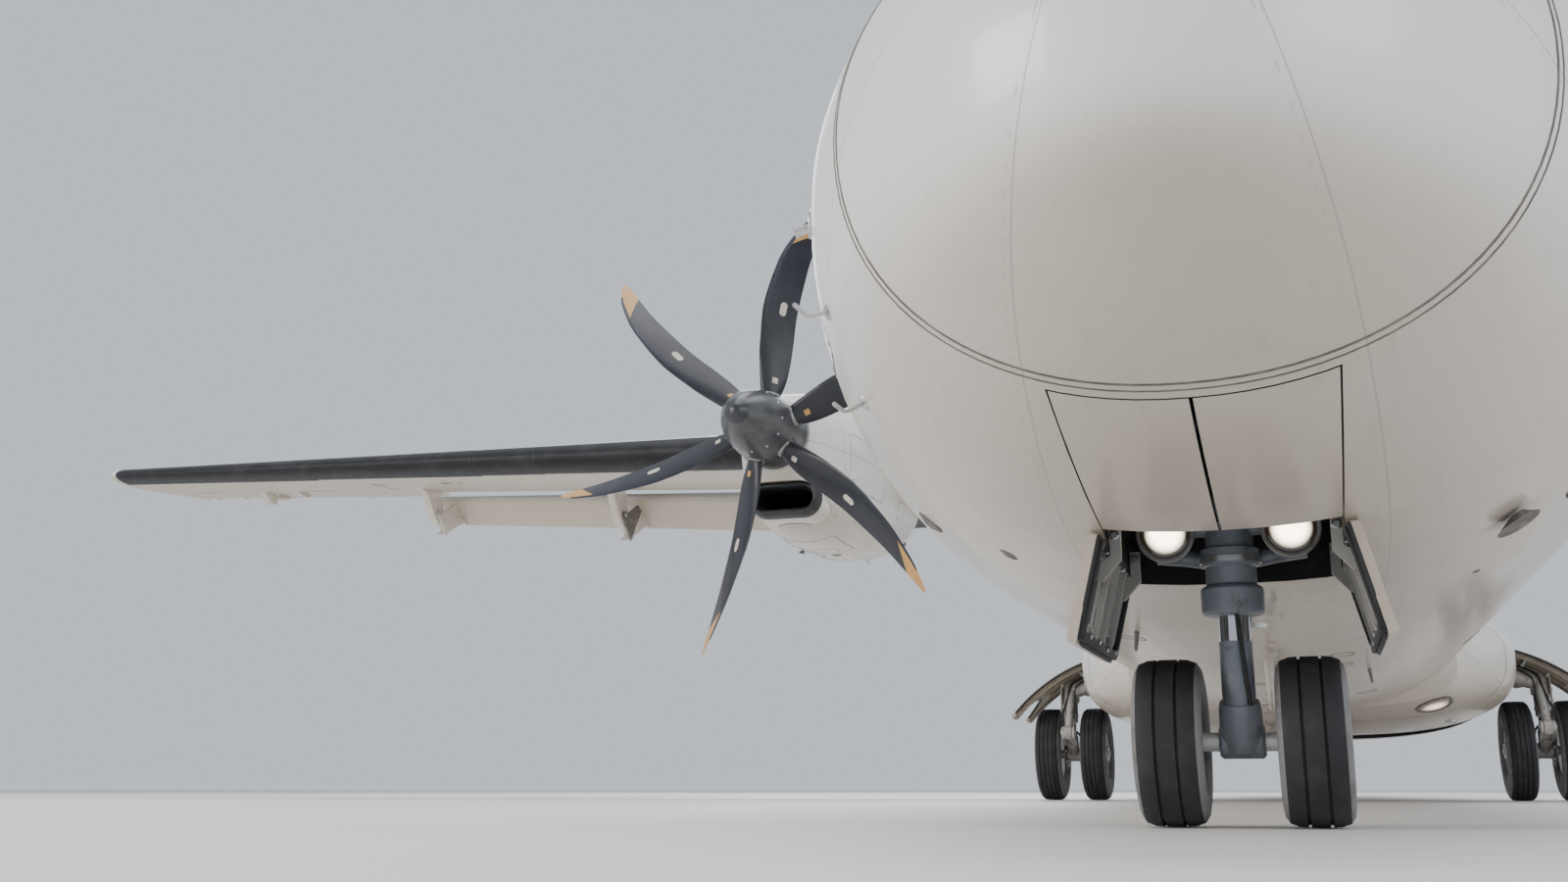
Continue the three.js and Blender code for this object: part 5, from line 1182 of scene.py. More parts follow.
boot_black = Finish("rubber_boot", (0.01, 0.0105, 0.013), rough=0.5).shine(0.3)
boot_black.cloud((0.022, 0.022, 0.026), 0.45, 0.7, 5, 5)
boot_black.tint((0.01, 0.01, 0.012), boot_black.comb(boot_black.size(boot_black.axis("Y")), 0.045, 0.003), 0.5)
boot_black.grain(0.0008, 90, 3)
boot_black.wear(0.42, 0.62, 14, 3)
lens_green = {side: Finish(f"tip_lens_{'red' if side > 0 else 'green'}", TIP_LAMP[side], rough=0.08, coat=0.8,
                           glow=(TIP_LAMP[side], 0.35)) for side in (1, -1)}
for finish in lens_green.values():
    finish.tint((0.75, 0.85, 0.8) if finish is lens_green[-1] else (0.8, 0.3, 0.25),
        finish.ramp(finish.noise(9, 3), 0.4, 0.7))
AILERON_SPAN = (9.79, 13.18)
OUTER_FLAP = (4.79, 9.73)
INNER_FLAP = (1.56, 4.69)


def boot_strip(build, spans, back_upper, back_lower, high, section_at=wing_at):
    """A rubber sheet round a leading edge, its edges eased down to the skin."""
    shares = [(1, s * back_upper) for s in (1, 0.985, 0.8, 0.6, 0.42, 0.28, 0.17, 0.09, 0.04, 0.012)]
    shares += [(1, 0)] + [(-1, s * back_lower) for s in (0.012, 0.04, 0.09, 0.17, 0.28, 0.42, 0.6, 0.8, 0.985, 1)]
    rings = []
    for y in spans:
        section = section_at(y)
        line = [Vector(foil(section, share, side)) for side, share in shares]
        inner, outer = [], []
        for k, p in enumerate(line):
            along = line[min(k + 1, len(line) - 1)] - line[max(k - 1, 0)]
            out = Vector((-along.z, 0, along.x)).normalized()
            inner.append(p - out * 0.003)
            outer.append(p + out * (high if 0 < k < len(line) - 1 else 0.0004))
        rings.append(outer + inner[::-1])
    build.rings(rings)


SIDES = ((1, "left"), (-1, "right"))
for side, hand in SIDES:
    spans = [side * y for y in np.linspace(4.7504, 9.744, 12)]
    bay = [side * y for y in np.linspace(9.744, 13.194, 9)]
    outer = Build()
    outer.rings([cove_ring(wing_at(y)) for y in spans])
    outer.rings([aileron_bay_ring(wing_at(y)) for y in bay])
    outer.rings([whole_ring(wing_at(side * y)) for y in (9.742, 9.776)])
    tips = [whole_ring(wing_at(side * y)) for y in (13.193, 13.34)]
    for y, share, rise in ((13.38, 0.985, 0.001), (13.42, 0.93, 0.005), (13.455, 0.82, 0.01), (13.485, 0.66, 0.016),
                           (13.51, 0.46, 0.021), (13.525, 0.24, 0.024)):
        tips.append(tip_ring(side * y, share, rise))
    outer.rings(tips)
    outer = outer.piece(f"wing_outer_skin_{hand}", [grey_paint, cove_dark, trim_metal, lens_green[side]],
                        stands_for=f"wing_outer_{hand}", slot="grey_paint")
    for face in outer.data.polygons:
        section = wing_at(face.center.y)
        share = (section["lead"] - face.center.x) / section["chord"]
        reach = abs(face.center.y)
        if in_cove(face):
            face.material_index = 1
        elif reach > 13.44 and share > 0.3:
            face.material_index = 2
        elif 13.37 < reach and share < 0.16:
            face.material_index = 3
    pods = Build()
    for y in FIN_PLACES[2:]:
        flap_fin(pods, y, side, 0)
    for y, size in ((11.95, 1.25), (11.45, 0.45)):  # fairings over the aileron hinges
        section = wing_at(y)
        base = [foil(section, s, -1, d * size) for s, d in ((0.6, -0.015), (0.63, 0.03), (0.67, 0.075),
            (0.71, 0.112), (0.75, 0.118), (0.772, 0.09), (0.768, 0.03), (0.7, -0.02))]
        pairs = curve([(p[0], p[2]) for p in base], 3)
        pods.rings([[(p[0], side * (y + out * size), p[1])
            for p in (pairs.mean(0) + (pairs - pairs.mean(0)) * s)]
            for s, out in ((0.8, -0.04), (0.94, -0.034), (1, -0.018), (1, 0.018), (0.94, 0.034), (0.8, 0.04))],
            0)
    pods.piece(f"flap_pods_outer_{hand}", [pod_paint], slot="grey_paint")
    boots = Build()
    for start, end, back in ((4.78, 7.483, 0.125), (7.487, 8.283, 0.13), (8.287, 10.483, 0.14), (10.487, 13.3, 0.155)):
        boot_strip(boots, [side * y for y in np.linspace(start, end, 6)], back * 0.55, back, 0.0025)
    boots.piece(f"wing_boots_{hand}", [boot_black], slot="black_boot", sharp=50)
    marks = Build()
    under = stand_off(lambda u, v, s=side: foil(wing_at(s * v),
        (wing_at(s * v)["lead"] - u) / wing_at(s * v)["chord"], -1), side)
    for x, y, w, l in ((1.25, 8.95, 0.11, 0.05), (1.28, 8.75, 0.03, 0.03), (1.2, 9.8, 0.09, 0.015),
            (1.2, 9.87, 0.09, 0.015)):
        patch(marks, rounded(l, w, 0.006, (x, y), 2), under, -0.002, 0.002, 0)
    for x, y, l, w in ((0.62, 12.75, 0.012, 0.4), (0.66, 11.1, 0.012, 0.5), (1.0, 9.93, 0.55, 0.008)):
        patch(marks, rounded(l, w, 0.003, (x, y), 2), under, -0.002, 0.0012, 0)
    marks.piece(f"wing_marks_{hand}", [joint_dark])
    wicks = Build()
    for y in (13.28, 13.36):
        start = Vector(foil(wing_at(side * y), 0.995, 1, 0.002))
        wicks.rod(start + Vector((0.02, 0, 0)), start + Vector((-0.085, 0, -0.004)), 0.0035, sides=8)
        wicks.rod(start + Vector((0.02, 0, 0)), start + Vector((-0.012, 0, 0)), 0.006, sides=8)
    wicks.piece(f"static_wicks_tip_{hand}", [joint_dark])

# Inner boots: the same rubber sheets on the centre wing, between body and nacelles.
inner_boots = Build()
for side in (1, -1):
    boot_strip(inner_boots, [side * y for y in np.linspace(1.1, 3.6, 4)], 0.06, 0.12, 0.0025)
    boot_strip(inner_boots, [side * y for y in np.linspace(4.5, 4.745, 2)], 0.06, 0.12, 0.0025)
inner_boots.piece("wing_boots_inner", [boot_black], slot="black_boot", sharp=50)

# Flaps: single-slotted surfaces on arms beside the pods, held 30 degrees down, with a soot-stained
# stretch behind each exhaust. Shroud rails and thin dark brackets bridge the slot ahead of them.
def flap_ring(section):
    return foils(
        section, (1, 1, -3), (0.95, 1, 1), (0.892, 1, 3), (0.87, 1, 20), (0.8, 1, 34), (0.775, 1, 45), (0.758, 1, 64),
        (0.7475, 1, 90), (0.742, -1, -62), (0.7425, -1, -36), (0.747, -1, -16), (0.7545, -1, -5), (0.765, -1),
        (0.82, -1), (0.88, -1), (1, -1, 3))


flap_paint = wing_paint("grey_flap_paint")
out = flap_paint.size(flap_paint.axis("Y"))
fore = flap_paint.ramp(flap_paint.axis("X"), -0.55, 0.3)
inboard = flap_paint.plus(3.68, flap_paint.times(fore, 0.36))
edge = flap_paint.most(flap_paint.less(out, 4.425), flap_paint.less(inboard, out))
grime = flap_paint.noise(12, 4)
flap_paint.tint((0.3, 0.26, 0.21), flap_paint.ramp(edge, 0.25, 0.0), flap_paint.ramp(grime, 0.45, 0.8), 0.4)
flap_paint.tint((0.02, 0.02, 0.021), flap_paint.ramp(edge, 0.003, -0.003))
FLAP_DOWN = 30


def flap_turn(y_near):
    """Swings points drawn with the flap shut down on its pivot line."""
    start = flap_pivot(y_near)
    far = {1.95: 4.515, 5.1: 9.6}[y_near]
    line = (flap_pivot(far) - start).normalized()
    turn = Matrix.Rotation(radians(-FLAP_DOWN), 3, line)
    return lambda p, side: Vector(((q := turn @ (Vector(p) - start) + start).x, side * q.y, q.z))


for side, hand in SIDES:
    for name, (low, high), first, places in (
        ("flap_inner", INNER_FLAP, 1.95, FIN_PLACES[:2]), ("flap_outer", OUTER_FLAP, 5.1, FIN_PLACES[2:]),
    ):
        down = flap_turn(first)
        flap = Build()
        rings = [np.array(flap_ring(wing_at(y))) for y in np.linspace(low + 0.004, high - 0.004, 14)]
        for y, ring in ((low, rings[0]), (high, rings[-1])):  # eased ends
            end = ring.mean(0) + (ring - ring.mean(0)) * 0.985
            end[:, 1] = y
            rings = [end, *rings] if y == low else [*rings, end]
        flap.rings([[down(p, side) for p in ring] for ring in rings])
        arms = Build()
        for y in places:
            section = wing_at(y)
            k = section["chord"] / WING_ROOT["chord"]
            pivot = flap_pivot(y)
            at = hinge_plane(y, 1)
            skin = lambda share, drop: (foil(section, share, -1, drop)[0], foil(section, share, -1, drop)[2])
            circle = lambda r, angles: [(pivot.x + r * k * cos(radians(a)),
                                         pivot.z + r * k * sin(radians(a))) for a in angles]
            arm = np.array([*circle(0.052, range(130, -111, -20)), *circle(0.38, [200]),
                            skin(0.9, -0.008), skin(0.8, -0.022)])
            tail = np.array([*circle(0.35, range(168, 205, 6)), skin(0.95, 0.052 * k), skin(0.985, 0.03 * k),
                             skin(0.985, -0.004), skin(0.84, -0.022)])
            arms.rings([[down(at(*p, out), side) for p in arm] for out in (-0.0738, -0.0522)], 1 if y == 7.2 else 0)
            middle = tail.mean(0)
            arms.rings([[down(at(*(middle + (p - middle) * size), out), side) for p in tail]
                for size, out in ((0.93, -0.074), (0.99, -0.068), (1, -0.055), (1, 0.03), (0.99, 0.04),
                (0.93, 0.046))], 0)
            arms.rod(down(at(pivot.x, pivot.z, -0.078), side), down(at(pivot.x, pivot.z, 0.0), side), 0.0155, finish=2)
            arms.rod(down(at(pivot.x, pivot.z, -0.082), side), down(at(pivot.x, pivot.z, -0.072), side), 0.028,
                finish=2, sides=6)
        flap.piece(f"{name}_skin_{hand}", [flap_paint], body=f"{name}_{hand}", stands_for=f"{name}_{hand}",
                   slot="grey_paint")
        arms.piece(f"{name}_arms_{hand}", [pod_paint, joint_dark, trim_metal], body=f"{name}_{hand}")
    links = Build()
    for low, high, count in ((1.62, 3.45, 3), (4.62, 4.72, 1), (4.95, 9.6, 6)):
        for y in np.linspace(low, high, count + 1)[:-1] + (high - low) / count / 2:
            if min(abs(y - f) for f in FIN_PLACES) < 0.16:
                continue
            section = wing_at(side * y)
            lip = foil(section, 0.722, -1, -0.012)
            over = foil(section, 0.845, 1, 0.012)
            links.rings([[(lip[0] - 0.002, side * (y + dy), lip[2]),
                (lip[0] - 0.02, side * (y + dy), lip[2] + 0.012),
                (over[0] + 0.02, side * (y + dy), over[2] - 0.004), (over[0], side * (y + dy), over[2] + 0.004),
                (over[0] + 0.16, side * (y + dy), over[2]), (lip[0] - 0.004, side * (y + dy), over[2] - 0.03)]
                for dy in (-0.007, 0.007)], 0)
    rail = Build()
    for low, high in ((1.6, 3.4), (4.9, 9.7)):
        for share, drop in ((0.76, 0.022), (0.81, 0.018)):
            points = [foil(wing_at(side * y), share, 1, drop) for y in np.linspace(low, high, 8)]
            rail.tube(points, 0.006, 0, sides=6)
    rail.piece(f"flap_shroud_rails_{hand}", [white_paint])
    links.piece(f"flap_slot_brackets_{hand}", [joint_dark])

# Ailerons: one long surface at each tip, its lower skin pressed with chordwise ripples.
aileron_paint = wing_paint("grey_aileron_paint")
ripple = aileron_paint.comb(aileron_paint.size(aileron_paint.axis("Y")), 0.11, 0.028)
aileron_paint.raise_by(ripple, 0.006, 0.6)
for side, hand in SIDES:
    rings = []
    for y in np.linspace(*AILERON_SPAN, 12):
        section = wing_at(side * y)
        hinge, radius = aileron_hinge(side * y)
        arc = [(hinge.x + radius * cos(a), side * y, hinge.z + radius * sin(a))
               for a in np.radians(np.arange(-90, 91, 15))]
        rings.append(arc + foils(section, (0.79, 1, 1), (0.86, 1, 0.5), (1, 1, -3), (1, -1, 3), (0.86, -1, -0.5),
                                 (0.79, -1, -1)))
    panel = Build().rings(rings)
    for end, way in ((AILERON_SPAN[0], -0.034), (AILERON_SPAN[1], 0.048)):
        start = aileron_hinge(side * end)[0]
        panel.rod(start, start + Vector((0, side * way, 0)), 0.009)
    cover = []
    for share, wide, deep in ((0.808, 0.01, 0.012), (0.82, 0.034, 0.052), (0.85, 0.042, 0.07), (0.89, 0.036, 0.066),
                              (0.93, 0.022, 0.045), (0.955, 0.006, 0.012)):
        section = wing_at(11.95)
        x, _, z = foil(section, share, -1)
        cover.append([(x, side * (11.95 + wide * u), z + 0.006 - deep * v) for u, v in
                      ((-1, 0), (-1, 0.6), (-0.6, 0.92), (0, 1), (0.6, 0.92), (1, 0.6), (1, 0))])
    panel.rings(cover)
    panel.piece(f"aileron_skin_{hand}", [aileron_paint], body=f"aileron_{hand}", stands_for=f"aileron_{hand}",
                slot="grey_paint")
    wicks = Build()
    for y in (10.9, 12.0, 12.7, 13.1):
        start = Vector(foil(wing_at(side * y), 1.0, 1, 0.002))
        wicks.rod(start + Vector((0.02, 0, 0)), start + Vector((-0.09, 0, -0.004)), 0.0035, sides=8)
    wicks.piece(f"static_wicks_aileron_{hand}", [joint_dark], body=f"aileron_{hand}")

# Nacelles: glass-fibre cowls over the engine, each with a scoop below the spinner, hinged cowl panels
# and a drain, and cut away under the trailing edge where the flap and its arm swing.
NACELLE = np.array([  # x, half width, top, bottom
    [3955, 318, 3388, 2752], [3850, 352, 3440, 2690], [3600, 425, 3520, 2420], [3200, 505, 3605, 2300],
    [2700, 548, 3680, 2255], [2100, 556, 3735, 2255], [1500, 545, 3752, 2320], [900, 505, 3735, 2455],
    [460, 430, 3690, 2700], [230, 380, 3655, 3080], [-130, 260, 3585, 3180],
]) * 0.001
ENGINE_Y, THRUST_LINE, INTAKE_Z = 4.05, 3.07, 2.555


def nacelle_ring(x, side, grow=0.0, count=72):
    half, top, bottom = between(NACELLE, x)
    angle = np.arange(count) * 2 * np.pi / count
    c, s = np.cos(angle), np.sin(angle)
    power = 0.84 + 0.16 * min(max((x - 3.7) / 0.25, 0), 1)
    y = side * ENGINE_Y + np.sign(c) * np.abs(c) ** power * (half + grow)
    z = (top + bottom) / 2 + np.sign(s) * np.abs(s) ** power * ((top - bottom) / 2 + grow)
    return np.column_stack([np.full(count, x), y, z])


def nacelle_share(x, y, z):
    """1 on the cowl's skin and less inside it."""
    half, top, bottom = between(NACELLE, x)
    power = 2 / (0.84 + 0.16 * min(max((x - 3.7) / 0.25, 0), 1))
    return abs((abs(y) - ENGINE_Y) / half) ** power + abs((z - (top + bottom) / 2) / ((top - bottom) / 2)) ** power


def oval(x, z, half_wide, half_high, side, tilt=0.0, steps=12):
    """A ring with flat top and bottom and round ends, as the scoop and the exhaust have."""
    ring = []
    for k in range(2):
        for a in np.linspace(-pi / 2, pi / 2, steps) + pi * k:
            y = (1 - 2 * k) * (half_wide - half_high) + half_high * cos(a)
            up = half_high * sin(a)
            ring.append((x + tilt * up, side * ENGINE_Y + y, z + up))
    return ring


NOZZLE = np.array([  # share of the way along, x, height, half width, half height, slant
    (0, 1.25, 2.62, 0.29, 0.19, 0), (0.15, 1.15, 2.616, 0.2895, 0.187, -0.2), (0.3, 1.05, 2.61, 0.288, 0.18, -0.5),
    (0.58, 0.9, 2.6, 0.284, 0.157, -1.2), (0.82, 0.76, 2.585, 0.278, 0.125, -2.2), (1, 0.66, 2.57, 0.272, 0.095, -3.4),
])


def nozzle_ring(side, share, inset=0.0, out=0.0):
    x, height, wide, high, tilt = between(NOZZLE, share)
    return oval(x - 0.28 * out, height - 0.96 * out, wide - inset, high - inset, side, tilt)


def nacelle_floor(side):
    def at(x, y):
        half, top, bottom = between(NACELLE, x)
        c = min(abs((y - side * ENGINE_Y) / half), 0.999) ** (1 / 0.84)
        return x, y, (top + bottom) / 2 - (top - bottom) / 2 * sqrt(1 - c * c) ** 0.84
    return stand_off(at, -1)


def nacelle_flank(side, way):
    def at(x, z):
        half, top, bottom = between(NACELLE, x)
        s = min(abs((z - (top + bottom) / 2) / ((top - bottom) / 2)), 0.999) ** (1 / 0.84)
        return x, side * ENGINE_Y + way * half * sqrt(1 - s * s) ** 0.84, z
    return stand_off(at, -way)


def cowl_paint_for(name):
    paint = Finish(name, (0.8, 0.79, 0.765), rough=0.3, coat=0.3)
    x, z = paint.axis("X"), paint.axis("Z")
    cloud = paint.noise(1.6, 5, stretch=(0.7, 2, 2))
    # faces that look down are tinted darker and warmer: painted shade of the cowl's underside
    paint.tint((0.55, 0.475, 0.395), paint.ramp(paint.facing("Z"), -0.15, -0.8), 0.85)
    paint.tint((0.6, 0.54, 0.475), paint.ramp(cloud, 0.45, 0.75), 0.3)
    run = paint.noise(1.0, 5, stretch=(0.8, 22, 16), rough=0.6)
    paint.tint((0.3, 0.24, 0.19), paint.ramp(run, 0.53, 0.75), paint.ramp(z, 2.9, 2.4), 0.45)
    # soot run aft of the drain
    off = paint.size(paint.less(paint.size(paint.axis("Y")), ENGINE_Y + 0.1))
    trail = paint.times(paint.ramp(off, 0.07, 0.01), paint.ramp(x, 2.25, 2.1), paint.ramp(x, 1.35, 1.8),
        paint.ramp(z, 2.7, 2.5))
    paint.tint((0.12, 0.09, 0.07), trail, paint.ramp(run, 0.3, 0.55), 0.85)
    seam = paint.most(paint.line(x, 3.42, 0.003), paint.most(paint.line(x, 2.2, 0.003),
                                                                      paint.line(x, 1.22, 0.003)))
    waist = paint.times(paint.line(z, 3.0, 0.003), paint.ramp(x, 1.2, 1.25))
    joint = paint.most(seam, waist)
    paint.tint((0.25, 0.23, 0.21), joint, 0.7)
    dots = paint.times(paint.most(paint.line(x, 3.39, 0.004), paint.line(x, 1.25, 0.004)),
                 paint.comb(z, 0.045, 0.005))
    paint.tint((0.4, 0.37, 0.34), dots, 0.5)
    paint.raise_by(paint.less(dots, joint), 0.0015)
    paint.wear(0.24, 0.46, 7, 4)
    return paint


cowl_paint = cowl_paint_for("white_cowl_paint")
intake_black = Finish("intake_black", (0.016, 0.017, 0.02), rough=0.45, coat=0.2)
intake_black.cloud((0.035, 0.035, 0.04), 0.45, 0.7, 9, 5)
intake_black.grain(0.0008, 60, 3)
hot_metal = Finish("heat_stained_metal", (0.17, 0.13, 0.105), rough=0.36, metal=0.8)
hot_metal.cloud((0.085, 0.075, 0.08), 0.38, 0.7, 3, 5, stretch=(1, 3, 3))
hot_metal.cloud((0.05, 0.055, 0.095), 0.5, 0.75, 14, 4, most=0.5)
hot_metal.wear(0.26, 0.6, 12, 4)
hot_metal.grain(0.0008, 40, 3)
engine_metal = Finish("cast_engine_metal", (0.3, 0.3, 0.3), rough=0.45, metal=0.7)
engine_metal.cloud((0.18, 0.175, 0.165), 0.4, 0.7, 7, 5)
engine_metal.grain(0.001, 80, 3)

for side, hand in SIDES:
    xs = [3.955, 3.93, 3.9, 3.86, 3.8, *np.linspace(3.72, -0.13, 40)]
    cowl = Build().rings([nacelle_ring(x, side) for x in xs])
    cowl = cowl.piece(f"nacelle_cowl_{hand}", [cowl_paint, intake_black, cove_dark], stands_for=f"nacelle_{hand}",
                      slot="white_paint")
    pivot = flap_pivot(4.515)
    arm = sorted((side * 4.433, side * 4.515))
    y_low, y_high = sorted((side * (ENGINE_Y - 0.9), side * (ENGINE_Y + 0.9)))
    carve(cowl, ("DIFFERENCE", box_tool((-0.9, y_low, 2.0), (0.225, y_high, 3.47))),
        ("DIFFERENCE", box_tool((pivot.x - 0.4, arm[0], pivot.z - 0.4),
        (pivot.x + 0.075, arm[1], pivot.z + 0.4))), ("DIFFERENCE",
        Build().rings([oval(x, INTAKE_Z + drop, wide, high, side)
        for x, drop, wide, high in ((3.92, 0, 0.3, 0.13), (3.76, 0, 0.311, 0.142), (3.7, 0, 0.33, 0.162),
        (3.6, -0.002, 0.34, 0.172), (3.42, -0.006, 0.351, 0.183))])),
        ("DIFFERENCE", Build().rings([oval(3.6, INTAKE_Z, 0.27, 0.12, side),
        oval(2.85, INTAKE_Z, 0.25, 0.09, side)])), ("DIFFERENCE",
        Build().rings([nozzle_ring(side, t, 0.006) for t in np.linspace(0.05, 1, 10)])),
        ("DIFFERENCE", Build().rings([oval(0.785 - 0.12 * t, 2.558 - 0.6 * t, 0.289, 0.122, side, -3.4)
        for t in (0, 1)])))
    for face in cowl.data.polygons:
        x, y, z = face.center
        if -0.1 < x < 3.93 and nacelle_share(x, y, z) < 0.95:
            # the duct's walls take the black of the lip: painted shade deep in the duct
            duct = abs(z - INTAKE_Z) < 0.13 and abs(abs(y) - ENGINE_Y) < 0.28
            face.material_index = 2 if x < 2 else 1 if duct else 0

    scoop = Build()
    loops = [(3.42, -6, 0.346, 0.178), (3.6, -2, 0.336, 0.168), (3.65, -1, 0.333, 0.165), (3.66, 0, 0.331, 0.163),
             (3.68, 0, 0.329, 0.16), (3.725, 0, 0.318, 0.148),
             (3.75, 0, 0.305, 0.132), (3.76, 0, 0.29, 0.116), (3.757, 0, 0.28, 0.105), (3.745, 0, 0.271, 0.096),
             (3.715, 0, 0.262, 0.088), (3.65, 0, 0.256, 0.083), (3.5, 0, 0.252, 0.083), (3.42, 0, 0.252, 0.083)]
    # the black of the lip carries on round into the duct, where it is painted shade
    scoop.rings([oval(x, INTAKE_Z + drop * MM, wide, high, side) for x, drop, wide, high in loops + loops[:1]],
                0, caps=False)
    scoop.finish[:48] = [2] * 48  # its rear part is painted like the cowl
    for k in range(-2, 3):  # bars of the debris screen, deep in the duct
        y = side * ENGINE_Y + 0.08 * k
        scoop.tube([(2.95, y, INTAKE_Z - 0.085), (2.95, y, INTAKE_Z + 0.085)], 0.006, 1, sides=6)
    scoop.piece(f"intake_lip_{hand}", [intake_black, engine_metal, cowl_paint], stands_for=f"air_intake_{hand}",
        slot="black_boot")

    pipe = Build()
    walls = [nozzle_ring(side, t) for t in np.linspace(0, 1, 12)]
    lip = [nozzle_ring(side, 1, inset, out) for inset, out in ((0.004, 0.003), (0.009, 0.0045), (0.014, 0.003))]
    pipe.rings([*walls, *lip, *[nozzle_ring(side, t, 0.018) for t in np.linspace(1, 0.12, 10)]], 0)
    pipe.rings([nozzle_ring(side, t, inset) for t, inset in (
        (0.35, 0.052), (0.78, 0.05), (0.785, 0.054), (0.78, 0.058), (0.35, 0.06), (0.35, 0.052))], 1, caps=False)
    outer, inner = nozzle_ring(side, 0.6, 0.019), nozzle_ring(side, 0.6, 0.05)
    for k in range(0, 24, 3):  # struts that hold the inner duct
        pipe.tube([outer[k], inner[k]], 0.006, 1, 6)
    pipe.rings([nozzle_ring(side, t, -out) for t, out in (
        (0.9, -0.002), (0.905, 0.0035), (0.935, 0.0035), (0.94, -0.002), (0.9, -0.002))], 0, caps=False)
    pipe.piece(f"exhaust_pipe_{hand}", [hot_metal, cove_dark], stands_for=f"exhaust_nozzle_{hand}", slot="hot_metal")

    marks, at = Build(), nacelle_floor(side)
    middle = side * ENGINE_Y
    rim(marks, rounded(0.62, 0.5, 0.05, (2.74, middle), 4), at, 0.006, -0.003, 0.0012, 0)
    rim(marks, rounded(0.2, 0.34, 0.012, (2.62, middle + 0.03 * side), 4), at, 0.005, -0.003, 0.0012, 0)
    for u, v in ((-0.27, -0.17), (-0.27, 0.17), (0.27, -0.17), (0.27, 0.17), (0.0, 0.2), (0.0, -0.2)):
        patch(marks, rounded(0.045, 0.018, 0.008, (2.74 + u, middle + v), 3), at, -0.001, 0.0016, 1)
    patch(marks, rounded(0.075, 0.075, 0.037, (2.33, middle - 0.05 * side)), at, -0.001, 0.003, 2)
    rim(marks, rounded(0.095, 0.095, 0.047, (2.33, middle - 0.05 * side)), at, 0.008, -0.002, 0.002, 0)
    patch(marks, rounded(0.05, 0.035, 0.017, (2.26, middle + 0.1 * side)), at, -0.001, 0.004, 2)
    marks.tube([at(1.55, middle - 0.12 * side, -0.01), at(1.53, middle - 0.12 * side, 0.03),
                at(1.42, middle - 0.12 * side, 0.045)], 0.009, 1)
    marks.tube([at(2.05, middle + 0.36 * side, -0.01), at(2.04, middle + 0.36 * side, 0.05)], 0.012, 2)
    marks.tube([at(2.09, middle + 0.36 * side, 0.05), at(1.99, middle + 0.36 * side, 0.05)], 0.012, 2)
    for way in (1, -1):
        flank = nacelle_flank(side, way)
        rim(marks, rounded(0.9, 0.5, 0.06, (2.85, 2.95), 4), flank, 0.005, -0.003, 0.001, 0)
        rim(marks, rounded(0.26, 0.17, 0.03, (1.75, 2.75), 4), flank, 0.004, -0.003, 0.001, 0)
        for u in (-0.36, -0.12, 0.12, 0.36):
            patch(marks, rounded(0.05, 0.024, 0.008, (2.85 + u, 2.715), 3), flank, -0.001, 0.002, 1)
        hump = [flank(3.36 - 0.24 * t, 2.79 + 0.02 * t, 0) for t in (0, 0.3, 0.6, 1)]
        marks.rings([[p + Vector((0, way * s * 0.03 * sin(a), s * 0.045 * cos(a))) for a in
                      (pi * k / 8 for k in range(-8, 8))] for p, s in zip(hump, (1.0, 0.85, 0.5, 0.08))], 3)
    marks.piece(f"cowl_details_{hand}", [joint_dark, trim_metal, intake_black, cowl_paint])
    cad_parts[f"engine_{hand}"].data.materials.clear()
    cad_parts[f"engine_{hand}"].data.materials.append(engine_metal.material)

# Propellers: six swept composite blades in a steel hub, navy black, with nickel guards and tan tips,
# under a spun spinner that is painted satin grey.
BLADE = np.array([  # radius, chord, pitch, thickness, sweep, bend
    [250, 150, 62, 105, 0, 0], [420, 235, 60, 66, 12, 0], [700, 300, 53, 40, 52, 2], [1050, 322, 46, 27, 92, 10],
    [1400, 300, 40, 20, 70, 24], [1750, 215, 35, 13, -35, 46], [1965, 60, 33, 5, -172, 64],
]) * [0.001, 0.001, 1, 0.001, 0.001, 0.001]
BLADE_PHASE, PROP_PLANE = -14, 4.25


def blade_point(radius, share, up):
    """share runs from 0 at the leading edge to 1; up is 1 on the face that leads and -1 on the other."""
    chord, pitch, thick, sweep, bend = between(BLADE, radius)
    t = min(max(share, 0), 1)
    form = 5 * (0.2969 * sqrt(t) - 0.126 * t - 0.3516 * t * t + 0.2843 * t**3 - 0.1036 * t**4)
    root = min(max((0.42 - radius) / 0.17, 0), 1)
    form = form * (1 - root) + sqrt(max(0.25 - (t - 0.5) ** 2, 0)) * root
    a = (0.5 - t) * chord + sweep
    u = form * thick * (0.94 if up > 0 else -0.64)
    pitch = radians(pitch)
    return Vector((a * cos(pitch) + u * sin(pitch) + bend,
                   -a * sin(pitch) + u * cos(pitch), radius))


blade_finish = Finish("dark_blade_paint", (0.01, 0.012, 0.02), rough=0.36, coat=0.12).shine(0.35)
y, z = blade_finish.axis("Y"), blade_finish.axis("Z")
across = blade_finish.less(y, blade_finish.times(blade_finish.sum("SIGN", y), ENGINE_Y))
up = blade_finish.less(z, THRUST_LINE)
radius = blade_finish.sum("SQRT", blade_finish.plus(blade_finish.times(across, across), blade_finish.times(up, up)))
turn = blade_finish.sum("ARCTAN2", blade_finish.times(across, -1), up)
turn = blade_finish.sum("DIVIDE", blade_finish.less(turn, radians(BLADE_PHASE)), pi / 3)
turn = blade_finish.times(blade_finish.less(blade_finish.sum("FRACT", blade_finish.plus(turn, 0.5)), 0.5), pi / 3)
offset = blade_finish.times(blade_finish.times(radius, blade_finish.sum("SINE", turn)), -1)
cloud = blade_finish.noise(3, 5)
blade_finish.tint((0.02, 0.023, 0.032), blade_finish.ramp(cloud, 0.4, 0.75))
# paler grey towards the root: a painted sheen
blade_finish.tint((0.04, 0.042, 0.047), blade_finish.ramp(radius, 1.35, 0.45), 0.35)
tip = blade_finish.less(radius, blade_finish.times(offset, 1.15))
blade_finish.tint((0.56, 0.3, 0.095), blade_finish.ramp(tip, 1.662, 1.668))
scuff = blade_finish.noise(40, 4)
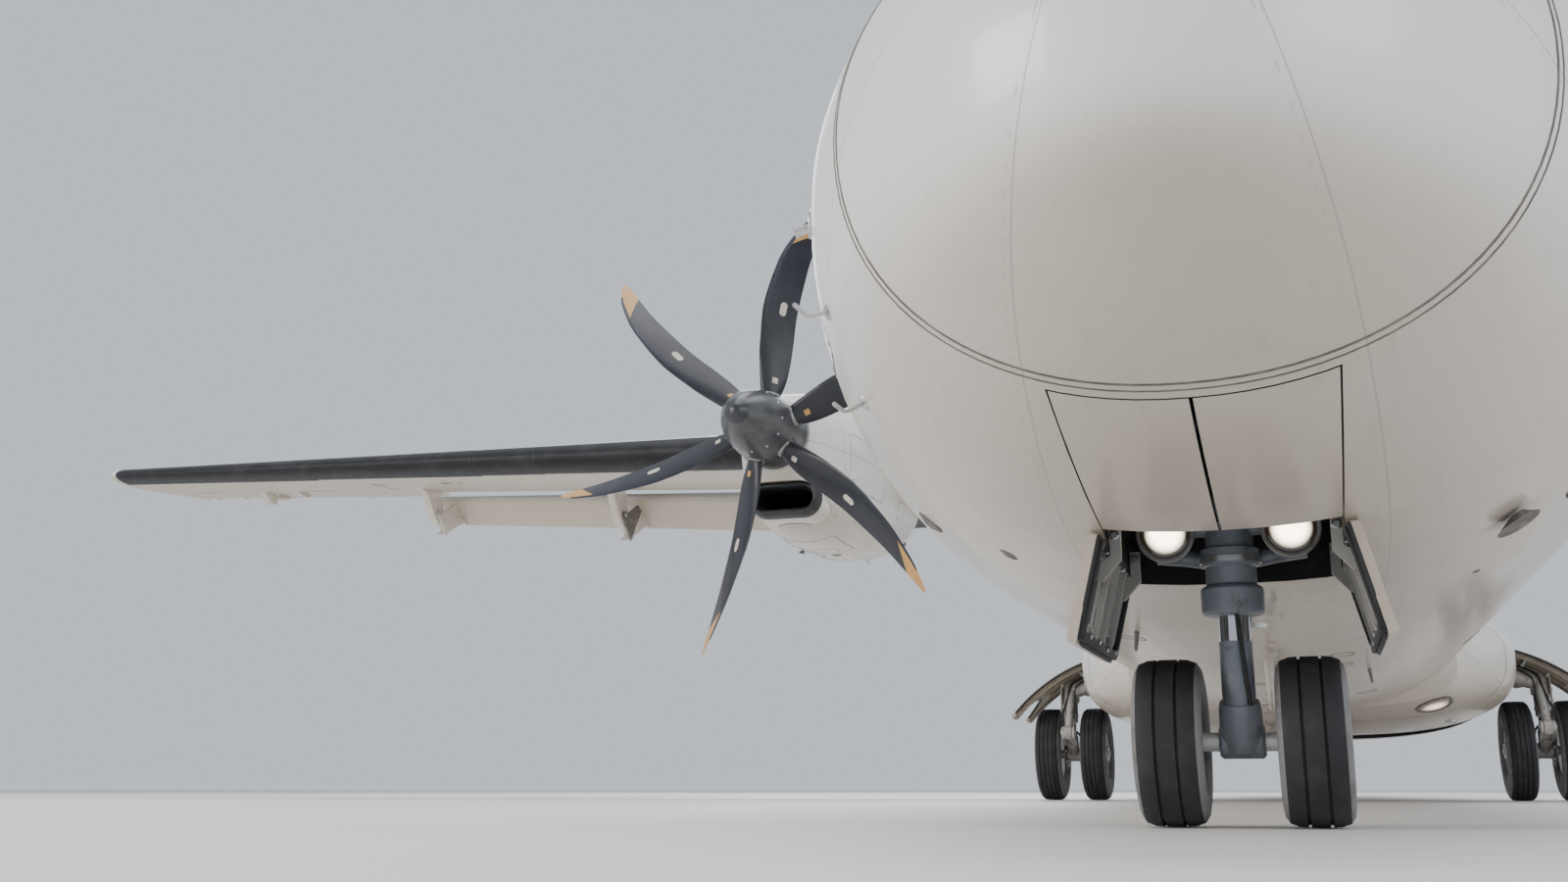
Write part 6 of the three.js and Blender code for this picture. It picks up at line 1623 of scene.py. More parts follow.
blade_finish.tint((0.28, 0.15, 0.06), blade_finish.ramp(scuff, 0.6, 0.75), blade_finish.ramp(tip, 1.6, 1.7), 0.5)
blade_finish.wear(0.26, 0.5, 9, 4)
blade_finish.grain(0.0004, 120, 2)
guard_metal = Finish("blade_guard", (0.045, 0.048, 0.06), rough=0.3, metal=0.7)
guard_metal.wear(0.22, 0.5, 30, 4)
guard_metal.cloud((0.028, 0.031, 0.042), 0.5, 0.7, 25, 4)
plate_pale = Finish("blade_balance_plate", (0.62, 0.57, 0.5), rough=0.45)
plate_pale.cloud((0.45, 0.38, 0.3), 0.45, 0.7, 60, 3)
plate_tan = Finish("tan_mark", (0.56, 0.3, 0.095), rough=0.45)
plate_tan.cloud((0.4, 0.22, 0.08), 0.45, 0.7, 60, 3)
spinner_grey = Finish("spinner_paint", (0.052, 0.054, 0.06), rough=0.34, metal=0.1, coat=0.2)
x = spinner_grey.axis("X")
spinner_grey.cloud((0.085, 0.087, 0.093), 0.4, 0.75, 6, 4)
spinner_grey.tint((0.02, 0.022, 0.028), spinner_grey.ramp(x, 4.86, 4.885), 0.9)
spinner_grey.tint((0.03, 0.03, 0.035), spinner_grey.line(x, 4.49, 0.003), 0.8)
spinner_grey.wear(0.26, 0.46, 10, 4)

for side, hand in SIDES:
    hub = Vector((PROP_PLANE, side * ENGINE_Y, THRUST_LINE))
    blades, plates = Build(), Build()
    for k in range(6):
        turn = Matrix.Rotation(radians(BLADE_PHASE + 60 * k), 3, "X")
        place = lambda p: hub + turn @ Vector(p)
        shares = (1 - np.cos(np.linspace(0, pi, 15))) / 2
        radii = [0.25, 0.29, 0.33, 0.38, *np.linspace(0.44, 1.86, 32), 1.9, 1.93, 1.95, 1.96, 1.965]
        rings = []
        for r in radii:
            ring = [place(blade_point(r, t, 1)) for t in shares] + [place(blade_point(r, t, -1))
                for t in shares[-2:0:-1]]
            if r > 1.955:
                middle = sum(ring, Vector()) / len(ring)
                ring = [middle.lerp(p, 0.8 if r < 1.963 else 0.45) for p in ring]
            rings.append(ring)
        blades.rings(rings)
        guard = []
        for r in np.linspace(0.95, 1.83, 18):  # the guard wraps the leading edge
            ring = []
            for t, up in [(s, 1) for s in (0.13, 0.07, 0.03, 0.008)] + [(0, 1)] + [(s, -1)
                    for s in (0.008, 0.03, 0.07, 0.13)]:
                p = blade_point(r, t, up)
                middle = (blade_point(r, 0.2, 1) + blade_point(r, 0.2, -1)) / 2
                ring.append(p + (p - middle).normalized() * (0.0016 if t < 0.12 else 0.0002))
            inner = [(blade_point(r, t, 1) + blade_point(r, t, -1)) / 2 for t in (0.11, 0.05, 0.02)]
            guard.append([place(p) for p in ring + inner])
        blades.rings(guard, 1)
        for face_up, sign in ((1, 1), (-1, -1)):
            at = stand_off(lambda r, t, f=face_up: place(blade_point(r, t / between(BLADE, r)[0] + 0.5, f)), sign)
            patch(plates, rounded(0.115, 0.062, 0.028, (1.02, 0.02), 4), at, -0.002, 0.0022, 0)
            patch(plates, rounded(0.03, 0.03, 0.013, (0.995, 0.02), 3), at, 0.001, 0.0034, 2)
            patch(plates, rounded(0.03, 0.03, 0.013, (1.045, 0.02), 3), at, 0.001, 0.0034, 2)
            patch(plates, rounded(0.05, 0.05, 0.008, (0.41, 0.015), 3), at, -0.002, 0.002, 1 if k % 2 else 0)
    blades.turned(hub + Vector((-0.15, 0, 0)), hub + Vector((0.15, 0, 0)),
                  [(0, 0.22), (0.01, 0.25), (0.05, 0.256), (0.25, 0.256), (0.29, 0.25), (0.3, 0.22)], 2, 48)
    blades.piece(f"propeller_blades_{hand}", [blade_finish, guard_metal, engine_metal], body=f"propeller_{hand}",
                 stands_for=f"propeller_{hand}", slot="blade")
    plates.piece(f"blade_plates_{hand}", [plate_pale, plate_tan, trim_metal], body=f"propeller_{hand}")
    shape = curve([(690, 0.5), (686, 22), (672, 52), (600, 125), (470, 200), (300, 258), (80, 290), (-160, 306),
        (-270, 306)], 6)
    profile = [(p[0] * MM, max(p[1], 0.1) * MM) for p in shape] + [(-0.275, 0.303), (-0.275, 0.27),
        (-0.2, 0.262), (-0.19, 0.0001)]
    cone = Build().turned(hub, hub + Vector((1, 0, 0)), profile, 0, 64)
    cone = cone.piece(f"spinner_shell_{hand}", [spinner_grey, joint_dark], body=f"propeller_{hand}",
                      stands_for=f"spinner_{hand}", slot="spinner")
    holes = []
    for k in range(6):
        out = Matrix.Rotation(radians(BLADE_PHASE + 60 * k), 3, "X") @ Vector((0, 0, 1))
        holes.append(("DIFFERENCE", Build().turned(hub + out * 0.235, hub + out * 0.45,
            [(0, 0.098), (0.215, 0.098)], sides=32)))
    carve(cone, *holes)
    for face in cone.data.polygons:
        p = face.center - hub
        if hypot(p.y, p.z) < 0.26 and -0.11 < p.x < 0.11 and abs(face.normal.x) < 0.5:
            face.material_index = 1
    cuffs = Build()
    for k in range(6):
        out = Matrix.Rotation(radians(BLADE_PHASE + 60 * k), 3, "X") @ Vector((0, 0, 1))
        cuffs.turned(hub + out * 0.238, hub + out * 0.3,
            [(0, 0.09), (0.03, 0.092), (0.05, 0.088), (0.062, 0.078)], 0, 32)
    for a in around(12):
        cuffs.rod(hub + Vector((0.27, 0.264 * cos(a), 0.264 * sin(a))),
                  hub + Vector((0.272, 0.2668 * cos(a), 0.2668 * sin(a))), 0.009, finish=1, sides=10)
    cuffs.piece(f"blade_cuffs_{hand}", [engine_metal, trim_metal], body=f"propeller_{hand}")

# Fin: a swept box with a long fillet ahead of it, and a heel below the rudder that holds its lower pin.
FIN_BASE = dict(z=3.395, lead=-8.35, chord=4.0, thick=0.11)
FIN_TOP = dict(z=7.15, lead=-10.95, chord=2.33, thick=0.11)
RUDDER_SHARE, RUDDER_FOOT, RUDDER_HEAD, RUDDER_END_GAP = 0.68, 3.47, 6.94, 0.038


def fin_at(z):
    share = (z - FIN_BASE["z"]) / (FIN_TOP["z"] - FIN_BASE["z"])
    return {k: FIN_BASE[k] + (FIN_TOP[k] - FIN_BASE[k]) * share for k in FIN_BASE}


def fin_point(section, share, side, extra=0.0):
    flat = {**section, "height": 0, "y": 0, "camber": 0}
    return section["lead"] - share * section["chord"], foil(flat, share, side)[2] + side * extra, section["z"]


FIN_RAKE = atan2(
    FIN_BASE["lead"] - RUDDER_SHARE * FIN_BASE["chord"] - (FIN_TOP["lead"] - RUDDER_SHARE * FIN_TOP["chord"]),
    FIN_TOP["z"] - FIN_BASE["z"])


def fin_arc(section, radius, angles):
    x = section["lead"] - RUDDER_SHARE * section["chord"]
    return [(x + radius / cos(FIN_RAKE) * cos(a), radius * sin(a), section["z"])
            for a in np.radians(angles)]


def fin_half(section):
    return fin_point(section, RUDDER_SHARE, 1)[1]


FIN_SHARES = (0.665, 0.58, 0.5, 0.4, 0.3, 0.21, 0.14, 0.09, 0.05, 0.025, 0.008)


def fin_nose(section):
    return [*(fin_point(section, s, 1) for s in FIN_SHARES), fin_point(section, 0, 1),
            *(fin_point(section, s, -1) for s in reversed(FIN_SHARES))]


def fin_ring(z):
    section = fin_at(z)
    return [*fin_nose(section), *fin_arc(section, fin_half(section) + 0.006, np.arange(-56, 57, 14))]


def fin_cap_ring(z):
    section = fin_at(z)
    return [fin_point(section, 1, 1, 0.005), fin_point(section, 0.85, 1), fin_point(section, 0.75, 1),
            *fin_nose(section), fin_point(section, 0.75, -1), fin_point(section, 0.85, -1),
            fin_point(section, 1, -1, 0.005)]


def tail_paint(name):
    paint = Finish(name, (0.83, 0.82, 0.8), rough=0.3, coat=0.35)
    x, y, z = paint.axis("X"), paint.axis("Y"), paint.axis("Z")
    paint.cloud((0.7, 0.67, 0.62), 0.45, 0.75, 1.1, 5, most=0.35)
    # faces that look down are tinted darker and warmer: painted shade under the tailplane and the bullet
    paint.tint((0.66, 0.61, 0.55), paint.ramp(paint.facing("Z"), -0.4, -0.9), 0.6)
    across, along = paint.comb(z, 0.62, 0.0025, 0.1), paint.comb(paint.size(y), 0.6, 0.0025, 0.05)
    flat = paint.ramp(paint.size(paint.facing("Z")), 0.6, 0.8)
    upright = paint.less(1, flat)
    joint = paint.plus(paint.times(across, upright), paint.times(along, flat))
    paint.tint((0.35, 0.33, 0.31), joint, 0.4)
    dots = paint.times(paint.comb(z, 0.62, 0.004, 0.07), paint.comb(x, 0.04, 0.005), upright)
    paint.tint((0.42, 0.39, 0.36), dots, 0.4)
    paint.raise_by(paint.less(dots, joint), 0.0012)
    paint.wear(0.24, 0.42, 6, 4)
    return paint


tail_white = tail_paint("white_tail_paint")
fin = Build().rings([fin_ring(z) for z in np.linspace(3.23, 6.98, 20)])
fin.rings([fin_cap_ring(z) for z in (6.978, 7.05, 7.12, 7.2)])
DORSAL = np.array([[-4900, 3408, 20], [-7000, 3520, 52], [-8400, 3760, 88], [-9000, 4150, 100]]) * 0.001
fillet = []
for x in np.linspace(-4.9, -9.0, 36):
    top, half = between(DORSAL, x)
    right = curve([(half, 3.24), (half * 0.92, 3.3 + (top - 3.3) * 0.25), (half * 0.55, 3.3 + (top - 3.3) * 0.6),
                   (0.012, top - 0.004), (0.0, top)], 4)
    fillet.append([(x, u, v) for u, v in right] + [(x, -u, v) for u, v in right[-2::-1]])
fin.rings(fillet)
heel_top = RUDDER_FOOT - RUDDER_END_GAP
heel_section = fin_at(heel_top)
heel_x = heel_section["lead"] - RUDDER_SHARE * heel_section["chord"]
fin.block((heel_x - 0.16, -0.034, 3.25), (heel_x + 0.24, 0.034, heel_top), edge=0.012)
for z in (4.3, 5.4, 6.4):  # hinge fairings on both flanks
    section = fin_at(z)
    for side in (1, -1):
        start = Vector(fin_point(section, 0.6, side))
        end = Vector(fin_point(section, 0.664, side))
        fin.turned(start + Vector((0.1, 0, 0)), end + Vector((0.012, 0, 0)),
                   [(0, 0.002), (0.05, 0.016), (0.16, 0.022), ((end - start).length + 0.085, 0.018)], sides=16)
fin.piece("fin_skin", [tail_white], stands_for="fin", slot="white_paint")
fin_boot = Build()


def boot_ring(point, section, shares, middle):
    """A section of a rubber sheet round a leading edge, pushed out from a point inside the nose."""
    line = [Vector(point(section, s, 1)) for s in (*shares, 0)] + [Vector(point(section, s, -1)) for s in shares[::-1]]
    outer = [p + (p - middle).normalized() * (0.0025 if 0 < k < 10 else 0.0004) for k, p in enumerate(line)]
    return outer + [p - (p - middle).normalized() * 0.004 for p in line[::-1]]


fin_boot.rings([boot_ring(fin_point, fin_at(z), (0.09, 0.07, 0.045, 0.022, 0.006),
                          Vector((fin_at(z)["lead"] - 0.12 * fin_at(z)["chord"], 0, z)))
                for z in np.linspace(4.35, 7.05, 10)])

# Rudder: one surface behind the fin on a raked hinge, with a balance tab and static wicks.
rudder = Build()
rings = []
for z in np.linspace(RUDDER_FOOT, RUDDER_HEAD, 18):
    section = fin_at(z)
    rings.append([*fin_arc(section, fin_half(section) - 0.002, np.arange(-90, 91, 15)),
                  fin_point(section, 0.76, 1), fin_point(section, 0.85, 1), fin_point(section, 1, 1, 0.004),
                  fin_point(section, 1, -1, 0.004), fin_point(section, 0.85, -1), fin_point(section, 0.76, -1)])
rudder.rings(rings)


def rudder_line(z):
    section = fin_at(z)
    return Vector((section["lead"] - RUDDER_SHARE * section["chord"], 0, z))


for low, high in ((RUDDER_FOOT - 0.08, RUDDER_FOOT + 0.03), (RUDDER_HEAD - 0.03, RUDDER_HEAD + 0.09)):
    rudder.rod(rudder_line(low), rudder_line(high), 0.014, finish=1)
for side in (1, -1):  # the tab's outline and its horn
    at = stand_off(lambda u, v, s=side: fin_point(fin_at(v), u, s), -side)
    rim(rudder, rounded(0.12, 1.5, 0.01, (0.93, 4.75), 3), at, 0.0025, -0.002, 0.0012, 2)
rudder.rod(Vector(fin_point(fin_at(4.4), 0.8, 1)) + Vector((0, 0.002, 0)),
           Vector(fin_point(fin_at(4.4), 0.885, 1)) + Vector((0, 0.03, 0)), 0.007, finish=1, sides=10)
rudder.piece("rudder_skin", [tail_white, trim_metal, joint_dark], body="rudder", stands_for="rudder",
    slot="white_paint")
wicks = Build()
for z in (5.2, 6.0, 6.6, 6.9):
    start = Vector(fin_point(fin_at(z), 1, 1))
    wicks.rod(start + Vector((0.02, 0, 0)), start + Vector((-0.1, 0, 0.01)), 0.0035, sides=8)
wicks.piece("static_wicks_rudder", [joint_dark], body="rudder")

# Tailplane: one piece over the fin's head, bolted there under a bullet, with a red beacon on top.
TAIL_ROOT = dict(lead=-10.93, chord=2.29, height=7.27, thick=0.12, camber=-0.005)
TAIL_TIP = dict(lead=-11.6, chord=1.29, height=7.27, thick=0.11, camber=-0.005)
TAIL_HALF = 3.655
ELEVATOR_SHARE, ELEVATOR_SPAN = 0.64, (0.15, 3.59)


def tail_at(y):
    share = abs(y) / TAIL_HALF
    return {"y": y, **{k: TAIL_ROOT[k] + (TAIL_TIP[k] - TAIL_ROOT[k]) * share for k in TAIL_ROOT}}


TAIL_SHARES = (0.622, 0.53, 0.44, 0.35, 0.27, 0.19, 0.13, 0.08, 0.045, 0.02, 0.006)


def tail_nose(section):
    return [*(foil(section, s, 1) for s in TAIL_SHARES), foil(section, 0, 1),
            *(foil(section, s, -1) for s in reversed(TAIL_SHARES))]


def elevator_hinge(y):
    section = tail_at(y)
    upper, lower = Vector(foil(section, ELEVATOR_SHARE, 1)), Vector(foil(section, ELEVATOR_SHARE, -1))
    return (upper + lower) / 2, (upper.z - lower.z) / 2 - 0.002


def elevator_arc(y, extra, angles):
    hinge, radius = elevator_hinge(y)
    return [(hinge.x + (radius + extra) * cos(a), y, hinge.z + (radius + extra) * sin(a))
            for a in np.radians(angles)]


def tail_tip_ring(y, size):
    section = {**tail_at(3.64 if y > 0 else -3.64), "y": y}
    middle = Vector((section["lead"] - 0.45 * section["chord"], y, section["height"]))
    ring = tail_nose(section) + foils(section, (0.8, -1), (1, -1, 3), (1, 1, -3), (0.8, 1))
    return [Vector(p).lerp(middle, 1 - size) for p in ring]


BULLET = np.array([[-10560, 30, 7330, 7270], [-10760, 120, 7440, 7160], [-11200, 165, 7530, 7118],
                   [-12100, 150, 7560, 7118], [-12950, 95, 7480, 7160], [-13583, 18, 7330, 7290]]) * 0.001
tailplane = Build()
tailplane.rings([[*tail_nose(tail_at(y)), *elevator_arc(y, 0.008, np.arange(-56, 57, 14))]
                 for y in np.linspace(-3.605, 3.605, 25)])
for side in (1, -1):
    tailplane.rings([tail_tip_ring(side * y, size) for y, size in
                     ((3.6, 1), (3.62, 0.995), (3.635, 0.97), (3.646, 0.91), (3.653, 0.82), (3.655, 0.7))])
bullet = []
for x in [-10.562, -10.58, -10.62, -10.68, *np.linspace(-10.76, -13.4, 34), -13.5, -13.55, -13.583]:
    half, top, bottom = between(BULLET, x)
    nose = sqrt(min(max((-10.55 - x) / 0.2, 0.02), 1))
    a = np.arange(40) * 2 * np.pi / 40
    bullet.append(np.column_stack([np.full(40, x), half * nose * np.cos(a),
                                   (top + bottom) / 2 + (top - bottom) / 2 * nose * np.sin(a)]))
tailplane.rings(bullet)
tailplane.piece("tailplane_skin", [tail_white], stands_for="tailplane", slot="white_paint")
beacon_red = Finish("beacon_lens", (0.45, 0.012, 0.01), rough=0.12, coat=0.8, glow=((0.8, 0.03, 0.02), 0.25))
beacon_red.cloud((0.6, 0.05, 0.03), 0.45, 0.7, 40, 3)
BEACON_X = -11.7
beacon = Build()
beacon.turned((BEACON_X, 0, 7.53), (BEACON_X, 0, 7.65), [(0, 0.056), (0.03, 0.056), (0.033, 0.05), (0.036, 0.046)], 1)
beacon.turned((BEACON_X, 0, 7.56), (BEACON_X, 0, 7.65),
    [(0, 0.045), (0.03, 0.045), (0.055, 0.041), (0.075, 0.032), (0.086, 0.018), (0.09, 0.004)], 0)
for side in (1, -1):
    at = stand_off(lambda u, v, s=side: (u, s * between(BULLET, u)[0] * sqrt(
        max(1 - ((v - 7.33) / 0.22) ** 2, 0.05)), v), -side)
    rim(beacon, rounded(0.9, 0.16, 0.05, (-11.5, 7.34), 3), at, 0.005, -0.004, 0.0012, 2)
beacon.piece("beacon", [beacon_red, trim_metal, joint_dark])
for side in (1, -1):
    sections = [tail_at(side * y) for y in np.linspace(0.3, 3.56, 10)]
    fin_boot.rings([boot_ring(foil, s, (0.075, 0.055, 0.035, 0.018, 0.005),
                              Vector((s["lead"] - 0.11 * s["chord"], s["y"], s["height"]))) for s in sections])
fin_boot.piece("tail_boots", [boot_black], slot="black_boot", sharp=50)

# Elevators: two surfaces behind the tailplane, each with a trim tab and wicks.
for side, hand in SIDES:
    rings = []
    for y in np.linspace(*ELEVATOR_SPAN, 14):
        section = tail_at(side * y)
        rings.append(elevator_arc(side * y, 0, np.arange(-90, 91, 15)) + foils(
            section, (0.74, 1), (0.84, 1), (1, 1, -4), (1, -1, 4), (0.84, -1), (0.74, -1)))
    panel = Build().rings(rings)
    for end, way in ((ELEVATOR_SPAN[0], -0.066), (ELEVATOR_SPAN[1], 0.04)):
        start = elevator_hinge(side * end)[0]
        panel.rod(start, start + Vector((0, side * way, 0)), 0.01, finish=1)
    for face_up in (1, -1):
        at = stand_off(lambda u, v, f=face_up: foil(tail_at(side * v), u, f), side * face_up)
        rim(panel, rounded(0.11, 1.1, 0.01, (0.93, 0.95), 3), at, 0.0025, -0.002, 0.0012, 2)
    panel.piece(f"elevator_skin_{hand}", [tail_white, trim_metal, joint_dark], body=f"elevator_{hand}",
                stands_for=f"elevator_{hand}", slot="white_paint")
    wicks = Build()
    for y in (2.2, 2.9, 3.3, 3.55):
        start = Vector(foil(tail_at(side * y), 1, 1, 0.002))
        wicks.rod(start + Vector((0.02, 0, 0)), start + Vector((-0.09, 0, 0)), 0.0035, sides=8)
    wicks.piece(f"static_wicks_elevator_{hand}", [joint_dark], body=f"elevator_{hand}")

# Nose bay doors: the front pair closes again round the leg; the rear pair hangs open beside it, with pressed frames,
# lightening holes drawn as dark patches of painted shade and a rubber edge on the inner side.
GEAR_X, LEG_AXLE = 11.67, Vector((11.625, 0, 0.225))
for side, hand in SIDES:
    front = body_stretch(12.9, 12.05, step=0.07)
    front = front.piece(f"nose_door_front_{hand}", [white_paint, bay_black], stands_for=f"nose_gear_door_front_{hand}",
                        slot="white_paint")
    y_low, y_high = sorted((side * 0.004, side * 0.2896))
    carve(front, ("INTERSECT", box_tool((12.084, y_low, 0.3), (12.894, y_high, 1.1))),
          ("DIFFERENCE", body_stretch(13.0, 11.9, grow=-0.026, step=0.07)))
    # the door's inner faces take the near-black bay lining: painted shade inside the bay
    for face in front.data.polygons:
        if face.center.z > body_floor(face.center.x, face.center.y) + 0.012:
            face.material_index = 1
    rear = Build()
    xs = np.linspace(11.36, 12.07, 9)
    section = [(0.304, 0.742), (0.33, 0.742), (0.352, 0.655), (0.374, 0.56), (0.3975, 0.47), (0.3735, 0.462),
               (0.351, 0.552), (0.328, 0.648)]
    ends = lambda x: 0.985 if x in (xs[0], xs[-1]) else 1
    middle = np.mean(section, axis=0)
    rear.rings([[(x, side * (middle[0] + (y - middle[0]) * ends(x)), middle[1] + (z - middle[1]) * ends(x))
                 for y, z in section] for x in xs], 0)
    slope = Vector((0, (0.3735 - 0.304), 0.462 - 0.742)).normalized()
    inner = lambda u, v, out: Vector((u, side * (0.304 + slope.y * v - out * 0.97), 0.742 + slope.z * v - out * 0.24))
    rim(rear, rounded(0.69, 0.27, 0.02, (11.715, 0.142), 4), inner, 0.026, -0.002, 0.016, 2)
    # the lightening holes are dark patches: painted shade of the hollows behind them, each in a raised rim
    for x, v, long, wide in ((11.97, 0.14, 0.07, 0.17), (11.885, 0.085, 0.045, 0.07), (11.885, 0.2, 0.045, 0.07),
                             (11.8, 0.14, 0.05, 0.18), (11.47, 0.14, 0.05, 0.19), (11.6, 0.235, 0.12, 0.02)):
        patch(rear, rounded(long, wide, 0.018, (x, v), 4), inner, -0.001, 0.0032, 2, edge=0.004)
        rim(rear, rounded(long + 0.014, wide + 0.014, 0.024, (x, v), 4), inner, 0.006, -0.001, 0.008, 1)
    for u, v in ((11.43, 0.03), (11.6, 0.03), (11.77, 0.03), (11.94, 0.03), (11.43, 0.255), (11.6, 0.262),
            (11.77, 0.255), (11.94, 0.255)):
        patch(rear, rounded(0.018, 0.018, 0.009, (u, v), 3), inner, 0.0, 0.019, 3)
    for x in (11.53, 11.68, 11.84):
        rib = ((0.03, -0.002), (0.03, 0.016), (0.26, 0.016), (0.26, -0.002))
        rear.rings([[inner(x + dx, v, o) for v, o in rib] for dx in (-0.009, 0.009)], 1)
    seal_line = [inner(11.365, 0.004, 0.002), inner(11.365, 0.282, 0.002), inner(12.065, 0.282, 0.002),
        inner(12.065, 0.004, 0.002)]
    rear.tube(seal_line, 0.007, 2, 8)
    for x in (11.46, 11.92):
        arm = [(0.345, 0.636), (0.345, 0.664), (0.2896, 0.7), (0.2896, 0.775), (0.262, 0.775), (0.262, 0.69),
            (0.31, 0.636)]
        rear.rings([[(px, side * y, z) for y, z in arm] for px in (x + 0.006, x + 0.034)], 1)
        rear.rod((x - 0.006, side * 0.276, 0.752), (x + 0.046, side * 0.276, 0.752), 0.012, finish=3)
        rear.rod((x - 0.002, side * 0.338, 0.65), (x + 0.042, side * 0.338, 0.65), 0.01, finish=3)
    rear = rear.piece(f"nose_door_rear_{hand}", [white_paint, cabin_grey, seal, trim_metal],
                      stands_for=f"nose_gear_door_rear_{hand}", slot="white_paint")
    for face in rear.data.polygons:  # the plain inner side of the shell is grey
        if face.material_index == 0 and abs(face.normal.x) < 0.5 and -side * face.normal.y > 0.5:
            face.material_index = 1

# Nose gear: a forged leg with a chromed slide, drag struts to the bay's front, and two taxi lamps. The
# fork below the collar steers; its pair of small wheels turns as one on the axle.
gear_paint = Finish("gear_leg_paint", (0.2, 0.225, 0.26), rough=0.42, metal=0.15, coat=0.15)
gear_paint.cloud((0.13, 0.14, 0.155), 0.45, 0.72, 9, 5)
gear_paint.cloud((0.1, 0.09, 0.08), 0.56, 0.72, 30, 4, most=0.6)
gear_paint.grain(0.0008, 70, 3)
gear_paint.wear(0.32, 0.6, 15, 3)
main_paint = Finish("main_leg_paint", (0.5, 0.475, 0.445), rough=0.42, metal=0.1, coat=0.2)
main_paint.cloud((0.33, 0.305, 0.28), 0.45, 0.72, 8, 5)
main_paint.cloud((0.1, 0.085, 0.07), 0.56, 0.72, 28, 4, most=0.7)
main_paint.grain(0.0008, 70, 3)
main_paint.wear(0.3, 0.58, 15, 3)
door_lining = Finish("door_inner_primer", (0.45, 0.395, 0.32), rough=0.6)
door_lining.cloud((0.34, 0.285, 0.225), 0.4, 0.75, 4, 5)
door_lining.grain(0.0006, 60, 3)
chrome = Finish("chromed_slide", (0.55, 0.56, 0.58), rough=0.12, metal=1.0)
chrome.wear(0.06, 0.2, 60, 3)
chrome.cloud((0.55, 0.54, 0.52), 0.5, 0.75, 25, 3)
hose_black = Finish("hose_rubber", (0.02, 0.02, 0.02), rough=0.6)
hose_black.grain(0.0004, 200, 2)
tyre_rubber = Finish("tyre_rubber", (0.02, 0.02, 0.024), rough=0.7)
tyre_rubber.cloud((0.038, 0.036, 0.036), 0.45, 0.75, 11, 5)
tyre_rubber.grain(0.0008, 160, 3)
tyre_rubber.wear(0.62, 0.85, 20, 3)
# pale grey sidewalls: partly dust and partly painted light on the sidewall
tyre_side = Finish("tyre_sidewall", (0.21, 0.205, 0.205), rough=0.65)
tyre_side.cloud((0.12, 0.118, 0.118), 0.42, 0.75, 14, 5)
tyre_side.grain(0.0006, 120, 3)
wheel_paint = Finish("wheel_casting", (0.7, 0.7, 0.69), rough=0.35, metal=0.3)
wheel_paint.cloud((0.5, 0.49, 0.47), 0.5, 0.75, 16, 4)
wheel_paint.cloud((0.2, 0.18, 0.155), 0.6, 0.74, 50, 4, most=0.6)
wheel_paint.grain(0.0006, 90, 3)
lamp_white = Finish("taxi_lamp", (0.85, 0.78, 0.66), rough=0.12, coat=0.8, glow=((1.0, 0.86, 0.66), 1.0))
TAXI_LAMP_Y = 0.165
across = lamp_white.less(lamp_white.size(lamp_white.axis("Y")), TAXI_LAMP_Y)
up = lamp_white.less(lamp_white.axis("Z"), 0.7845)
away = lamp_white.sum("SQRT", lamp_white.plus(lamp_white.times(across, across), lamp_white.times(up, up)))
lamp_white.glow_by(lamp_white.ramp(away, 0.058, 0.028), 9.0)
lamp_white.tint((0.1, 0.07, 0.05), lamp_white.ramp(away, 0.045, 0.06))

# Nose bay: pipes, cable looms, relay boxes and the strut that locks the leg down, inside the dark bay.
pipes = Build()
for side in (1, -1):
    pipes.tube([(11.36, side * 0.262, 0.93), (11.98, side * 0.262, 0.96), (12.05, side * 0.255, 1.27)], 0.009, 1)
    pipes.tube([(11.36, side * 0.245, 1.06), (12.55, side * 0.26, 1.12), (12.8, side * 0.2, 1.2)], 0.007, 1)
    pipes.tube([(11.37, side * 0.2, 0.86), (11.5, side * 0.21, 0.88), (11.56, side * 0.16, 1.0),
        (11.6, side * 0.07, 1.08)], 0.008, 2)
    pipes.tube([(11.37, side * 0.12, 0.9), (11.46, side * 0.12, 0.99), (11.5, side * 0.06, 1.15),
        (11.52, side * 0.03, 1.31)], 0.006, 2)
    pipes.block((11.36, side * 0.15, 1.06), (11.45, side * 0.265, 1.18), finish=3, edge=0.008)
    pipes.block((11.8, side * 0.21, 1.02), (11.95, side * 0.275, 1.12), finish=0, edge=0.008)
    for x in (11.5, 11.75, 12.2, 12.45):
        pipes.block((x, side * 0.238, 0.915), (x + 0.02, side * 0.275, 1.135), finish=3, edge=0.004)
        pipes.rod((x + 0.01, side * 0.236, 1.0), (x + 0.01, side * 0.229, 1.0), 0.008, finish=1, sides=6)
    pipes.rod((11.47, side * 0.03, 0.96), (11.47, side * 0.286, 0.96), 0.017, finish=3)
pipes.turned((11.48, 0, 1.27), (11.64, 0, 0.93), [(0, 0.02), (0.01, 0.03), (0.2, 0.03), (0.21, 0.017),
    (0.375, 0.017)], 0, 24)
pipes.rod((12.28, 0, 1.22), (11.72, 0, 1.02), 0.022, 0.018, finish=3)
pipes.pin((12.28, 0, 1.225), 0.11, 0.018, finish=1)
for y in (-0.16, -0.05, 0.06, 0.17):
    pipes.tube([(11.36, y, 1.24), (12.0, y + 0.02, 1.29), (12.84, y, 1.24)], 0.008, 1 if y < 0 else 2)
pipes.piece("nose_bay_pipes", [cabin_grey, trim_metal, hose_black, gear_paint])

# Nose leg: the forging from its cross tube down to the collar, its drag struts, hoses and taxi lamps.
leg = Build()


def ahead(x, y, z):
    """A place by its distance ahead of the nose leg."""
    return Vector((GEAR_X + x, y, z))


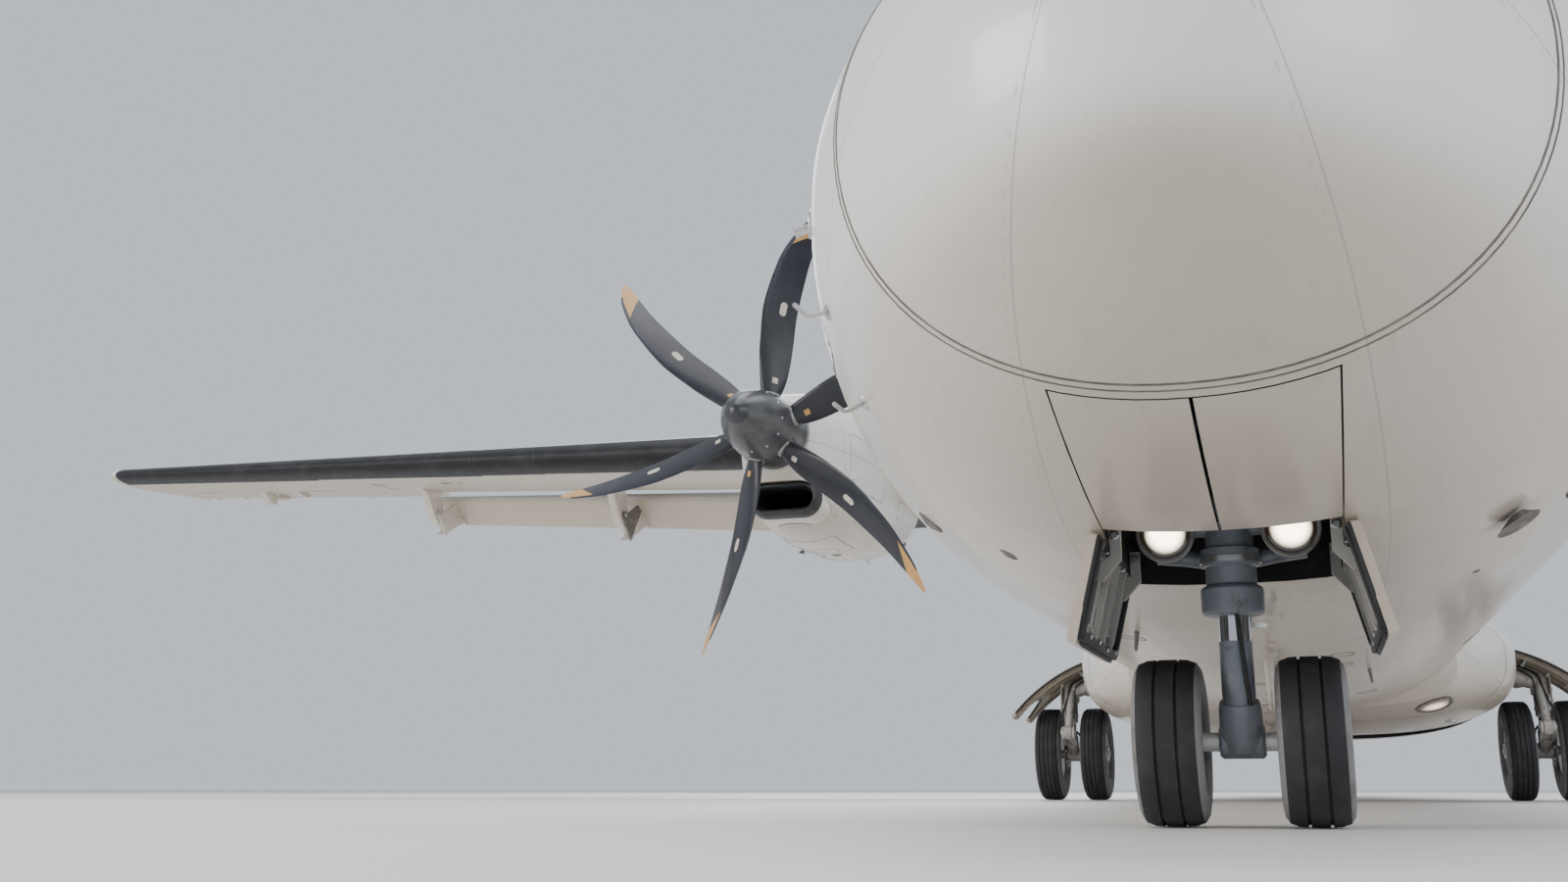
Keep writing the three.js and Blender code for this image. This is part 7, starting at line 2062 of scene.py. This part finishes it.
leg.turned(ahead(0, 0, 0.641), ahead(0, 0, 1.18), [(0, 0.062), (0.004, 0.068), (0.05, 0.068), (0.055, 0.078),
    (0.1, 0.078), (0.105, 0.064), (0.16, 0.064), (0.165, 0.092), (0.225, 0.092), (0.23, 0.064), (0.32, 0.062),
    (0.33, 0.07), (0.4, 0.07), (0.41, 0.062), (0.539, 0.06)], 0, 40)
leg.pin(ahead(0, 0, 1.12), 0.2896, 0.046)
leg.pin(ahead(0.62, 0, 1.24), 0.2896, 0.03)
for side in (1, -1):
    leg.rod(ahead(0, side * 0.06, 0.9), ahead(0.62, side * 0.12, 1.24), 0.024, 0.02)
    leg.rod(ahead(-0.015, side * 0.072, 0.885), ahead(0.02, side * 0.072, 0.915), 0.038)
    leg.rod(ahead(0.01, 0, 0.8), ahead(0.01, side * 0.15, 0.8), 0.026, 0.018)
    leg.rod(ahead(-0.06, side * 0.05, 0.72), ahead(-0.06, side * 0.16, 0.74), 0.024)  # steering jack
    leg.rod(ahead(-0.06, side * 0.13, 0.74), ahead(-0.06, side * 0.2, 0.748), 0.03, finish=0)
    leg.tube([ahead(-0.05, side * 0.05, 1.1), ahead(-0.09, side * 0.06, 0.95), ahead(-0.075, side * 0.075, 0.82),
              ahead(-0.06, side * 0.12, 0.77)], 0.009, 2)
    leg.tube([ahead(-0.02, side * 0.16, 0.79), ahead(-0.08, side * 0.17, 0.83), ahead(-0.06, side * 0.09, 0.95),
              ahead(-0.05, side * 0.05, 1.08)], 0.006, 2)
for z in (0.7, 0.86, 1.0):  # clamps that hold the hoses
    wide = 0.097 if z == 0.86 else 0.082
    leg.turned(ahead(0, 0, z), ahead(0, 0, z + 0.02), [(0, 0.07), (0.002, wide), (0.018, wide), (0.02, 0.07)], 1, 40)
leg.piece("nose_leg", [gear_paint, trim_metal, hose_black], stands_for="nose_gear_leg", slot="gear_metal")
for side, hand in SIDES:
    lamp = Build()
    back, front = ahead(-0.02, side * TAXI_LAMP_Y, 0.79), ahead(0.075, side * TAXI_LAMP_Y, 0.784)
    lamp.turned(back, front, [(0, 0.025), (0.006, 0.042), (0.03, 0.056), (0.06, 0.07), (0.075, 0.0755), (0.08, 0.079),
                              (0.094, 0.079), (0.096, 0.076), (0.095, 0.069), (0.086, 0.066), (0.084, 0.01)], 1, 40)
    lamp.turned(back, front, [(0.085, 0.066), (0.088, 0.064), (0.0915, 0.045), (0.093, 0.02), (0.0932, 0.001)], 0, 32)
    lamp.piece(f"taxi_lamp_{hand}", [lamp_white, engine_metal])

fork = Build()
fork.turned(ahead(0, 0, 0.56), ahead(0, 0, 0.64), [(0, 0.07), (0.004, 0.08), (0.01, 0.084), (0.07, 0.084),
    (0.076, 0.08), (0.08, 0.074)], 0, 40)
fork.turned(ahead(0, 0, 0.3), ahead(0, 0, 0.49), [(0, 0.04), (0.05, 0.044), (0.19, 0.044)], 0, 36)
fork.turned(ahead(0, 0, 0.485), ahead(0, 0, 0.57), [(0, 0.041), (0.085, 0.041)], 3, 36)
fork.turned(ahead(0, 0, 0.33), ahead(-0.045, 0, 0.2), [(0, 0.052), (0.02, 0.056), (0.09, 0.058), (0.13, 0.05)], 0, 32)
fork.pin(ahead(-0.045, 0, 0.225), 0.06, 0.046, edge=0.008)
for (x0, z0, x1, z1), half in (((-0.055, 0.575, -0.15, 0.508), 0.036), ((-0.145, 0.512, -0.052, 0.31), 0.026)):
    a, b = ahead(x0, 0, z0), ahead(x1, 0, z1)
    for side in (1, -1):
        fork.rod(a + Vector((0, side * half, 0)), b + Vector((0, side * 0.018, 0)), 0.013, 0.011, 0, 14)
    fork.pin(a, half + 0.006, 0.016, finish=1, sides=16)
fork.pin(ahead(-0.148, 0, 0.508), 0.03, 0.018, finish=1, sides=16)
fork.tube([ahead(0.045, 0.01, 0.56), ahead(0.058, 0.02, 0.45), ahead(0.03, 0.03, 0.3)], 0.006, 2)
fork.piece("nose_fork_and_slide", [gear_paint, trim_metal, hose_black, chrome], body="nose_fork",
           stands_for="nose_gear_fork", slot="gear_metal")


def wheel_and_tyre(rubber, metal, centre, radius, half, rim_radius, way, bolts, grooves):
    """One tyre on its cast wheel; way is the side that its outer face looks to."""
    centre = Vector(centre)
    shape = [(-0.72, rim_radius), (-0.86, rim_radius + 0.012), (-0.97, rim_radius + 0.28 * (radius - rim_radius)),
             (-1.0, rim_radius + 0.5 * (radius - rim_radius)), (-0.95, rim_radius + 0.74 * (radius - rim_radius)),
             (-0.83, rim_radius + 0.9 * (radius - rim_radius)), (-0.68, radius - 0.006)]
    tread, spots = [], [-0.5, -0.17, 0.17, 0.5][:grooves] if grooves > 2 else [-0.3, 0.3]
    tread.append((-0.6, radius - 0.0025))
    for spot in spots:
        for dy, deep in ((-0.045, 0), (-0.035, 0.007), (0.035, 0.007), (0.045, 0)):
            tread.append((spot + dy, radius - 0.0012 * abs(spot) * 2 - deep))
    tread.append((0.6, radius - 0.0025))
    full = shape + tread + [(-a, r) for a, r in reversed(shape)] + [(0.6, rim_radius - 0.006),
        (-0.6, rim_radius - 0.006)]
    sides = 88
    rings = []
    for a in around(sides):
        rings.append([centre + Vector((r * cos(a), y * half, r * sin(a))) for y, r in full])
    rubber.rings(rings + rings[:1], 0, caps=False)
    n = len(full)
    side_bands = {*range(0, 5), *range(n - 8, n - 3)}
    begin = len(rubber.finish) - sides * n
    for k in range(sides):
        for j in side_bands:
            rubber.finish[begin + k * n + j] = 1
    depth = lambda s: centre + Vector((0, way * s * half, 0))
    turned = lambda pairs, finish=0, sides=56: metal.turned(
        depth(0), depth(1), [(s * half, r * rim_radius) for s, r in pairs], finish, sides)
    turned([(-0.7, 0.75), (-0.705, 0.99), (-0.66, 1.03), (-0.6, 0.975), (0.6, 0.975), (0.66, 1.03), (0.71, 1.0),
        (0.7, 0.93), (0.6, 0.88), (0.42, 0.84), (0.34, 0.78), (0.36, 0.5), (0.46, 0.42), (0.6, 0.36),
        (0.86, 0.33), (0.9, 0.3), (0.9, 0.02)])
    for k in range(bolts):
        a = 2 * pi * (k + 0.5) / bolts
        spot = depth(0.33) + Vector((0.66 * rim_radius * cos(a), 0, 0.66 * rim_radius * sin(a)))
        metal.rod(spot, spot + Vector((0, way * 0.16 * half, 0)), 0.042 * rim_radius + 0.003, finish=1, sides=8)
        dark = depth(0.335) + Vector((0.66 * rim_radius * cos(a + pi / bolts), 0,
            0.66 * rim_radius * sin(a + pi / bolts)))
        metal.rod(dark, dark + Vector((0, way * 0.03 * half, 0)), 0.075 * rim_radius, finish=2, sides=20)
    metal.rod(depth(0.88), depth(0.97), 0.16 * rim_radius, finish=1, sides=6)


nose_wheels, nose_rubber = Build(), {}
for side, hand in SIDES:
    nose_rubber[hand] = Build()
    wheel_and_tyre(nose_rubber[hand], nose_wheels, LEG_AXLE + Vector((0, side * 0.185, 0)), 0.225, 0.092, 0.118,
        side, 8, 2)
    nose_rubber[hand].piece(f"nose_tyre_{hand}_rubber", [tyre_rubber, tyre_side], body="nose_wheel_pair",
                            stands_for=f"nose_tyre_{hand}", slot="tyre", sharp=40)
nose_wheels.pin(LEG_AXLE, 0.16, 0.026)
nose_wheels.piece("nose_wheel_castings", [wheel_paint, trim_metal, engine_metal], body="nose_wheel_pair",
                  stands_for="nose_wheels", slot="wheel_metal")

# Wheel wells: hydraulic and fuel pipes clipped along the roof and the inner wall, with frames between.
for side, hand in SIDES:
    wells = Build()
    for y, z, r, kind in ((0.36, 1.24, 0.012, 1), (0.37, 1.17, 0.009, 1), (0.36, 1.1, 0.014, 2), (0.62, 1.3, 0.012, 1),
                          (0.72, 1.3, 0.012, 2), (0.95, 1.3, 0.01, 1)):
        wells.tube([(0.385, side * y, z), (0.9, side * (y + 0.01), z - 0.006), (1.455, side * y, z)], r, kind)
    for x in (0.42, 0.72, 0.98, 1.24, 1.43):
        wells.block((x - 0.012, side * 0.335, 1.285), (x + 0.012, side * 1.36, 1.326), finish=0, edge=0.004)
        wells.block((x - 0.012, side * 0.333, 0.76), (x + 0.012, side * 0.352, 1.3), finish=0, edge=0.004)
    wells.block((1.28, side * 0.45, 1.18), (1.42, side * 0.7, 1.31), finish=3, edge=0.01)
    wells.tube([(1.4, side * 0.5, 1.2), (1.3, side * 0.8, 1.22), (1.0, side * 1.2, 1.24),
        (1.0, side * 1.35, 1.28)], 0.012, 2)
    wells.piece(f"wheel_well_pipes_{hand}", [cabin_grey, trim_metal, hose_black, gear_paint])

# Main gear: a splayed forged leg from a trunnion in the belly, a trailing arm, and a shock strut with a
# chromed slide between them; hoses run down to the brake packs inside the two big wheels.
LEG_Y, TRUNNION = 2.05, (1.44, 1.215)
MAIN_AXLE = Vector((0.9, LEG_Y, 0.43))
CUT_X, CUT_Z = 0.9, 0.64
for side, hand in SIDES:
    at = lambda x, y, z: Vector((x, side * y, z))
    leg = Build()
    trunnion, head, knee = at(1.06, *TRUNNION), at(1.06, 2.04, 1.015), at(1.262, LEG_Y, 0.62)
    top, foot = at(0.905, LEG_Y, 0.96), at(0.985, LEG_Y, 0.52)
    leg.rod(at(0.3704, *TRUNNION), at(1.4696, *TRUNNION), 0.07, edge=0.012, sides=36)
    for x in (0.44, 0.86, 1.28):
        leg.rod(at(x, *TRUNNION), at(x + 0.05, *TRUNNION), 0.084, sides=36)
    leg.turned(trunnion, head, [(0, 0.088), (0.06, 0.092), (0.12, 0.08), (0.3, 0.074), (0.5, 0.072),
        (0.56, 0.078), (0.64, 0.06)], 0, 36)
    leg.turned(at(1.06, LEG_Y, 1.04), knee, [(-0.03, 0.05), (0.0, 0.066), (0.1, 0.062), (0.3, 0.044),
        (0.42, 0.036), (0.465, 0.034)], 0, 36)
    leg.pin(knee, 0.036, 0.066, edge=0.008, sides=36)
    leg.rod(at(1.06, 1.62, 1.155), at(1.15, 0.38, 0.925), 0.038, 0.032, sides=24)
    leg.rod(at(1.12, 0.78, 1.0), at(1.13, 0.66, 0.977), 0.05, sides=24)
    leg.block(at(1.1, 0.3304, 0.88), at(1.2, 0.41, 0.97), edge=0.014)
    leg.turned(at(1.06, LEG_Y, 1.01), top, [(0, 0.05), (0.04, 0.046), (0.13, 0.046), (0.165, 0.05)], 0, 28)
    leg.pin(top, 0.062, 0.05, edge=0.008, sides=32)
    along = (foot - top).normalized()
    leg.turned(top, foot, [(0, 0.04), (0.03, 0.048), (0.15, 0.048), (0.155, 0.053), (0.18, 0.053),
        (0.185, 0.047), (0.24, 0.046)], 0, 36)
    leg.rod(at(0.8, *TRUNNION), at(0.85, 1.9, 1.01), 0.05, 0.04, sides=24)
    leg.rod(at(0.85, 1.89, 1.014), at(1.06, 2.0, 1.028), 0.038, sides=24)
    bracket = [(1.0, 1.07), (1.13, 1.09), (1.19, 0.96), (1.2, 0.83), (1.14, 0.8), (1.08, 0.93)]
    leg.plate(bracket, lambda u, v, out: at(u, 2.114 + out, v), 0.01, 3)
    for x, z in ((1.05, 1.05), (1.11, 1.05), (1.15, 0.95), (1.16, 0.85)):
        leg.rod(at(x, 2.11, z), at(x, 2.134, z), 0.014, finish=1, sides=6)
    leg.tube([at(1.0, 1.5, 1.26), at(1.08, 1.75, 1.22), at(1.13, 2.03, 1.09), at(1.16, 2.06, 0.95),
        at(1.25, 2.105, 0.78), at(1.25, 2.1, 0.7)], 0.01, 2)
    leg.tube([at(1.02, 1.5, 1.28), at(1.12, 1.8, 1.18), at(1.17, 1.99, 1.05), at(1.19, 1.99, 0.9),
        at(1.24, 2.0, 0.75)], 0.008, 2)
    leg.piece(f"main_leg_{hand}", [main_paint, trim_metal, hose_black, white_paint],
        stands_for=f"main_gear_leg_{hand}", slot="gear_metal")
    arm = Build()
    middle = top.lerp(foot, 0.55)
    axle = at(*MAIN_AXLE)
    root = at(1.112, LEG_Y, 0.548)
    for s in (1, -1):
        low, high = s * 0.0364, s * 0.0624
        arm.rod(knee + Vector((0, low, 0)), knee + Vector((0, high, 0)), 0.058, sides=36, edge=0.004)
        outline = [(1.262, 0.664), (1.16, 0.63), (1.072, 0.58), (1.072, 0.5), (1.16, 0.515), (1.262, 0.57)]
        arm.rings([[at(x, LEG_Y + off, z) for x, z in outline] for off in (low, high)], 0)
        arm.rod(knee + Vector((0, high, 0)), knee + Vector((0, s * 0.074, 0)), 0.03, finish=1, sides=6)
    arm.block(root + Vector((-0.04, -0.06, -0.042)), root + Vector((0.02, 0.06, 0.03)), edge=0.012)
    arm.turned(root + Vector((0.01, 0, 0)), axle, [(0, 0.05), (0.03, 0.058), (0.12, 0.052), (0.2, 0.054),
        (0.235, 0.05)], 0, 36)
    arm.pin(axle, 0.072, 0.07, edge=0.01, sides=40)
    arm.turned(middle, foot, [(0.004, 0.03), (0.17, 0.03), (0.18, 0.036), (0.2, 0.036)], 3, 32)
    arm.pin(foot, 0.05, 0.034, edge=0.005, sides=28)
    for s in (1, -1):  # brake torque plates and pistons beside the wheels
        base = axle + Vector((0, s * 0.0725, 0))
        arm.turned(base, base + Vector((0, s * 0.02, 0)),
            [(0, 0.1), (0.003, 0.13), (0.016, 0.13), (0.019, 0.1)], 4, 40)
        for a in around(6):
            a += 0.3
            spot = base + Vector((0.1 * cos(a), -s * 0.012, 0.1 * sin(a)))
            arm.rod(spot, spot + Vector((0, s * 0.03, 0)), 0.02, finish=1, sides=16)
    arm.tube([at(1.2, 2.12, 0.63), at(1.1, 2.13, 0.6), at(0.99, 2.125, 0.53), at(0.93, 2.12, 0.46)], 0.009, 2)
    arm.tube([at(1.2, 1.98, 0.63), at(1.08, 1.97, 0.6), at(0.98, 1.975, 0.53), at(0.93, 1.98, 0.46)], 0.009, 2)
    arm.piece(f"main_arm_{hand}", [main_paint, trim_metal, hose_black, chrome, engine_metal],
              stands_for=f"main_gear_arm_{hand}", slot="gear_metal")
    castings = Build()
    for where, offset in (("inner", -0.212), ("outer", 0.212)):
        rubber = Build()
        wheel_and_tyre(rubber, castings, at(0.9, LEG_Y + offset, 0.43), 0.43, 0.122, 0.212,
                       side if offset > 0 else -side, 10, 4)
        rubber.piece(f"main_tyre_{where}_{hand}_rubber", [tyre_rubber, tyre_side], body=f"main_wheel_pair_{hand}",
                     stands_for=f"main_tyre_{where}_{hand}", slot="tyre", sharp=40)
    castings.pin(axle, 0.19, 0.042)
    castings.piece(f"main_wheel_castings_{hand}", [wheel_paint, trim_metal, engine_metal],
        body=f"main_wheel_pair_{hand}", stands_for=f"main_wheels_{hand}", slot="wheel_metal")

    # The leg's door: a curved shell on the leg, pale inside, with a rubber edge and a round cut-out.
    arc = curve([(1.7, 1.328), (1.89, 1.266), (2.08, 1.18), (2.25, 1.072), (2.42, 0.935), (2.57, 0.775)], 6)
    inner = [(y - 0.014, z - 0.026) for y, z in reversed(arc)]
    shell = Build().rings([[at(x, y, z) for y, z in [*arc, *inner]]
        for x in (0.44, 0.445, *np.linspace(0.5, 1.31, 12), 1.367, 1.372)])
    shell = shell.piece(f"main_door_{hand}", [white_paint, door_lining], stands_for=f"main_gear_door_{hand}",
        slot="white_paint")
    carve(shell, ("DIFFERENCE", Build().turned(at(CUT_X, 2.15, CUT_Z), at(CUT_X, 2.9, CUT_Z),
        [(0, 0.33), (0.75, 0.33)], sides=72)))
    spine = np.array(arc)
    for face in shell.data.polygons:
        y, z = abs(face.center.y), face.center.z
        near = np.argmin(np.hypot(spine[:, 0] - y, spine[:, 1] - z))
        if np.hypot(spine[near, 0] - y, spine[near, 1] - z) > 0.012 and face.normal.z < 0.2:
            face.material_index = 1
    door = Build()
    under = [Vector((0, y, z)) for y, z in reversed(inner)]
    for x in (0.52, 0.78, 1.04, 1.28):  # pressed frames on its inner face
        line = [p for p in under if (x - CUT_X) ** 2 + (p.z - CUT_Z) ** 2 > 0.36**2 or p.y < 2.12][2:-1]
        door.rings([[at(x + dx, p.y + dy, p.z + dz)
            for dx, dy, dz in ((-0.014, 0.004, 0.004), (-0.014, -0.012, -0.022), (0.014, -0.012, -0.022),
            (0.014, 0.004, 0.004))] for p in line], 1)
    for x in (0.444, 1.368):
        door.tube([at(x, p[0] - 0.007, p[1] - 0.013) for p in arc[::4]], 0.013, 0, 8)
    round_edge = []
    for a in np.radians(np.arange(-5, 186, 6)):
        z = CUT_Z + 0.333 * sin(a)
        k = np.argmin(np.abs(spine[:, 1] - z))
        y = np.interp(z, spine[::-1, 1], spine[::-1, 0])
        if z > 0.776:
            round_edge.append(at(CUT_X + 0.333 * cos(a), y - 0.007, z - 0.012))
    door.tube(round_edge, 0.011, 0, 8)
    door.block(at(0.44, 1.666, 1.296), at(1.372, 1.704, 1.3296), finish=2, edge=0.006)
    door.rod(at(1.06, 1.85, 1.06), at(1.06, 1.96, 1.225), 0.02, finish=3)
    for x in (0.5, 0.9, 1.3):
        door.rod(at(x - 0.03, 1.684, 1.292), at(x + 0.03, 1.684, 1.292), 0.016, finish=3, sides=18)
    door.piece(f"main_door_fittings_{hand}", [seal, door_lining, white_paint, trim_metal])

boxes = {"cad": cad_box, "visual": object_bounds()}
{name: [[float(v) for v in corner] for corner in box] for name, box in boxes.items()}
